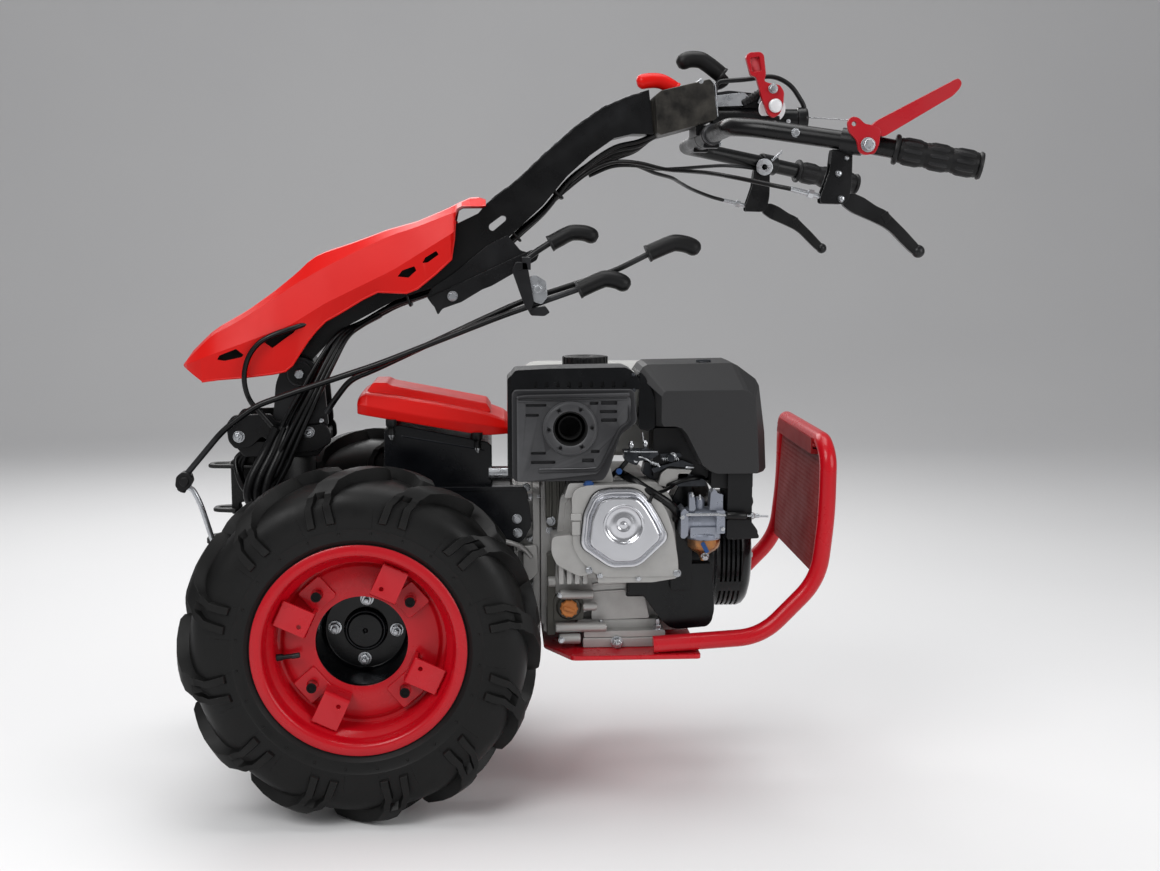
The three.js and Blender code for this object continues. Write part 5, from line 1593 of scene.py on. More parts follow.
@dataclass
class Carburettor:
    """Carburettor, linkage, fuel hose and governor levers."""

    shop: Shop
    y: float = -184.0

    def build(self) -> None:
        """Make the body, the bowl, the linkage and the hoses."""
        make = self.shop.make
        shift = Matrix.Translation((7, 0, 0))
        make(self.body().moved(shift), "carburettor.body", "chassis", CARB_CASTING, "cast_aluminium",
             ("carburettor",), bevel=1.4, segments=2)
        make(self.bowl().moved(shift), "carburettor.bowl", "chassis", PASSIVATED_ZINC, "cast_aluminium", limit=28)
        make(self.tag().moved(shift), "carburettor.drain_tag", "chassis", BLUE_DYE, "black_plastic", bevel=0.6,
             segments=2)
        make(self.bright().moved(shift), "carburettor.screws", "chassis", ZINC, "pressed_steel", bevel=0.4,
             segments=1)
        make(self.intake(), "carburettor.intake", "chassis", CAST_ALUMINIUM, "cast_aluminium", bevel=2, segments=3)
        make(self.levers(), "carburettor.governor", "chassis", DARK_STEEL, "pressed_steel", bevel=0.5, segments=2)
        make(self.links(), "carburettor.springs", "chassis", ZINC, "pressed_steel", limit=60)
        make(self.hoses(), "carburettor.hoses", "chassis", CABLE_SHEATH, "cable_sheath", limit=60)

    def body(self) -> Form:
        """Throttle body between its two flanges."""
        form = Form()
        form.prism(round_corners([(508, 162), (508, 204), (514, 210), (520, 204), (520, 166), (514, 160)], 2),
                   -212, -158)
        form.rod((519, self.y, 186), (578, self.y, 186), 22, 32, 1.5)
        form.prism(round_corners(rectangle(524, 572, 160, 178), 3), -208, -162)
        form.prism(round_corners([(566, 168), (566, 206), (580, 206), (580, 168)], 2), -212, -158)
        form.turned([(0, 156), (27, 156), (28.5, 158), (28.5, 164), (27, 166), (0, 166)], (549, self.y, 0),
                    (0, 0, 1), 40)
        form.prism(round_corners([(522, 204), (522, 232), (528, 234), (531, 226), (533, 208), (530, 204)], 2),
                   -206, -190)
        form.prism(round_corners([(556, 204), (558, 232), (564, 240), (570, 232), (578, 230), (578, 204)], 2),
                   -200, -172)
        form.turned([(0, 204), (9, 204), (9, 220), (6, 224), (0, 224)], (541, self.y, 0), (0, 0, 1), 24)
        return form

    def intake(self) -> Form:
        """Pale intake casting behind the governor."""
        return Form().prism(round_corners([(482, 242), (486, 262), (496, 270), (538, 268), (526, 250), (504, 238)], 4),
                            -176, -140)

    def bowl(self) -> Form:
        """Float bowl with its drain boss."""
        return Form().turned([(0, 119), (5, 119), (6, 125), (8, 127), (10, 130), (21, 137), (25.5, 142), (27, 147),
                              (27, 157), (0, 157)], (549, self.y, 0), (0, 0, 1), 44)

    def tag(self) -> Form:
        """Blue drain lever lying on the bowl."""
        form = Form().prism(rectangle(-3.4, 3.4, -10, 9, 2.6), -215, -211.4)
        return form.moved(Matrix.Translation((547, 0, 146)) @ Matrix.Rotation(math.radians(-28), 4, "Y"))

    def bright(self) -> Form:
        """Long fixing bolt, drain bolt and small screws."""
        form = Form()
        form.rod((516, -213, 200), (570, -213, 200), 2.4, 14)
        form.rod((570, -213, 199), (650, -213, 196), 1.9, 12)
        form.turned([(0, 0), (5.4, 0), (5.4, 4), (3.4, 6), (3.4, 13), (0, 13)], (622, -213, 197), (1, 0, 0), 18)
        form.bolt((549, self.y - 18, 130), (0, -0.8, -0.6), 10, True)
        form.bolt((527, -206, 228), (0, 0, 1), 6, False, 4)
        form.bolt((540, -200, 222), (0, 0, 1), 6, False, 5)
        form.bolt((563, -196, 234), (0, 0, 1), 6, False, 3)
        form.bolt((510, -212, 196), (0, -1, 0), 7, False)
        form.bolt((576, -212, 176), (0, -1, 0), 7, False)
        return form

    def levers(self) -> Form:
        """Governor arm, throttle plate and their pivots."""
        form = Form()
        plate = [(424, 292), (424, 304), (446, 306), (474, 302), (482, 296), (470, 288), (446, 284)]
        form.prism(round_corners(plate, 3), -190, -186)
        form.prism(round_corners([(484, 286), (484, 296), (516, 297), (520, 292), (500, 284)], 2), -186, -180)
        form.prism(round_corners([(470, 270), (520, 284), (540, 276), (538, 270), (500, 274), (474, 262)], 2),
                   -176, -171)
        form.prism(round_corners([(426, 284), (424, 300), (440, 300), (452, 286), (446, 276)], 3), -182, -150)
        form.prism(round_corners([(512, 240), (514, 262), (530, 262), (560, 250), (560, 240)], 3), -176, -140)
        for x, z, r in ((436, 296, 9), (459, 299, 8), (500, 290, 6)):
            form.turned([(0, -198), (r, -198), (r, -186), (0, -186)], (x, 0, z), (0, 1, 0), 20)
        form.prism(round_corners([(458, 258), (462, 276), (500, 274), (512, 268), (498, 254), (478, 246)], 3),
                   -150, -120)
        return form

    def links(self) -> Form:
        """Wire links, coil springs and posts in bright steel."""
        form = Form()
        for x, z, h in ((436, 304, 14), (459, 307, 12)):
            form.rod((x, -190, z), (x, -190, z + h), 3.0, 14, 0.6)
            form.bolt((x, -190, z + h * 0.4), (0, 0, 1), 8, True)
        form.rod((456, -190, 316), (454, -190, 332), 1.0, 8)
        form.tube(smooth_line([(448, -194, 292), (456, -196, 291), (466, -196, 285), (476, -196, 281),
                               (482, -196, 276)]), 1.5, 8)
        form.tube(smooth_line([(424, -196, 302), (446, -198, 301), (478, -198, 301)]), 1.1, 8)
        coil = [Vector((486 + 0.5 * i, -190 + 3 * math.cos(i * 0.9), 288 + 3 * math.sin(i * 0.9))) for i in range(56)]
        form.tube(coil, 0.7, 6)
        coil = [Vector((466 + 0.35 * i, -196 + 3 * math.cos(i * 0.9), 284 - 0.12 * i + 3 * math.sin(i * 0.9)))
                for i in range(40)]
        form.tube(coil, 0.7, 6)
        form.rod((526, -178, 272), (540, -178, 272), 2.2, 12, 0.6)
        form.turned([(0, -182), (3.4, -182), (3.4, -186), (0, -187)], (444, 0, 285), (0, 1, 0), 16)
        form.bolt((504, -186, 292), (0, -1, 0), 9, True)
        return form

    def hoses(self) -> Form:
        """Fuel hose, breather hose and the ignition lead."""
        form = Form()
        form.tube(smooth_line([(486, -150, 236), (500, -176, 243), (520, -182, 251), (545, -176, 254),
                               (572, -150, 250)]), 4.2, 12)
        form.tube(smooth_line([(418, -150, 262), (436, -196, 256), (456, -212, 244), (476, -216, 232),
                               (498, -212, 216), (510, -196, 200), (512, -170, 186)]), 7.0, 14)
        form.tube(smooth_line([(462, -232, 225), (466, -226, 232), (476, -214, 236), (492, -196, 238),
                               (512, -168, 244)]), 3.0, 10)
        form.rod((588, -212, 198.2), (622, -212, 197), 7, 20, 2)
        form.tube(smooth_line([(404, -150, 250), (410, -170, 262), (420, -180, 272), (430, -180, 284)]), 4.0, 10)
        return form


# ---------------------------------------------------------------- gearbox, coupling and bell housing


@dataclass
class Transmission:
    """Gearbox castings, rear coupling, bell housing, side plates and the swivel pad."""

    shop: Shop

    def build(self) -> None:
        """Make the castings, the plates and what bolts them together."""
        make = self.shop.make
        make(self.gearbox(), "gearbox.casting", "chassis", CAST_IRON, "cast_iron", ("gearbox",), bevel=5, segments=3,
             limit=25)
        make(self.ribs(), "gearbox.ribs", "chassis", CAST_IRON, "cast_iron", bevel=1.5, segments=2)
        make(self.covers(), "gearbox.covers", "chassis", CAST_IRON, "cast_iron", bevel=1.2, segments=2)
        make(self.bell(), "bell_housing.casting", "chassis", CAST_ALUMINIUM, "cast_aluminium", ("bell_housing",),
             bevel=2.5, segments=3, limit=25)
        make(self.coupling(), "hitch_coupling.casting", "chassis", CAST_IRON, "cast_iron", ("hitch_coupling",),
             bevel=2.5, segments=3)
        make(self.pad(), "swivel_pad.casting", "chassis", CAST_IRON, "cast_iron", ("swivel_pad",), limit=35)
        for side in ("right", "left"):
            plate = self.plate()
            make(plate if side == "right" else plate.mirrored(), f"side_plate_{side}.sheet", "chassis",
                 BLACK_ENAMEL, "black_paint", (f"side_plate_{side}",), bevel=1.0, segments=2)
        make(self.bolts(), "gearbox.bolts", "chassis", ZINC, "pressed_steel", bevel=0.5, segments=1)
        make(self.forks(), "gearbox.fork", "chassis", CAST_ALUMINIUM, "cast_aluminium", bevel=1.5, segments=2)

    def gearbox(self) -> Form:
        """Case in two widths with the axle housings at its sides."""
        rear = [(-205, 30), (-205, 140), (-193, 152), (-62, 152), (-30, 212), (90, 212), (90, -78), (40, -88),
                (-60, -80), (-150, -40)]
        front = [(88, 212), (245, 212), (245, -30), (195, -70), (88, -78)]
        form = Form().prism(rear, -79, 79)
        form.prism(front, -104, 104)
        for side in (-1, 1):
            profile = [(20.5, 119), (50, 119), (57, 117), (58, 108), (54, 104), (52, 92), (62, 78), (20.5, 78)]
            form.turned(profile, (0, 0, 0), (0, side, 0), 56)
        return form

    def ribs(self) -> Form:
        """Parting flange along the middle and stiffening ribs on both sides."""
        form = Form()
        seam = [(-205, 30), (-205, 140), (-193, 152), (-62, 152), (-30, 212), (88, 212), (195, 212), (195, -70),
                (88, -79), (40, -88), (-60, -80), (-150, -40)]
        grown = [(-18 + (x + 18) * 1.03, 50 + (z - 50) * 1.045) for x, z in seam]
        form.prism(round_corners(grown, 8), -7, 7)
        for side in (-1, 1):
            for angle in (-60, -15, 30, 75, 130, 190):
                rib = Form().prism(rectangle(50, 86, -3, 3, 1.4), side * 76, side * 100)
                form.join(rib.moved(Matrix.Rotation(-math.radians(angle), 4, "Y")))
            for z in (-40, 20, 80, 150):
                form.box((112, min(side * 102, side * 108), z), (236, max(side * 102, side * 108), z + 6))
        return form

    def covers(self) -> Form:
        """Bearing covers, drain boss and the selector tower."""
        form = Form()
        for side in (-1, 1):
            for x, z, r in ((-120, 90, 34), (-40, 140, 24), (150, 60, 46)):
                depth = 79 if x < 0 else 104
                form.turned([(0, 0), (r, 0), (r, 6), (r - 3, 9), (r * 0.55, 9), (r * 0.5, 13), (0, 13)],
                            (x, side * depth, z), (0, side, 0), 36)
        form.turned([(0, 0), (18, 0), (18, 6), (0, 6)], (-20, 0, -84), (0, 0, -1), 28)
        form.prism(rectangle(-50, 26, -44, 44, 10), 212, 224, Along.Z)
        return form

    def bell(self) -> Form:
        """Cone and bolting flange of the clutch housing, with ribs between."""
        form = Form()
        form.prism(round_corners([(-92, -28), (92, -28), (92, 214), (-92, 214)], 44, 5), 245.5, 279, Along.X, 1.02)
        form.prism(round_corners([(-103, -51), (103, -51), (103, 239), (-103, 239)], 40, 6), 278, 291, Along.X)
        form.prism(round_corners([(-98, -40), (98, -40), (98, 226), (-98, 226)], 40, 6), 245.5, 254, Along.X)
        for z in (-10, 30, 75, 120, 165):
            for side in (-1, 1):
                form.box((250, min(side * 88, side * 101), z), (280, max(side * 88, side * 101), z + 6))
        form.prism(round_corners([(262, 84), (262, 130), (286, 132), (288, 84), (272, 70)], 5), -112, -96)
        return form

    def coupling(self) -> Form:
        """Rear flange, spigot and two slotted lugs."""
        form = Form()
        form.prism(round_corners([(-70, -40), (70, -40), (70, 136), (-70, 136)], 22, 5), -219.3, -205.3, Along.X)
        form.turned([(0, 10), (30, 10), (32, 13), (32, 24), (46, 25.5), (48, 23), (48, 8), (0, 8)],
                    (-205.3, 0, 10), (-1, 0, 0), 44)
        for z in (123, 56):
            plan = round_corners([(-279.3, -20), (-279.3, 20), (-262, 32), (-215.3, 32), (-215.3, -32), (-262, -32)],
                                 6)
            lug = Form().prism(plan, z, z + 9, Along.Z)
            lug.cut(Form().prism(round_corners(rectangle(-267, -235, -9, 9), 8), z - 3, z + 12, Along.Z))
            form.join(lug)
        for y in (-30, 30):
            form.prism(round_corners([(-258, 64), (-219, 64), (-219, 124), (-228, 124), (-232, 84)], 3), y - 3, y + 3)
        return form

    def pad(self) -> Form:
        """Round pad that the turret turns on, with a locking rim."""
        return Form().turned(
            [(21, 152.3), (58, 152.3), (58, 162), (62, 166), (70, 170), (72, 172), (72, 183), (70, 185),
             (58, 186.1), (21, 186.1)], (-145, 0, 0), (0, 0, 1), 64)

    def plate(self) -> Form:
        """Black side plate with a folded top."""
        outline = [(84, 230), (158, 231), (264, 231), (269, 226), (277, 166), (264, 142), (250, 132), (84, 132)]
        form = Form().prism(round_corners(outline, 4, 3), -109.3, -104.3)
        form.prism(round_corners([(84, 225), (84, 231.6), (262, 231.6), (266, 225)], 2), -111.5, -92)
        return form

    def bolts(self) -> Form:
        """Bolts of the side plates, covers, flanges and coupling."""
        form = Form()
        for side in (-1, 1):
            for x, z in ((252, 177), (253, 153), (110, 150), (140, 214)):
                form.bolt((x, side * 109.3, z), (0, side, 0), 12, True)
            for x, z, r, depth in ((-120, 90, 28, 88), (150, 60, 40, 113), (-40, 140, 19, 88)):
                for k in range(4):
                    t = math.radians(45 + 90 * k)
                    form.bolt((x + r * math.cos(t), side * depth, z + r * math.sin(t)), (0, side, 0), 8, False)
            for k in range(6):
                t = math.radians(20 + 60 * k)
                form.bolt((50 * math.cos(t), side * 117.5, 50 * math.sin(t)), (0, side, 0), 8, False)
            for z in (-14, 46, 110):
                form.bolt((-219.3, side * 56, z), (-1, 0, 0), 14, True, 5)
            for z in (-20, 60, 140, 212):
                form.bolt((291, side * 97, z), (-1, 0, 0), 10, False)
                form.bolt((278, side * 97, z), (-1, 0, 0), 11, True, 3)
        form.bolt((268, -100, 228), (0.2, -1, 0.2), 11, True)
        form.bolt((308, -106, 157), (0, -1, 0), 11, True)
        form.bolt((-20, 0, -90), (0, 0, -1), 17, True)
        form.bolt((-10, 20, 224), (0, 0, 1), 16, True, 4)
        return form

    def forks(self) -> Form:
        """Clutch arm and its pale bracket behind the wheel."""
        form = Form()
        form.tube(bent_line([(214, -124, 144), (236, -124, 141), (262, -118, 130), (276, -112, 112)], 12), 4.5, 10)
        form.turned([(0, -4), (8, -4), (8, 4), (0, 4)], (218, -124, 144), (0, 1, 0), 20)
        form.rod((218, -128, 144), (218, -104, 144), 4, 12)
        return form


@dataclass
class FanHousing:
    """Fan cover with cooling slots and the hand starter."""

    shop: Shop
    middle: Point = (0, 0, 102)

    def build(self) -> None:
        """Make the cover, the starter and its handle."""
        make = self.shop.make
        make(self.cover(), "fan_cover.pressing", "chassis", BLACK_ENAMEL, "black_plastic", ("fan_cover",), bevel=1.2,
             segments=2)
        make(self.starter(), "fan_cover.starter", "chassis", BLACK_ENAMEL, "black_plastic", bevel=1.0, segments=2)
        make(self.inside(), "fan_cover.inside", "chassis", PAINTED_SHADE, "black_plastic", limit=40)
        make(self.screws(), "fan_cover.screws", "chassis", ZINC, "pressed_steel", bevel=0.4, segments=1)
        make(self.handle(), "fan_cover.pull_handle", "chassis", GRIP_RUBBER, "black_plastic", bevel=2, segments=3)

    def cover(self) -> Form:
        """Drum with vertical slots round its front edge."""
        profile = [(100, 540.4), (124, 540.4), (124, 580), (122, 584), (103, 591), (102, 594), (102, 636),
                   (99, 644), (92, 650), (80, 654.2), (74, 654.2), (74, 650), (80, 650), (90, 646), (96, 640),
                   (98, 634), (98, 592), (100, 588), (118, 582), (120, 578), (120, 546), (100, 546)]
        form = Form().turned(profile, self.middle, (1, 0, 0), 96)
        tool = Form()
        for k in range(6):
            for x in (598, 606, 614, 622, 630):
                arc = [math.radians(60 * k - 24 + 6 * i) for i in range(9)]
                inner = [(90 * math.cos(t), 102 + 90 * math.sin(t)) for t in arc]
                outer = [(110 * math.cos(t), 102 + 110 * math.sin(t)) for t in arc]
                tool.prism([*inner, *outer[::-1]], x, x + 3.6, Along.X)
        return form.cut(tool)

    def starter(self) -> Form:
        """Dished starter cover with radial openings."""
        profile = [(0, 656), (40, 656), (46, 659.2), (52, 658), (58, 653), (76, 652), (76, 648), (0, 648)]
        form = Form().turned(profile, self.middle, (1, 0, 0), 64)
        tool = Form()
        for k in range(12):
            slot = Form().prism(round_corners([(-4, 22), (4, 22), (6.5, 42), (-6.5, 42)], 3), 645, 664, Along.X)
            tool.join(slot.moved(Matrix.Translation(self.middle) @ Matrix.Rotation(math.radians(30 * k), 4, "X")))
        form.cut(tool)
        form.prism(rectangle(556, 584, -20, 20, 6), 222, 229, Along.Z)
        return form

    def inside(self) -> Form:
        """Painted shade: a black block for the fan behind the openings, which lies in shade."""
        form = Form().turned([(0, 560), (94, 560), (94, 628), (72, 642), (0, 642)], self.middle, (1, 0, 0), 48)
        return form

    def screws(self) -> Form:
        """Flange screws of the cover and the starter."""
        form = Form()
        for k in range(6):
            t = math.radians(30 + 60 * k)
            form.bolt((652, 67 * math.sin(t), 102 + 67 * math.cos(t)), (1, 0, 0), 9, True)
        for k in range(4):
            t = math.radians(45 + 90 * k)
            form.bolt((552, 124 * math.sin(t), 102 + 124 * math.cos(t)), (0, math.sin(t), math.cos(t)), 9, True)
        return form

    def handle(self) -> Form:
        """Pull handle of the recoil starter, parked high on the far side."""
        form = Form().prism(round_corners([(-26, -7), (26, -7), (24, 7), (-24, 7)], 5), 658, 674, Along.X)
        form.prism(rectangle(-7, 7, -7, 7, 3), 648, 660, Along.X)
        return form.moved(Matrix.Translation((0, 44, 168)) @ Matrix.Rotation(math.radians(-35), 4, "X"))


# ---------------------------------------------------------------- cradle and bumper


@dataclass
class Bumper:
    """Engine cradle, bent tube bumper and its perforated panel."""

    shop: Shop
    hole_rows: int = 24
    hole_columns: int = 36
    hole_pitch: float = 9.4
    row_pitch: float = 7.8
    radius: float = 14.0
    track: float = 186.0

    def build(self) -> None:
        """Make the plate, the tube and the panel."""
        make = self.shop.make
        make(self.cradle(), "engine_cradle.plate", "chassis", RED_ENAMEL, "red_paint", ("engine_cradle",), bevel=1.5,
             segments=2)
        make(self.foot(), "engine_foot.casting", "chassis", CAST_ALUMINIUM, "cast_aluminium", ("engine_foot",),
             bevel=2, segments=3)
        make(self.tube(), "bumper_frame.tube", "chassis", RED_ENAMEL, "red_paint", ("bumper_frame",), limit=50)
        make(self.welds(), "bumper_frame.welds", "chassis", RED_ENAMEL, "red_paint", limit=60)
        make(self.panel(), "bumper_panel.sheet", "chassis", PANEL_ENAMEL, "red_paint", ("bumper_panel",), bevel=1.0,
             segments=2)
        make(self.bolts(), "engine_cradle.bolts", "chassis", ZINC, "pressed_steel", bevel=0.5, segments=1)

    def cradle(self) -> Form:
        """Plate under the engine and both tubes."""
        plan = [(296, -120), (340, -200), (552, -200), (552, 200), (340, 200), (296, 120)]
        return Form().prism(round_corners(plan, 8), -43.7, -36, Along.Z)

    def foot(self) -> Form:
        """Raised mounting bar between the cradle and the crankcase."""
        form = Form().prism(rectangle(360, 494, -35.7, -19.3, 2.5), -150, 150)
        for y in (-100, 100):
            form.prism(rectangle(356, 500, -35.7, -28, 2), y - 10, y + 10)
        return form

    def line(self) -> list[Vector]:
        """Centre line of the whole tube, from the right-hand foot to the left-hand one."""
        low = -21.7
        side = [(474, low), (654, low + 11), (747, 84), (759, 190), (760, 285)]
        t = self.track
        right = [(x, -t, z) for x, z in side]
        left = [(x, t, z) for x, z in side[::-1]]
        return bent_line([*right, (757, -t + 24, 311), (757, t - 24, 311), *left], 40, 10)

    def tube(self) -> Form:
        """Bent tube, round to its capped feet."""
        return Form().tube(self.line(), self.radius, 24)

    def welds(self) -> Form:
        """Beads where the tube meets the cradle."""
        form = Form()
        for side in (-1, 1):
            line = [Vector((486 + 4 * k, side * (self.track - 10 + 0.6 * math.sin(2.3 * k)), -34.4))
                    for k in range(16)]
            form.tube(line, [2.6 + 0.5 * math.sin(1.9 * k) for k in range(16)], 8)
        return form

    def panel(self) -> Form:
        """Sheet with a fine pattern of slanted perforations and a folded rim."""
        edge = self.track - self.radius - 0.6
        outline = round_corners([(-edge, 98), (-edge + 6, 92), (edge - 6, 92), (edge, 98), (edge, 276),
                                 (edge - 20, 296), (-edge + 20, 296), (-edge, 276)], 4, 3)
        form = Form().prism(outline, -2, 2, Along.X)
        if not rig.quick():
            tool = Form()
            for row in range(self.hole_rows):
                for k in range(self.hole_columns):
                    y = -edge + 12 + self.hole_pitch * k + (self.hole_pitch / 2 if row % 2 else 0)
                    z = 104 + self.row_pitch * row
                    if abs(y) > edge - 9 or abs(y) + abs(z - 194) > edge + 78:
                        continue
                    hole = [(y - 2.6, z - 1.6), (y - 1.2, z - 2.2), (y + 2.6, z + 1.6), (y + 1.2, z + 2.2)]
                    tool.prism(hole, -5, 5, Along.X)
            form.cut(tool)
        rim = Form()
        rim.tube([Vector((-14, edge * k / 12, 300 + 12 * math.cos(0.13 * k))) for k in range(-11, 12)], 2.4, 8)
        rim.prism([(-edge + 22, 294), (edge - 22, 294), (edge - 30, 313), (-edge + 30, 313)], -17.6, -14.8, Along.X)
        rim.prism([(-edge + 22, 288), (edge - 22, 288), (edge - 22, 296), (-edge + 22, 296)], -17.6, 1, Along.X)
        form.join(rim)
        turn = Matrix.Translation((736, 0, 0)) @ Matrix.Rotation(math.radians(4), 4, "Y")
        return form.moved(turn)

    def bolts(self) -> Form:
        """Engine bolts and the bolts of the wings."""
        form = Form()
        for y in (-100, 100):
            for x in (384, 476):
                form.bolt((x, y, -43.5), (0, 0, -1), 15, True, 4)
        for side in (-1, 1):
            form.bolt((500, side * 150, -36), (0, 0, 1), 14, True)
        return form


# ---------------------------------------------------------------- turret


@dataclass
class Turret:
    """Swivel post, its folded bridge plate, the cheeks of the tilt pin and the lugs behind."""

    shop: Shop

    def build(self) -> None:
        """Make the post, the plates, the pins and the bolts."""
        make = self.shop.make
        make(self.post(), "turret.post", "turret", CAST_IRON, "cast_iron", ("turret",), limit=35)
        make(self.bridge(), "turret.bridge", "turret", BLACK_COAT, "black_paint", bevel=1.6, segments=3)
        make(self.cheeks(), "turret.cheeks", "turret", BLACK_COAT, "black_paint", bevel=1.4, segments=2)
        make(self.lugs(), "turret.lugs", "turret", CAST_IRON, "cast_iron", bevel=2.2, segments=3)
        make(self.bolts(), "turret.bolts", "turret", ZINC, "pressed_steel", bevel=0.5, segments=1)

    def post(self) -> Form:
        """Turned post with its pin going down into the pad."""
        return Form().turned(
            [(0, 162), (18, 162), (20, 164), (20, 187.8), (64, 187.8), (66, 190), (66, 202), (63, 206), (54, 212),
             (52, 217), (52, 270), (50, 275), (0, 275)], (-145, 0, 0), (0, 0, 1), 64)

    def bridge(self) -> Form:
        """Bridge plate with an ear bent up at each end, and its side webs."""
        ear = [(-234, 333), (-222, 348), (-160, 350), (-150, 338), (-104, 334), (-98, 331), (-70, 333), (-61, 321),
               (-60, 300), (-84, 286), (-110, 284), (-160, 300), (-174, 312), (-194, 294), (-220, 291), (-231, 304)]
        form = Form()
        for side in (-1, 1):
            plate = Form().prism(round_corners(ear, 5, 3), side * 46, side * 55)
            form.join(plate)
        core = [(-226, 300), (-206, 276), (-84, 276), (-66, 300), (-66, 318), (-98, 330), (-210, 332), (-226, 322)]
        form.prism(round_corners(core, 4), -46, 46)
        return form.prism([(-224, 300), (-222, 346), (-162, 347), (-160, 300)], -46, -40)

    def cheeks(self) -> Form:
        """Two cheeks with rounded heads that hold the tilt pin."""
        outline = [(-158, 326), (-64, 326), (-70, 400), (-80, 428), (-96, 442), (-110, 446), (-126, 442),
                   (-140, 428), (-151, 400)]
        form = Form()
        for side in (-1, 1):
            form.prism(round_corners(outline, 8, 3), side * 38, side * 47)
            form.turned([(0, 46), (22, 46), (22, 49.5), (20, 51), (0, 51)], (-110, 0, 417), (0, side, 0), 40)
        return form

    def lugs(self) -> Form:
        """Hooked lugs behind the post, for the stops of the swivel."""
        form = Form()
        for z, reach, root in ((253, -274, -190), (177, -268, -223)):
            plan = [(reach, -12), (reach + 8, -20), (root, -30), (root, 30), (reach + 8, 20), (reach, 12)]
            plate = Form().prism(round_corners(plan, 9), z, z + 6.5, Along.Z)
            form.join(plate.cut(Form().prism(round_corners(rectangle(reach + 9, reach + 34, -7, 7), 6), z - 2, z + 9,
                                             Along.Z)))
        web = [(-236, 172), (-236, 264), (-206, 280), (-190, 280), (-190, 197), (-222, 192), (-223, 172)]
        return form.prism(round_corners(web, 3), -12, 12)

    def bolts(self) -> Form:
        """Bright bolts of the ears and the tilt pin's end."""
        form = Form()
        for side in (-1, 1):
            for x, z, across in ((-213, 312, 15), (-96, 319, 14)):
                form.bolt((x, side * 55, z), (0, side, 0), across, True, 3)
            form.rod((-75, side * 46, 338), (-75, side * 58, 338), 4.5, 16, 1)
            form.bolt((-110, side * 51, 417), (0, side, 0), 15, False)
        return form


# ---------------------------------------------------------------- column


def along_line(line: list[Flat], x: float) -> float:
    """Height of a side profile's line at a place along the machine."""
    return table_value(line, x)


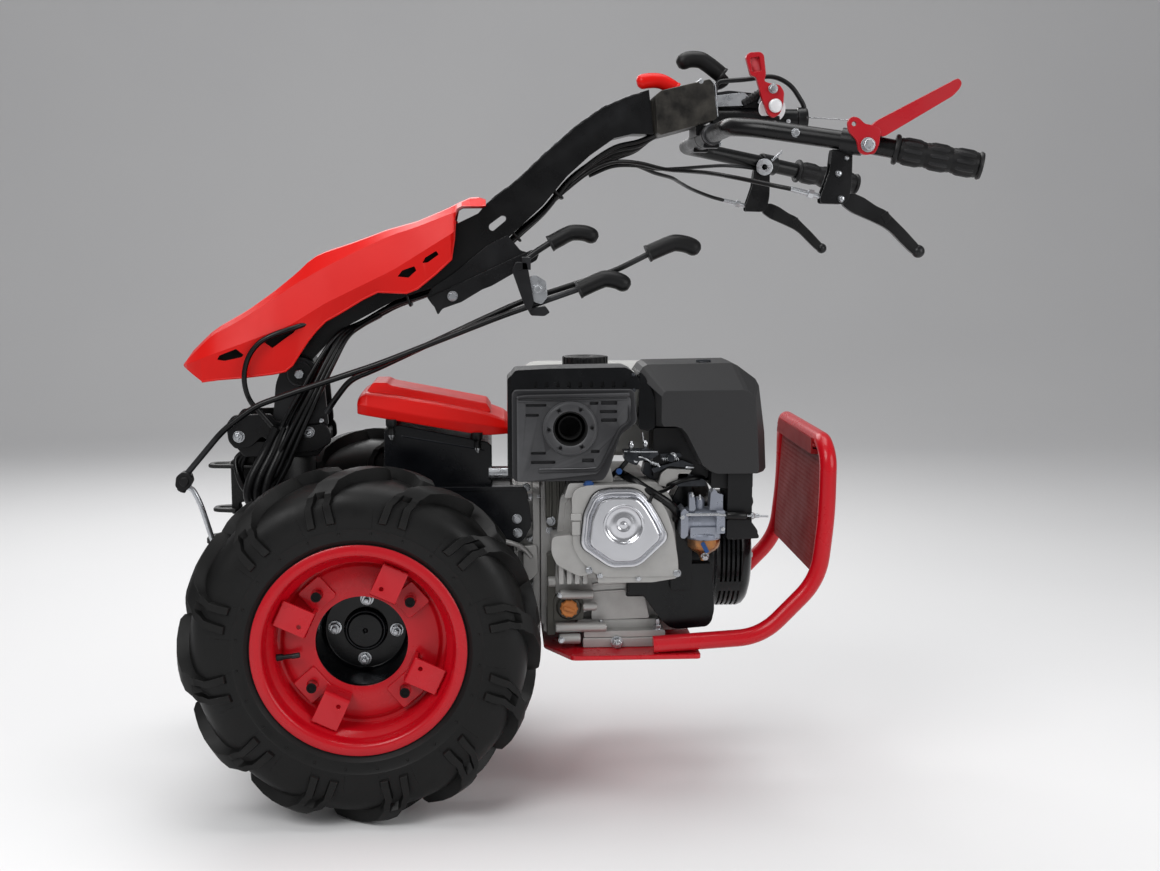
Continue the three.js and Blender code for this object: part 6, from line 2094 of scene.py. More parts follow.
@dataclass
class Column:
    """Box column with the serrated rod bracket, the head box and the hooked knobs."""

    shop: Shop
    top: list[Flat] = field(default_factory=lambda: [
        (-128, 446), (-110, 486), (-75, 542), (20, 604), (120, 650), (191, 684), (205, 700), (228, 720), (240, 727),
        (262, 745), (300, 781), (355, 829), (400, 860), (440, 877), (478, 889)])
    under: list[Flat] = field(default_factory=lambda: [
        (-90, 440), (-43, 489), (50, 539), (126, 564), (177, 603), (228, 631), (300, 697), (340, 745), (380, 781),
        (420, 809), (450, 816), (486, 816)])

    def build(self) -> None:
        """Make the beam, the bracket, the head box and the knobs."""
        make = self.shop.make
        make(self.beam(), "column.beam", "column", BLACK_COAT, "black_paint", ("column",), bevel=1.8, segments=3,
             limit=22)
        make(self.welds(), "column.welds", "column", BLACK_COAT, "black_paint", limit=60)
        make(self.bracket(), "rod_bracket.plate", "column", BLACK_COAT, "black_paint", ("rod_bracket",), bevel=0.8,
             segments=2)
        make(self.bracket_fork(), "rod_bracket.fork", "column", ZINC, "pressed_steel", bevel=0.8, segments=2)
        make(self.hook([(310, 633), (325, 641), (340, 649), (352, 652), (372, 650), (390, 641)], -53, 13.5),
             "rod_bracket.knob", "column", GRIP_RUBBER, "grip_rubber", limit=60)
        make(self.head(), "head_box.box", "column", SCUFFED_STEEL, "bare_steel", ("head_box",), bevel=1.6, segments=3)
        make(self.hook([(608, 916), (594, 927), (580, 937), (568, 943), (548, 943), (531, 934)], 10, 14),
             "head_box.knob_black", "column", GRIP_RUBBER, "grip_rubber", limit=60)
        make(self.hook([(524, 888), (512, 896), (500, 902), (488, 904), (472, 903), (458, 899)], -30, 12.5),
             "head_box.knob_red", "column", RED_ABS, "red_plastic", limit=60)
        make(self.head_fittings(), "head_box.fittings", "column", ZINC, "pressed_steel", bevel=0.6, segments=2)
        make(self.stems(), "head_box.stems", "column", BLACK_COAT, "black_paint", limit=50)

    def beam(self) -> Form:
        """Tapering box with a rounded foot round the tilt pin and a slot near its middle."""
        eye = [(-110 + 30 * math.cos(t), 417 + 30 * math.sin(t)) for t in
               (math.radians(a) for a in (140, 165, 190, 215, 240, 265, 290, 315, 340, 5))]
        outline = [*self.top[::-1], *eye, *self.under]
        form = Form().prism(outline, -32, 32)
        tool = Form().prism(round_corners([(209, 658), (215, 654), (238, 673), (238, 679), (231, 681), (209, 665)],
                                          3, 3), -40, 40)
        tool.prism(circle(-110, 417, 10, 24), -40, 40)
        form.cut(tool)
        for x in (30, 120):
            base = along_line(self.top, x)
            form.prism(rectangle(x - 12, x + 12, -18, 18, 3), base - 6, base + 14 + (x < 100) * 20, Along.Z)
        return form

    def welds(self) -> Form:
        """Beads along the upper edges."""
        form = Form()
        for side in (-1, 1):
            line = []
            for k in range(46):
                x = 214 + 5.6 * k
                line.append(Vector((x, side * 31.6, along_line(self.top, x) - 1.6 + 0.5 * math.sin(2.1 * k))))
            form.tube(line, [1.9 + 0.4 * math.sin(1.7 * k) for k in range(46)], 8)
        return form

    def hook(self, route: list[Flat], y: float, radius: float) -> Form:
        """Hooked hand knob: a thick sleeve, square where the stem enters it and rounded at its tip.

        Args:
            route: Its middle line, as pairs of x and z.
            y: Its place across the machine.
            radius: Radius of the sleeve.

        Returns:
            The knob.
        """
        line = smooth_line([(x, y, z) for x, z in route], 6)
        radii = [radius] * len(line)
        radii[0] *= 0.94
        for k, share in enumerate((0.42, 0.74, 0.9, 0.97)):
            radii[-1 - k] *= share
        form = Form().tube(line, radii, 24)
        return form.turned([(0, 0), (radius * 1.06, 0), (radius * 1.06, 3), (radius, 4.5), (0, 4.5)],
                           tuple(line[0]), tuple(line[2] - line[0]), 24)

    def bracket(self) -> Form:
        """Serrated plate, its standing foot and the guide for the control rods."""
        plate = [(103, 545), (112, 532), (124, 519), (129, 529), (150, 532), (161, 543), (190, 556), (216, 574),
                 (246, 589), (252, 606), (277, 606), (279, 618), (262, 622), (240, 648), (205, 630), (150, 585),
                 (112, 560)]
        form = Form().prism(round_corners(plate, 3, 2), -37.3, -32.6)
        rail = [(109, 545), (122, 514), (130, 525), (162, 536), (197, 557), (213, 563), (264, 592), (289, 606),
                (293, 617), (282, 624), (259, 614), (171, 573), (139, 558)]
        form.prism(round_corners(rail, 3, 2), -43, -37)
        form.box((262, -147, 592), (276, -34.5, 612))
        left = [(246, 590), (252, 604), (270, 604), (281, 541), (276, 526), (268, 529), (261, 547)]
        form.prism(round_corners(left, 3), -147, -138)
        form.prism(round_corners(left, 3), -103, -97)
        form.prism(round_corners([(270, 529), (300, 533), (307, 523), (298, 517), (276, 518)], 3),
                   -143, -99)
        form.tube(bent_line([(268, -53, 606), (290, -53, 622), (312, -53, 636)], 6), 5.5, 12)
        return form

    def bracket_fork(self) -> Form:
        """Bright fork that the two rods slide in, with its bolt."""
        form = Form()
        form.prism(round_corners([(266, 578), (284, 584), (301, 573), (303, 548), (294, 536), (281, 540), (276, 560)],
                                 3), -142, -136)
        form.prism(round_corners([(266, 576), (286, 583), (300, 572), (298, 560), (272, 562)], 3), -106, -100)
        form.bolt((287, -142, 561), (0, -1, 0), 12, True)
        form.bolt((147, -43, 546), (0, -1, 0), 13, True)
        form.rod((287, -142, 561), (287, -98, 561), 3.5, 14)
        return form

    def head(self) -> Form:
        """Head box: a folded shell with a cover plate on its near side."""
        outline = [(484, 876), (494, 884), (574, 903), (581, 897), (587, 840), (580, 835), (494, 812), (488, 816)]
        form = Form().prism(round_corners(outline, 2, 2), -72.5, 70)
        form.box((472, -26, 818), (490, 26, 872))
        return form

    def head_fittings(self) -> Form:
        """Bolts, pivots and the plated block between head box and console."""
        form = Form()
        form.bolt((582, -40, 808), (0.3, -1, -0.4), 20, True, 4)
        form.bolt((594, -46, 799), (0, -1, 0), 9, False)
        form.tube([Vector((578, -73, 899.5)), Vector((583.5, -73, 893)), Vector((588, -73, 842))], 1.2, 8)
        form.prism(round_corners([(588, 862), (590, 880), (640, 886), (652, 876), (640, 864)], 4), -26, -2)
        form.rod((560, -73, 899), (560, 40, 899), 4.5, 16, 1)
        return form

    def stems(self) -> Form:
        """Stems of the two knobs."""
        form = Form()
        form.tube(bent_line([(586, 10, 896), (606, 10, 900), (616, 10, 908), (608, 10, 916)], 8), 6, 14)
        form.tube(bent_line([(536, -30, 880), (528, -30, 885), (520, -30, 890)], 4), 6, 14)
        return form


@dataclass
class Console:
    """Capped console tube, its hoop, the red stop lever and the crossbar."""

    shop: Shop
    y: float = -10.0

    def build(self) -> None:
        """Make the console and what is fixed to it."""
        make = self.shop.make
        make(self.tube(), "control_console.tube", "column", BLACK_COAT, "black_paint", ("control_console",),
             bevel=1.0, segments=2)
        make(self.hoop(), "control_console.hoop", "column", BLACK_COAT, "black_paint", limit=50)
        make(self.fittings(), "control_console.fittings", "column", ZINC, "pressed_steel", bevel=0.5, segments=1)
        make(self.damper(), "control_console.damper", "column", BLACK_NYLON, "black_plastic", bevel=0.8, segments=2)
        make(self.lever(), "stop_lever.blade", "column", CRIMSON_NYLON, "red_plastic", ("stop_lever",), bevel=1.2,
             segments=3)
        # The washer's near-white colour is a painted reflection of the bright room.
        make(self.washer(), "stop_lever.washer", "column", ZINC_PAINTED_REFLECTION, "pressed_steel", bevel=0.5, segments=2)
        make(self.crossbar(), "crossbar.sleeve", "column", BLACK_COAT, "black_paint", ("crossbar",), bevel=1.5,
             segments=3)

    def tube(self) -> Form:
        """Tube with a collar, a sleeve and an end cap."""
        form = Form().turned(
            [(0, 586), (19, 586), (19, 700), (17, 702), (17, 732), (20, 733), (20, 747), (18, 750), (0, 750)],
            (0, self.y, 843), (1, 0, 0), 48)
        form.prism(round_corners([(590, 858), (590, 886), (616, 890), (676, 884), (700, 876), (700, 856)], 5),
                   self.y - 5, self.y + 5)
        return form

    def hoop(self) -> Form:
        """Flat hoop over the console, from the head box to the end cap."""
        line = bent_line([(592, self.y, 880), (594, self.y, 905), (650, self.y, 909), (690, self.y, 916),
                          (722, self.y, 901), (745, self.y, 866), (746, self.y, 850)], 18)
        return Form().tube(line, 5.4, 14, flat=0.75)

    def fittings(self) -> Form:
        """Clamps, the bright sleeve and screws."""
        form = Form()
        form.tube(smooth_line([(664, self.y - 16, 868), (670, self.y - 20, 882), (682, self.y - 22, 896)]), 2.2, 10)
        form.bolt((714, self.y - 20, 838), (0, -1, 0), 7, False)
        form.bolt((684, self.y - 40, 890), (0, -1, 0), 12, True)
        form.rod((687, self.y - 16, 899), (687, self.y + 12, 899), 3, 12)
        return form

    def damper(self) -> Form:
        """Black spring damper between hoop and lever."""
        form = Form().rod((636, self.y - 12, 867), (684, self.y - 12, 893), 7, 20, 2)
        coil = [Vector((642 + 0.6 * k, self.y - 12 + 8 * math.cos(k * 0.75), 871 + 0.32 * k + 8 * math.sin(k * 0.75)))
                for k in range(60)]
        return form.tube(coil, 1.4, 6)

    def lever(self) -> Form:
        """Red stop lever with a window in its upper end."""
        outline = [(637, 942), (643, 949), (662, 950), (668, 945), (672, 914), (669, 902), (678, 899), (696, 896),
                   (703, 885), (702, 864), (696, 848), (686, 842), (676, 848), (667, 870), (655, 909), (646, 911)]
        form = Form().prism(round_corners(outline, 4, 3), self.y - 40, self.y - 28)
        tool = Form().prism(round_corners([(649, 917), (645, 940), (660, 942), (664, 919)], 1.5),
                            self.y - 44, self.y - 34)
        return form.cut(tool)

    def washer(self) -> Form:
        """Bright washer and pin of the lever."""
        form = Form()
        form.turned([(8, 14), (22, 14), (23, 15.5), (23, 17), (22, 18.5), (8, 18.5)], (687, self.y, 859), (0, -1, 0),
                    48)
        form.turned([(0, 5.4), (5, 5.4), (5, 41), (11.5, 41), (11.5, 44), (9, 46.5), (0, 47)],
                    (688, self.y, 862), (0, -1, 0), 32)
        return form

    def crossbar(self) -> Form:
        """Socket bar under the head box, with clamp ears."""
        form = Form()
        for side in (-1, 1):
            form.turned([(14.6, 2), (18, 2), (18, 79.5), (14.6, 79.5)], (578, 0, 812), (0, side, 0), 36)
            form.prism(round_corners([(564, 791), (592, 791), (590, 801), (566, 801)], 3), side * 50, side * 74)
        form.box((556, -44, 813), (579, 44, 830))
        form.turned([(0, -46), (17, -46), (17, 46), (0, 46)], (578, 0, 812), (0, 1, 0), 32)
        return form


# ---------------------------------------------------------------- handles


@dataclass
class Handle:
    """One handle tube with its grip, hand lever, clips and, on the right, the red lock lever."""

    shop: Shop
    side: str
    corner: Point = (578, -262, 812)
    arm: Point = (612, -293, 808)
    grip_bend: Point = (770, -353, 781)
    grip_start: Point = (808, -359.6, 773.3)
    end: Point = (928, -380.5, 749)
    lever_y: float = -333.0

    def build(self) -> None:
        """Make the tube, the grip, the lever and the fittings."""
        s = self.side
        self.make(self.tube(), f"handle_tube_{s}.tube", BLACK_COAT, "black_paint", (f"handle_tube_{s}",), limit=50)
        self.make(self.grip(), f"grip_{s}.rubber", GRIP_RUBBER, "grip_rubber", (f"grip_{s}",), limit=35)
        self.make(self.bracket(), f"hand_lever_{s}.bracket", BLACK_COAT, "black_paint", (f"hand_lever_{s}",),
                  bevel=1.6, segments=3)
        self.make(self.blade(), f"hand_lever_{s}.blade", BLACK_COAT, "black_paint", bevel=2.4, segments=4)
        self.make(self.bolts(), f"hand_lever_{s}.bolts", ZINC, "pressed_steel", bevel=0.4, segments=1)
        self.make(self.wire(), f"hand_lever_{s}.cable", CABLE_SHEATH, "cable_sheath", limit=60)
        if s == "right":
            self.make(self.lock(), "lock_lever.blade", CRIMSON_NYLON, "red_plastic", ("lock_lever",), bevel=1.6,
                      segments=3)
            self.make(self.lock_pins(), "lock_lever.pins", ZINC, "pressed_steel", bevel=0.4, segments=1)

    def make(self, form: Form, name: str, finish: Finish, slot: str, replaces: tuple[str, ...] = (),
             **soft: float) -> None:
        """Make a piece on this side's handle.

        Args:
            form: Its surfaces, drawn on the right-hand side.
            name: Its name.
            finish: Its finish.
            slot: The record's material slot.
            replaces: The nodes that it stands for.
            **soft: How its edges are softened.
        """
        placed = form if self.side == "right" else form.mirrored()
        self.shop.make(placed, name, "column", finish, slot, replaces, **soft)

    def tube(self) -> Form:
        """Bent handle tube from the crossbar to the end of the grip."""
        root = (578, -46.4, 812)
        line = bent_line([root, self.corner, self.arm, self.grip_bend, self.end], 30, 9)
        form = Form().tube(line, 14, 28)
        form.turned([(14.2, 0), (17, 1), (17, 13), (14.2, 14)], (578, -80.4, 812), (0, -1, 0), 32)
        return form

    def grip(self) -> Form:
        """Rubber grip in three lengths of raised pads with shallow rings between them."""
        start, end = Vector(self.grip_start), Vector(self.end)
        length = (end - start).length
        profile: list[Flat] = [(14.6, 0), (21.5, 0), (22.5, 2), (22.5, 5), (20.5, 7)]
        cells = 3
        for k in range(cells):
            a, b = 7 + (length - 7) * k / cells, 7 + (length - 7) * (k + 1) / cells
            profile += [(18.0, a + 0.5), (18.8, a + 3), (19.2, (a + b) / 2), (18.8, b - 3), (18.0, b - 0.5)]
        profile += [(20.4, length + 1), (20.8, length + 3), (19, length + 6.4), (0, length + 7), (0, length + 0.4),
                    (14.6, length + 0.4)]
        form = Form().turned(profile, self.grip_start, tuple(end - start), 48)
        axis = (end - start).normalized()
        turn = Matrix.Translation(start) @ frame_of(axis)
        for k in range(10):
            t = 2 * math.pi * k / 10
            for cell in range(cells):
                a, b = 13 + (length - 7) * cell / cells, 1 + (length - 7) * (cell + 1) / cells
                line = [turn @ Vector((17.2 * math.cos(t), 17.2 * math.sin(t), h)) for h in (a, a + 5, b - 5, b)]
                form.tube(line, [2.6, 4.0, 4.0, 2.6], 8)
        return form

    def bracket(self) -> Form:
        """Clamp round the tube and the drop plate that carries the lever."""
        form = Form()
        y = self.lever_y
        plate = [(719, 772), (750, 770), (750, 724), (746, 700), (738, 693), (703, 694), (703, 704), (716, 742)]
        form.prism(round_corners(plate, 4, 3), y - 12, y - 8)
        form.prism(round_corners(plate, 4, 3), y + 8, y + 12)
        form.prism(round_corners([(718, 752), (750, 750), (750, 772), (719, 774)], 3), y - 10, y + 10)
        axis = (Vector(self.grip_bend) - Vector(self.arm)).normalized()
        middle = Vector(self.arm) + axis * 132
        form.turned([(14.5, 0), (19, 0), (19, 32), (14.5, 32)], tuple(middle), tuple(axis), 36)
        return form

    def blade(self) -> Form:
        """Hand lever: a pressed blade that ends in a ball."""
        y = self.lever_y
        outline = [(737, 692), (742, 707), (753, 710), (770, 703), (790, 690), (804, 684), (814, 674), (834, 655),
                   (854, 634), (862, 624), (855, 615), (845, 620), (828, 636), (812, 652), (800, 660), (778, 670),
                   (752, 681)]
        form = Form().prism(round_corners(outline, 5, 4), y - 7, y + 5)
        form.prism(round_corners([(796, 676), (806, 684), (812, 672), (804, 664)], 3), y - 8.4, y + 6)
        form.ball((856, y - 1, 623), 10)
        return form

    def bolts(self) -> Form:
        """Clamp bolts, pivot, adjuster and tube clips in bright plate."""
        form = Form()
        y = self.lever_y
        for x, z, across in ((729, 738, 11), (734, 701, 11), (741, 761, 8)):
            form.bolt((x, y - 12, z), (0, -1, 0), across, False, hexagon=False)
        form.rod((660, y, 716), (704, y, 705), 4.2, 18, 0.6)
        form.turned([(0, 0), (7.5, 0), (7.5, 8), (0, 8)], (694, y, 707.5), (-1, 0, 0.25), 6)
        form.rod((704, y, 705), (740, y, 698), 1.3, 8)
        axis = (Vector(self.grip_bend) - Vector(self.arm)).normalized()
        place = Vector(self.arm) + axis * 60
        form.bolt(tuple(place + Vector((0, -13.6, 0))), (0, -1, 0), 10, True)
        form.bolt((768, -366, 786), (0, -1, 0.1), 12, True)
        if self.side == "right":
            form.rod((746, -16, 846), (750, -376, 813), 0.9, 8)
        else:
            form.turned([(5.5, 0), (16, 0), (16, 5), (5.5, 5)], (738, y + 15, 778), (0, 1, 0), 36)
            coil = [Vector((752 + 0.34 * k, y + 17 + 3 * math.cos(0.8 * k), 790 + 0.3 * k + 3 * math.sin(0.8 * k)))
                    for k in range(60)]
            form.tube(coil, 0.9, 6)
        return form

    def wire(self) -> Form:
        """Control cable from the lever's adjuster back to the column."""
        y = self.lever_y
        route = [(664, y, 715), (634, y + 16, 722), (592, y + 66, 734), (560, y + 134, 744), (536, y + 204, 750),
                 (500, -74, 756), (460, -36, 768), (420, -18, 770), (380, -14, 754), (340, -12, 724), (318, -11, 704)]
        form = Form().tube(smooth_line(route), 3.4, 12)
        if self.side == "left":
            second = [(728, y, 775), (690, y + 43, 777), (640, y + 133, 775), (590, y + 213, 769), (540, -60, 763),
                      (500, -30, 761), (460, -18, 766), (420, -12, 764), (380, -12, 748)]
            form.tube(smooth_line(second), 3.2, 12)
        return form

    def lock(self) -> Form:
        """Red lock lever: an ear at its pivot and a long blade above the grip."""
        y = self.grip_bend[1] - 14
        form = Form()
        ear = [(732, 812), (739, 819), (749, 817), (758, 808), (767, 807), (782, 801), (780, 779), (774, 765),
               (758, 763), (750, 768), (747, 784), (734, 797)]
        plate = Form().prism(round_corners(ear, 5, 4), y - 16, y - 9)
        plate.cut(Form().prism(circle(742, 808, 3.4, 16), y - 20, y - 5))
        form.join(plate)
        blade = [(764, 802), (776, 813), (886, 870), (895, 875), (901, 868), (898, 860), (888, 849), (786, 789)]
        form.prism(round_corners(blade, 5, 4), y - 14, y - 3)
        form.prism(round_corners([(776, 801), (786, 814), (884, 866), (894, 872), (899, 866), (888, 852),
                                  (794, 795)], 5, 4), y - 8, y + 16)
        return form

    def lock_pins(self) -> Form:
        """Pivot bolt of the lock lever and its spring."""
        y = self.grip_bend[1] - 14
        form = Form().bolt((763, y - 16, 778), (0, -1, 0), 16, True)
        form.rod((763, y - 16, 778), (763, y - 1.2, 778), 5, 16)
        coil = [Vector((763 + 9 * math.cos(0.6 * k), y - 8 + 0.09 * k, 778 + 9 * math.sin(0.6 * k)))
                for k in range(70)]
        return form.tube(coil, 1.1, 6)


# ---------------------------------------------------------------- control rods and cables


@dataclass
class ControlRods:
    """Gear selector rod and drive rod, each with a hooked knob, running down past the turret."""

    shop: Shop

    def build(self) -> None:
        """Make the rods, the knobs and the lower link."""
        make = self.shop.make
        column = Column(self.shop)
        make(self.speed(), "speed_rod.rod", "column", BLACK_COAT, "black_paint", ("speed_rod",), limit=50)
        make(self.drive(), "drive_rod.rod", "column", BLACK_COAT, "black_paint", ("drive_rod",), limit=50)
        make(column.hook([(353, 558), (370, 566), (386, 573), (400, 577), (420, 573), (437, 563)], -129, 14),
             "speed_rod.knob", "column", GRIP_RUBBER, "grip_rubber", limit=60)
        make(column.hook([(468, 617), (486, 625), (503, 632), (516, 635), (537, 631), (554, 621)], -112, 14),
             "drive_rod.knob", "column", GRIP_RUBBER, "grip_rubber", limit=60)
        make(self.link(), "speed_rod.link", "column", ZINC, "pressed_steel", limit=50)
        make(self.joint(), "speed_rod.joint", "column", GRIP_RUBBER, "black_paint", bevel=2, segments=3)

    def speed(self) -> Form:
        """Rod with a set near the turret and a joint block at its end."""
        y = -129
        line = bent_line([(362, y, 563), (226, y, 516), (30, y, 440), (-109, y, 394), (-170, y, 373), (-200, y, 352),
                          (-228, y, 330), (-289, y, 258)], 24, 6)
        form = Form().tube(line, 5, 16)
        return form

    def joint(self) -> Form:
        """Knotted joint block that grips the rod and the link."""
        y = -129
        form = Form().prism(round_corners([(-304, 242), (-302, 258), (-292, 266), (-280, 263), (-276, 250),
                                           (-284, 236), (-296, 233)], 4), y - 11, y + 11)
        form.rod((-289, y - 14, 250), (-289, y + 14, 250), 8, 20, 1.5)
        form.rod((-297, y, 232), (-283, y, 262), 7.5, 18, 1.5)
        return form

    def drive(self) -> Form:
        """Rod that ends beside the turret's ear."""
        y = -112
        line = bent_line([(476, y, 620), (414, y, 589), (259, y, 539), (193, y, 509), (16, y, 427), (-20, y, 413),
                          (-46, y + 10, 380), (-62, y + 24, 356)], 24, 6)
        return Form().tube(line, 5, 16)

    def link(self) -> Form:
        """Bent bright rod below the joint block."""
        y = -129
        line = bent_line([(-296, y, 240), (-279, y, 238), (-266, y, 212), (-248, y, 150)], 14, 6)
        return Form().tube(line, 4.6, 16)


@dataclass
class Cables:
    """Control cables under the column, the loops beside the turret and their ties."""

    shop: Shop

    def build(self) -> None:
        """Make the bundle, the loops that bend with the tilt joint and the ties."""
        make = self.shop.make
        make(self.bundle(), "column_cables.cables", "column", CABLE_SHEATH, "cable_sheath", ("column_cables",),
             limit=60)
        make(self.ties(), "column_cables.ties", "column", BLACK_NYLON, "black_plastic", bevel=0.6, segments=2)
        make(self.turret_loop(), "turret_cables.cables", "turret", CABLE_SHEATH, "cable_sheath", ("turret_cables",),
             limit=60)
        make(self.descent(), "turret_cables.descent", "column", CABLE_SHEATH, "cable_sheath", limit=60,
             between=("turret", (-46, 0, 476), (-112, 0, 330)))
        make(self.notch_cable(), "turret_cables.notch_cable", "column", CABLE_SHEATH, "cable_sheath", limit=60,
             between=("turret", (-176, 0, 470), (-196, 0, 372)))

    def bundle(self) -> Form:
        """Six cables side by side along the underside of the column."""
        under = Column(self.shop).under
        form = Form()
        for k in range(6):
            y = -15 + 6 * k
            drop = 2.0 + 1.6 * (k % 2) + 1.0 * math.sin(1.7 * k)
            route = []
            for i, x in enumerate((20, 50, 88, 126, 152, 177, 202, 228, 262, 300, 340, 380, 420, 460, 492)):
                sag = drop + 3 + 3.0 * math.sin(0.9 * i + 0.8 * k)
                belly = table_value([(262, 0), (340, 5), (380, 12), (420, 20), (460, 14), (492, -14)], x)
                sag += belly * (0.6 + 0.1 * k)
                route.append((x + 3, y + 1.5 * math.sin(i + k), along_line(under, x) - sag))
            form.tube(smooth_line(route, 5), 4.0, 10)
        return form

    def descent(self) -> Form:
        """The same six cables from the column down past the tilt pin."""
        under = Column(self.shop).under
        form = Form()
        for k in range(6):
            a, b = k % 3, k // 3
            y = -15 + 6 * k
            route = [(23, y, along_line(under, 20) - 10 - k % 2), (-4, y - 3, along_line(under, -4) - 12),
                     (-30 - 3 * a, -30 - 7 * b, 478 + 4 * a), (-50 - 5 * a, -54 - 6 * b - 2 * a, 440 + 3 * a),
                     (-72 - 7 * a, -66 - 8 * b - 2 * a, 394), (-94 - 9 * a, -74 - 8 * b, 346),
                     (-114 - 11 * a, -80 - 8 * b, 300), (-128 - 11 * a, -82 - 7 * b, 268)]
            form.tube(smooth_line(route, 6), 4.2, 10)
        for k in range(4):
            y = -12 + 7 * k
            route = [(30, y, along_line(under, 30) - 5), (-6, y - 2, along_line(under, -6) - 7),
                     (-38 - 2 * k, -18 - 9 * k, 484), (-62 - 4 * k, -34 - 10 * k, 444),
                     (-84 - 6 * k, -50 - 8 * k, 396), (-106 - 8 * k, -60 - 6 * k, 348),
                     (-122 - 9 * k, -66 - 5 * k, 306), (-132 - 9 * k, -70 - 4 * k, 276)]
            form.tube(smooth_line(route, 6), 3.6, 10)
        return form

    def notch_cable(self) -> Form:
        """Cable that loops out of the cowl's opening and in again behind the turret's ear."""
        route = [(-70, -66, 512), (-96, -84, 502), (-120, -95, 494), (-146, -98, 485), (-170, -98, 471),
                 (-188, -97, 446), (-195, -95, 412), (-188, -90, 378), (-168, -80, 350), (-146, -74, 318),
                 (-138, -76, 280)]
        return Form().tube(smooth_line(route, 6), 4.4, 12)

    def ties(self) -> Form:
        """Straps that hold the bundle up."""
        under = Column(self.shop).under
        form = Form()
        for x in (70, 160, 250, 320):
            z = along_line(under, x)
            rise = along_line(under, x + 4) - along_line(under, x - 4)
            ring = round_corners(rectangle(-26, 26, -17, 6, 6), 4)
            turn = Matrix.Translation((x, 0, z)) @ Matrix.Rotation(-math.atan2(rise, 8), 4, "Y")
            strap = Form().tube([Vector((0, y, h)) for y, h in ring], 2.6, 8, closed=True)
            form.join(strap.moved(turn))
        return form

    def turret_loop(self) -> Form:
        """The ends of the cables: loops beside the turret's post and behind it."""
        form = Form()
        for k in range(6):
            a, b = k % 3, k // 3
            low = 206 + 9 * a - 3 * b
            route = [(-126 - 11 * a, -82 - 7 * b, 272), (-140 - 12 * a, -84 - 6 * b, 246),
                     (-160 - 12 * a, -80 - 4 * b, low + 14), (-184 - 8 * a, -66 - 4 * b, low),
                     (-206 - 5 * a, -44 - 3 * b, low + 16), (-216 - 4 * a, -26, low + 44), (-204 - 3 * a, -24, 284)]
            form.tube(smooth_line(route, 6), 4.4, 10)
        for k in range(3):
            route = [(-128 - 9 * k, -70 - 6 * k, 330), (-140 - 12 * k, -84, 292), (-160 - 14 * k, -96, 246),
                     (-164 - 14 * k, -100, 212), (-146 - 10 * k, -98, 186), (-116, -92 + 3 * k, 178)]
            form.tube(smooth_line(route, 6), 8.0, 12)
        return form


def assemblies(shop: Shop) -> list:
    """Every sub-assembly of the machine, in the order it is built."""
    return [Wheel(shop, "right"), Wheel(shop, "left"), Cowl(shop), Hood(shop), Exhaust(shop), FuelTank(shop),
            AirCleaner(shop), Cylinder(shop), Carburettor(shop), Transmission(shop), FanHousing(shop),
            Bumper(shop), Turret(shop), Column(shop), Console(shop), Handle(shop, "right"), Handle(shop, "left"),
            ControlRods(shop), Cables(shop)]


# ---------------------------------------------------------------- studio


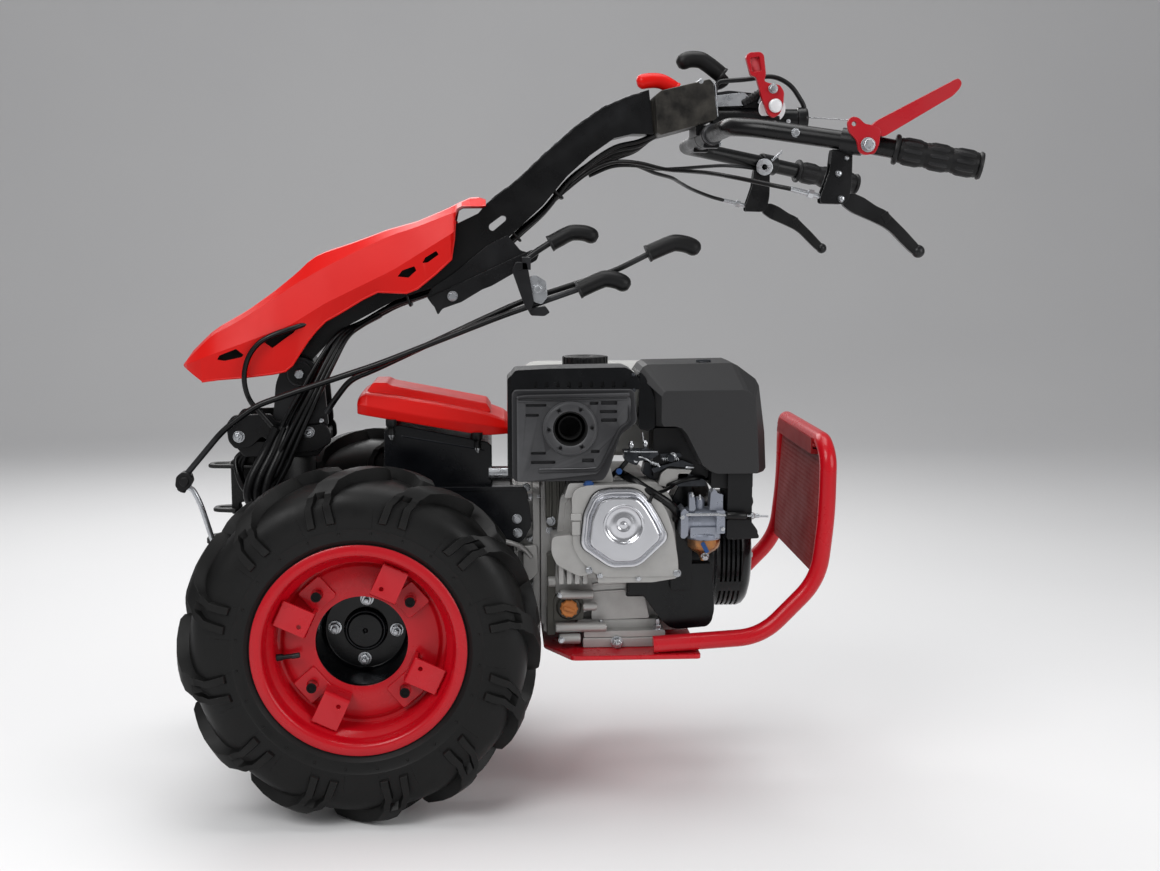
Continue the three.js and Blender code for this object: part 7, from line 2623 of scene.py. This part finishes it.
@dataclass
class Studio:
    """Pale floor, soft lamps and the camera."""

    shop: Shop
    lens_mm: float = 46.55
    sensor_mm: float = 36.0
    eye: Point = (210.8, -2582.7, 642.9)
    heading: float = 3.4
    pitch: float = 7.5

    def build(self) -> None:
        """Set up the stage, the light and the view."""
        scene = bpy.context.scene
        scene.view_settings.view_transform = "Standard"
        self.floor(scene)
        self.world(scene)
        middle = self.spot(200, 0, 250)
        self.lamp("key lamp", self.spot(-1500, -2600, 2700), middle, 1.9, 72)
        self.lamp("fill lamp", self.spot(2600, -2200, 1200), middle, 1.8, 34)
        self.lamp("rear lamp", self.spot(-600, 2600, 2300), middle, 2.0, 44)
        self.lamp("overhead lamp", self.spot(300, 200, 3200), middle, 2.2, 62)
        self.camera(scene)

    def spot(self, x: float, y: float, z: float) -> Vector:
        """A place in the room, in metres, from millimetres round the wheel axle."""
        return self.shop.origin + Vector((x, y, z)) * MM

    def floor(self, scene: bpy.types.Scene) -> None:
        """Lay a floor that curves up into a backdrop.

        Args:
            scene: The scene that it is added to.
        """
        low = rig.bounds()[0].z - 0.0005
        form = bmesh.new()
        rows = []
        rise = [(-9.0, 0.0), (4.0, 0.0)] + [
            (4.0 + 2.5 * math.sin(t), 2.5 * (1 - math.cos(t))) for t in (math.pi / 2 * k / 12 for k in range(1, 13))
        ] + [(6.5, 9.0)]
        for y, z in rise:
            rows.append([form.verts.new((x, y, low + z)) for x in (-14.0, 14.0)])
        for a, b in zip(rows, rows[1:]):
            form.faces.new((a[0], a[1], b[1], b[0]))
        mesh = bpy.data.meshes.new("studio_floor")
        form.to_mesh(mesh)
        form.free()
        for face in mesh.polygons:
            face.use_smooth = True
        paper = bpy.data.materials.new("pale backdrop paper")
        paper.use_nodes = True
        tree = paper.node_tree
        shader = tree.nodes["Principled BSDF"]
        shader.inputs["Roughness"].default_value = 0.9
        shader.inputs["Specular IOR Level"].default_value = 0.1
        place = node(tree, "ShaderNodeTexCoord")
        cloud = node(tree, "ShaderNodeTexNoise", {"Scale": 0.8, "Detail": 2.0}, {"Vector": place.outputs["Object"]})
        tone = node(tree, "ShaderNodeMix", {"data_type": "RGBA", 6: linear("e9e9e9"), 7: linear("e2e2e3")},
                    {"Factor": cloud.outputs["Fac"]})
        tree.links.new(tone.outputs[2], shader.inputs["Base Color"])
        mesh.materials.append(paper)
        item = bpy.data.objects.new("studio_floor", mesh)
        scene.collection.objects.link(item)
        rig.stage(item)

    def world(self, scene: bpy.types.Scene) -> None:
        """Even, pale light from all round."""
        sky = bpy.data.worlds.new("soft room")
        scene.world = sky
        sky.use_nodes = True
        back = sky.node_tree.nodes["Background"]
        back.inputs["Color"].default_value = linear("f2f2f4")
        back.inputs["Strength"].default_value = 0.32

    def lamp(self, name: str, place: Vector, aim: Vector, size: float, power: float) -> None:
        """Hang one square soft lamp.

        Args:
            name: Its name.
            place: Where it hangs, in metres.
            aim: The point it faces.
            size: Its width in metres.
            power: Its power in watts.
        """
        data = bpy.data.lights.new(name, "AREA")
        data.shape, data.size, data.energy = "SQUARE", size, power
        item = bpy.data.objects.new(name, data)
        item.location = place
        item.rotation_euler = (aim - place).to_track_quat("-Z", "Y").to_euler()
        bpy.context.scene.collection.objects.link(item)

    def camera(self, scene: bpy.types.Scene) -> None:
        """Set the camera at the right-hand side, a little above the handlebar's foot.

        Args:
            scene: The scene that it looks at.
        """
        data = bpy.data.cameras.new("side view")
        data.lens, data.sensor_width, data.sensor_fit = self.lens_mm, self.sensor_mm, "HORIZONTAL"
        data.clip_start, data.clip_end = 0.05, 60.0
        item = bpy.data.objects.new("side view", data)
        item.location = self.spot(*self.eye)
        item.rotation_euler = (math.radians(90 - self.pitch), 0.0, -math.radians(self.heading))
        scene.collection.objects.link(item)
        scene.camera = item


def corners(box: tuple[Vector, Vector]) -> list[list[float]]:
    """Two corners of a box as plain lists."""
    return [list(box[0]), list(box[1])]


def main() -> None:
    """Load the frame, build every sub-assembly round it and set up the studio."""
    logging.basicConfig(level=logging.INFO, format="%(message)s")
    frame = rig.load()
    cad_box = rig.bounds()
    shop = Shop.for_frame(frame["nodes"])
    Studio(shop).build()
    for sub in assemblies(shop):
        sub.build()
    LOG.info("%d pieces made", shop.count)
    with open(SIZE_FILE, "w", encoding="utf-8") as file:
        json.dump({"cad": corners(cad_box), "visual": corners(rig.bounds())}, file)


if __name__ == "__main__":
    main()
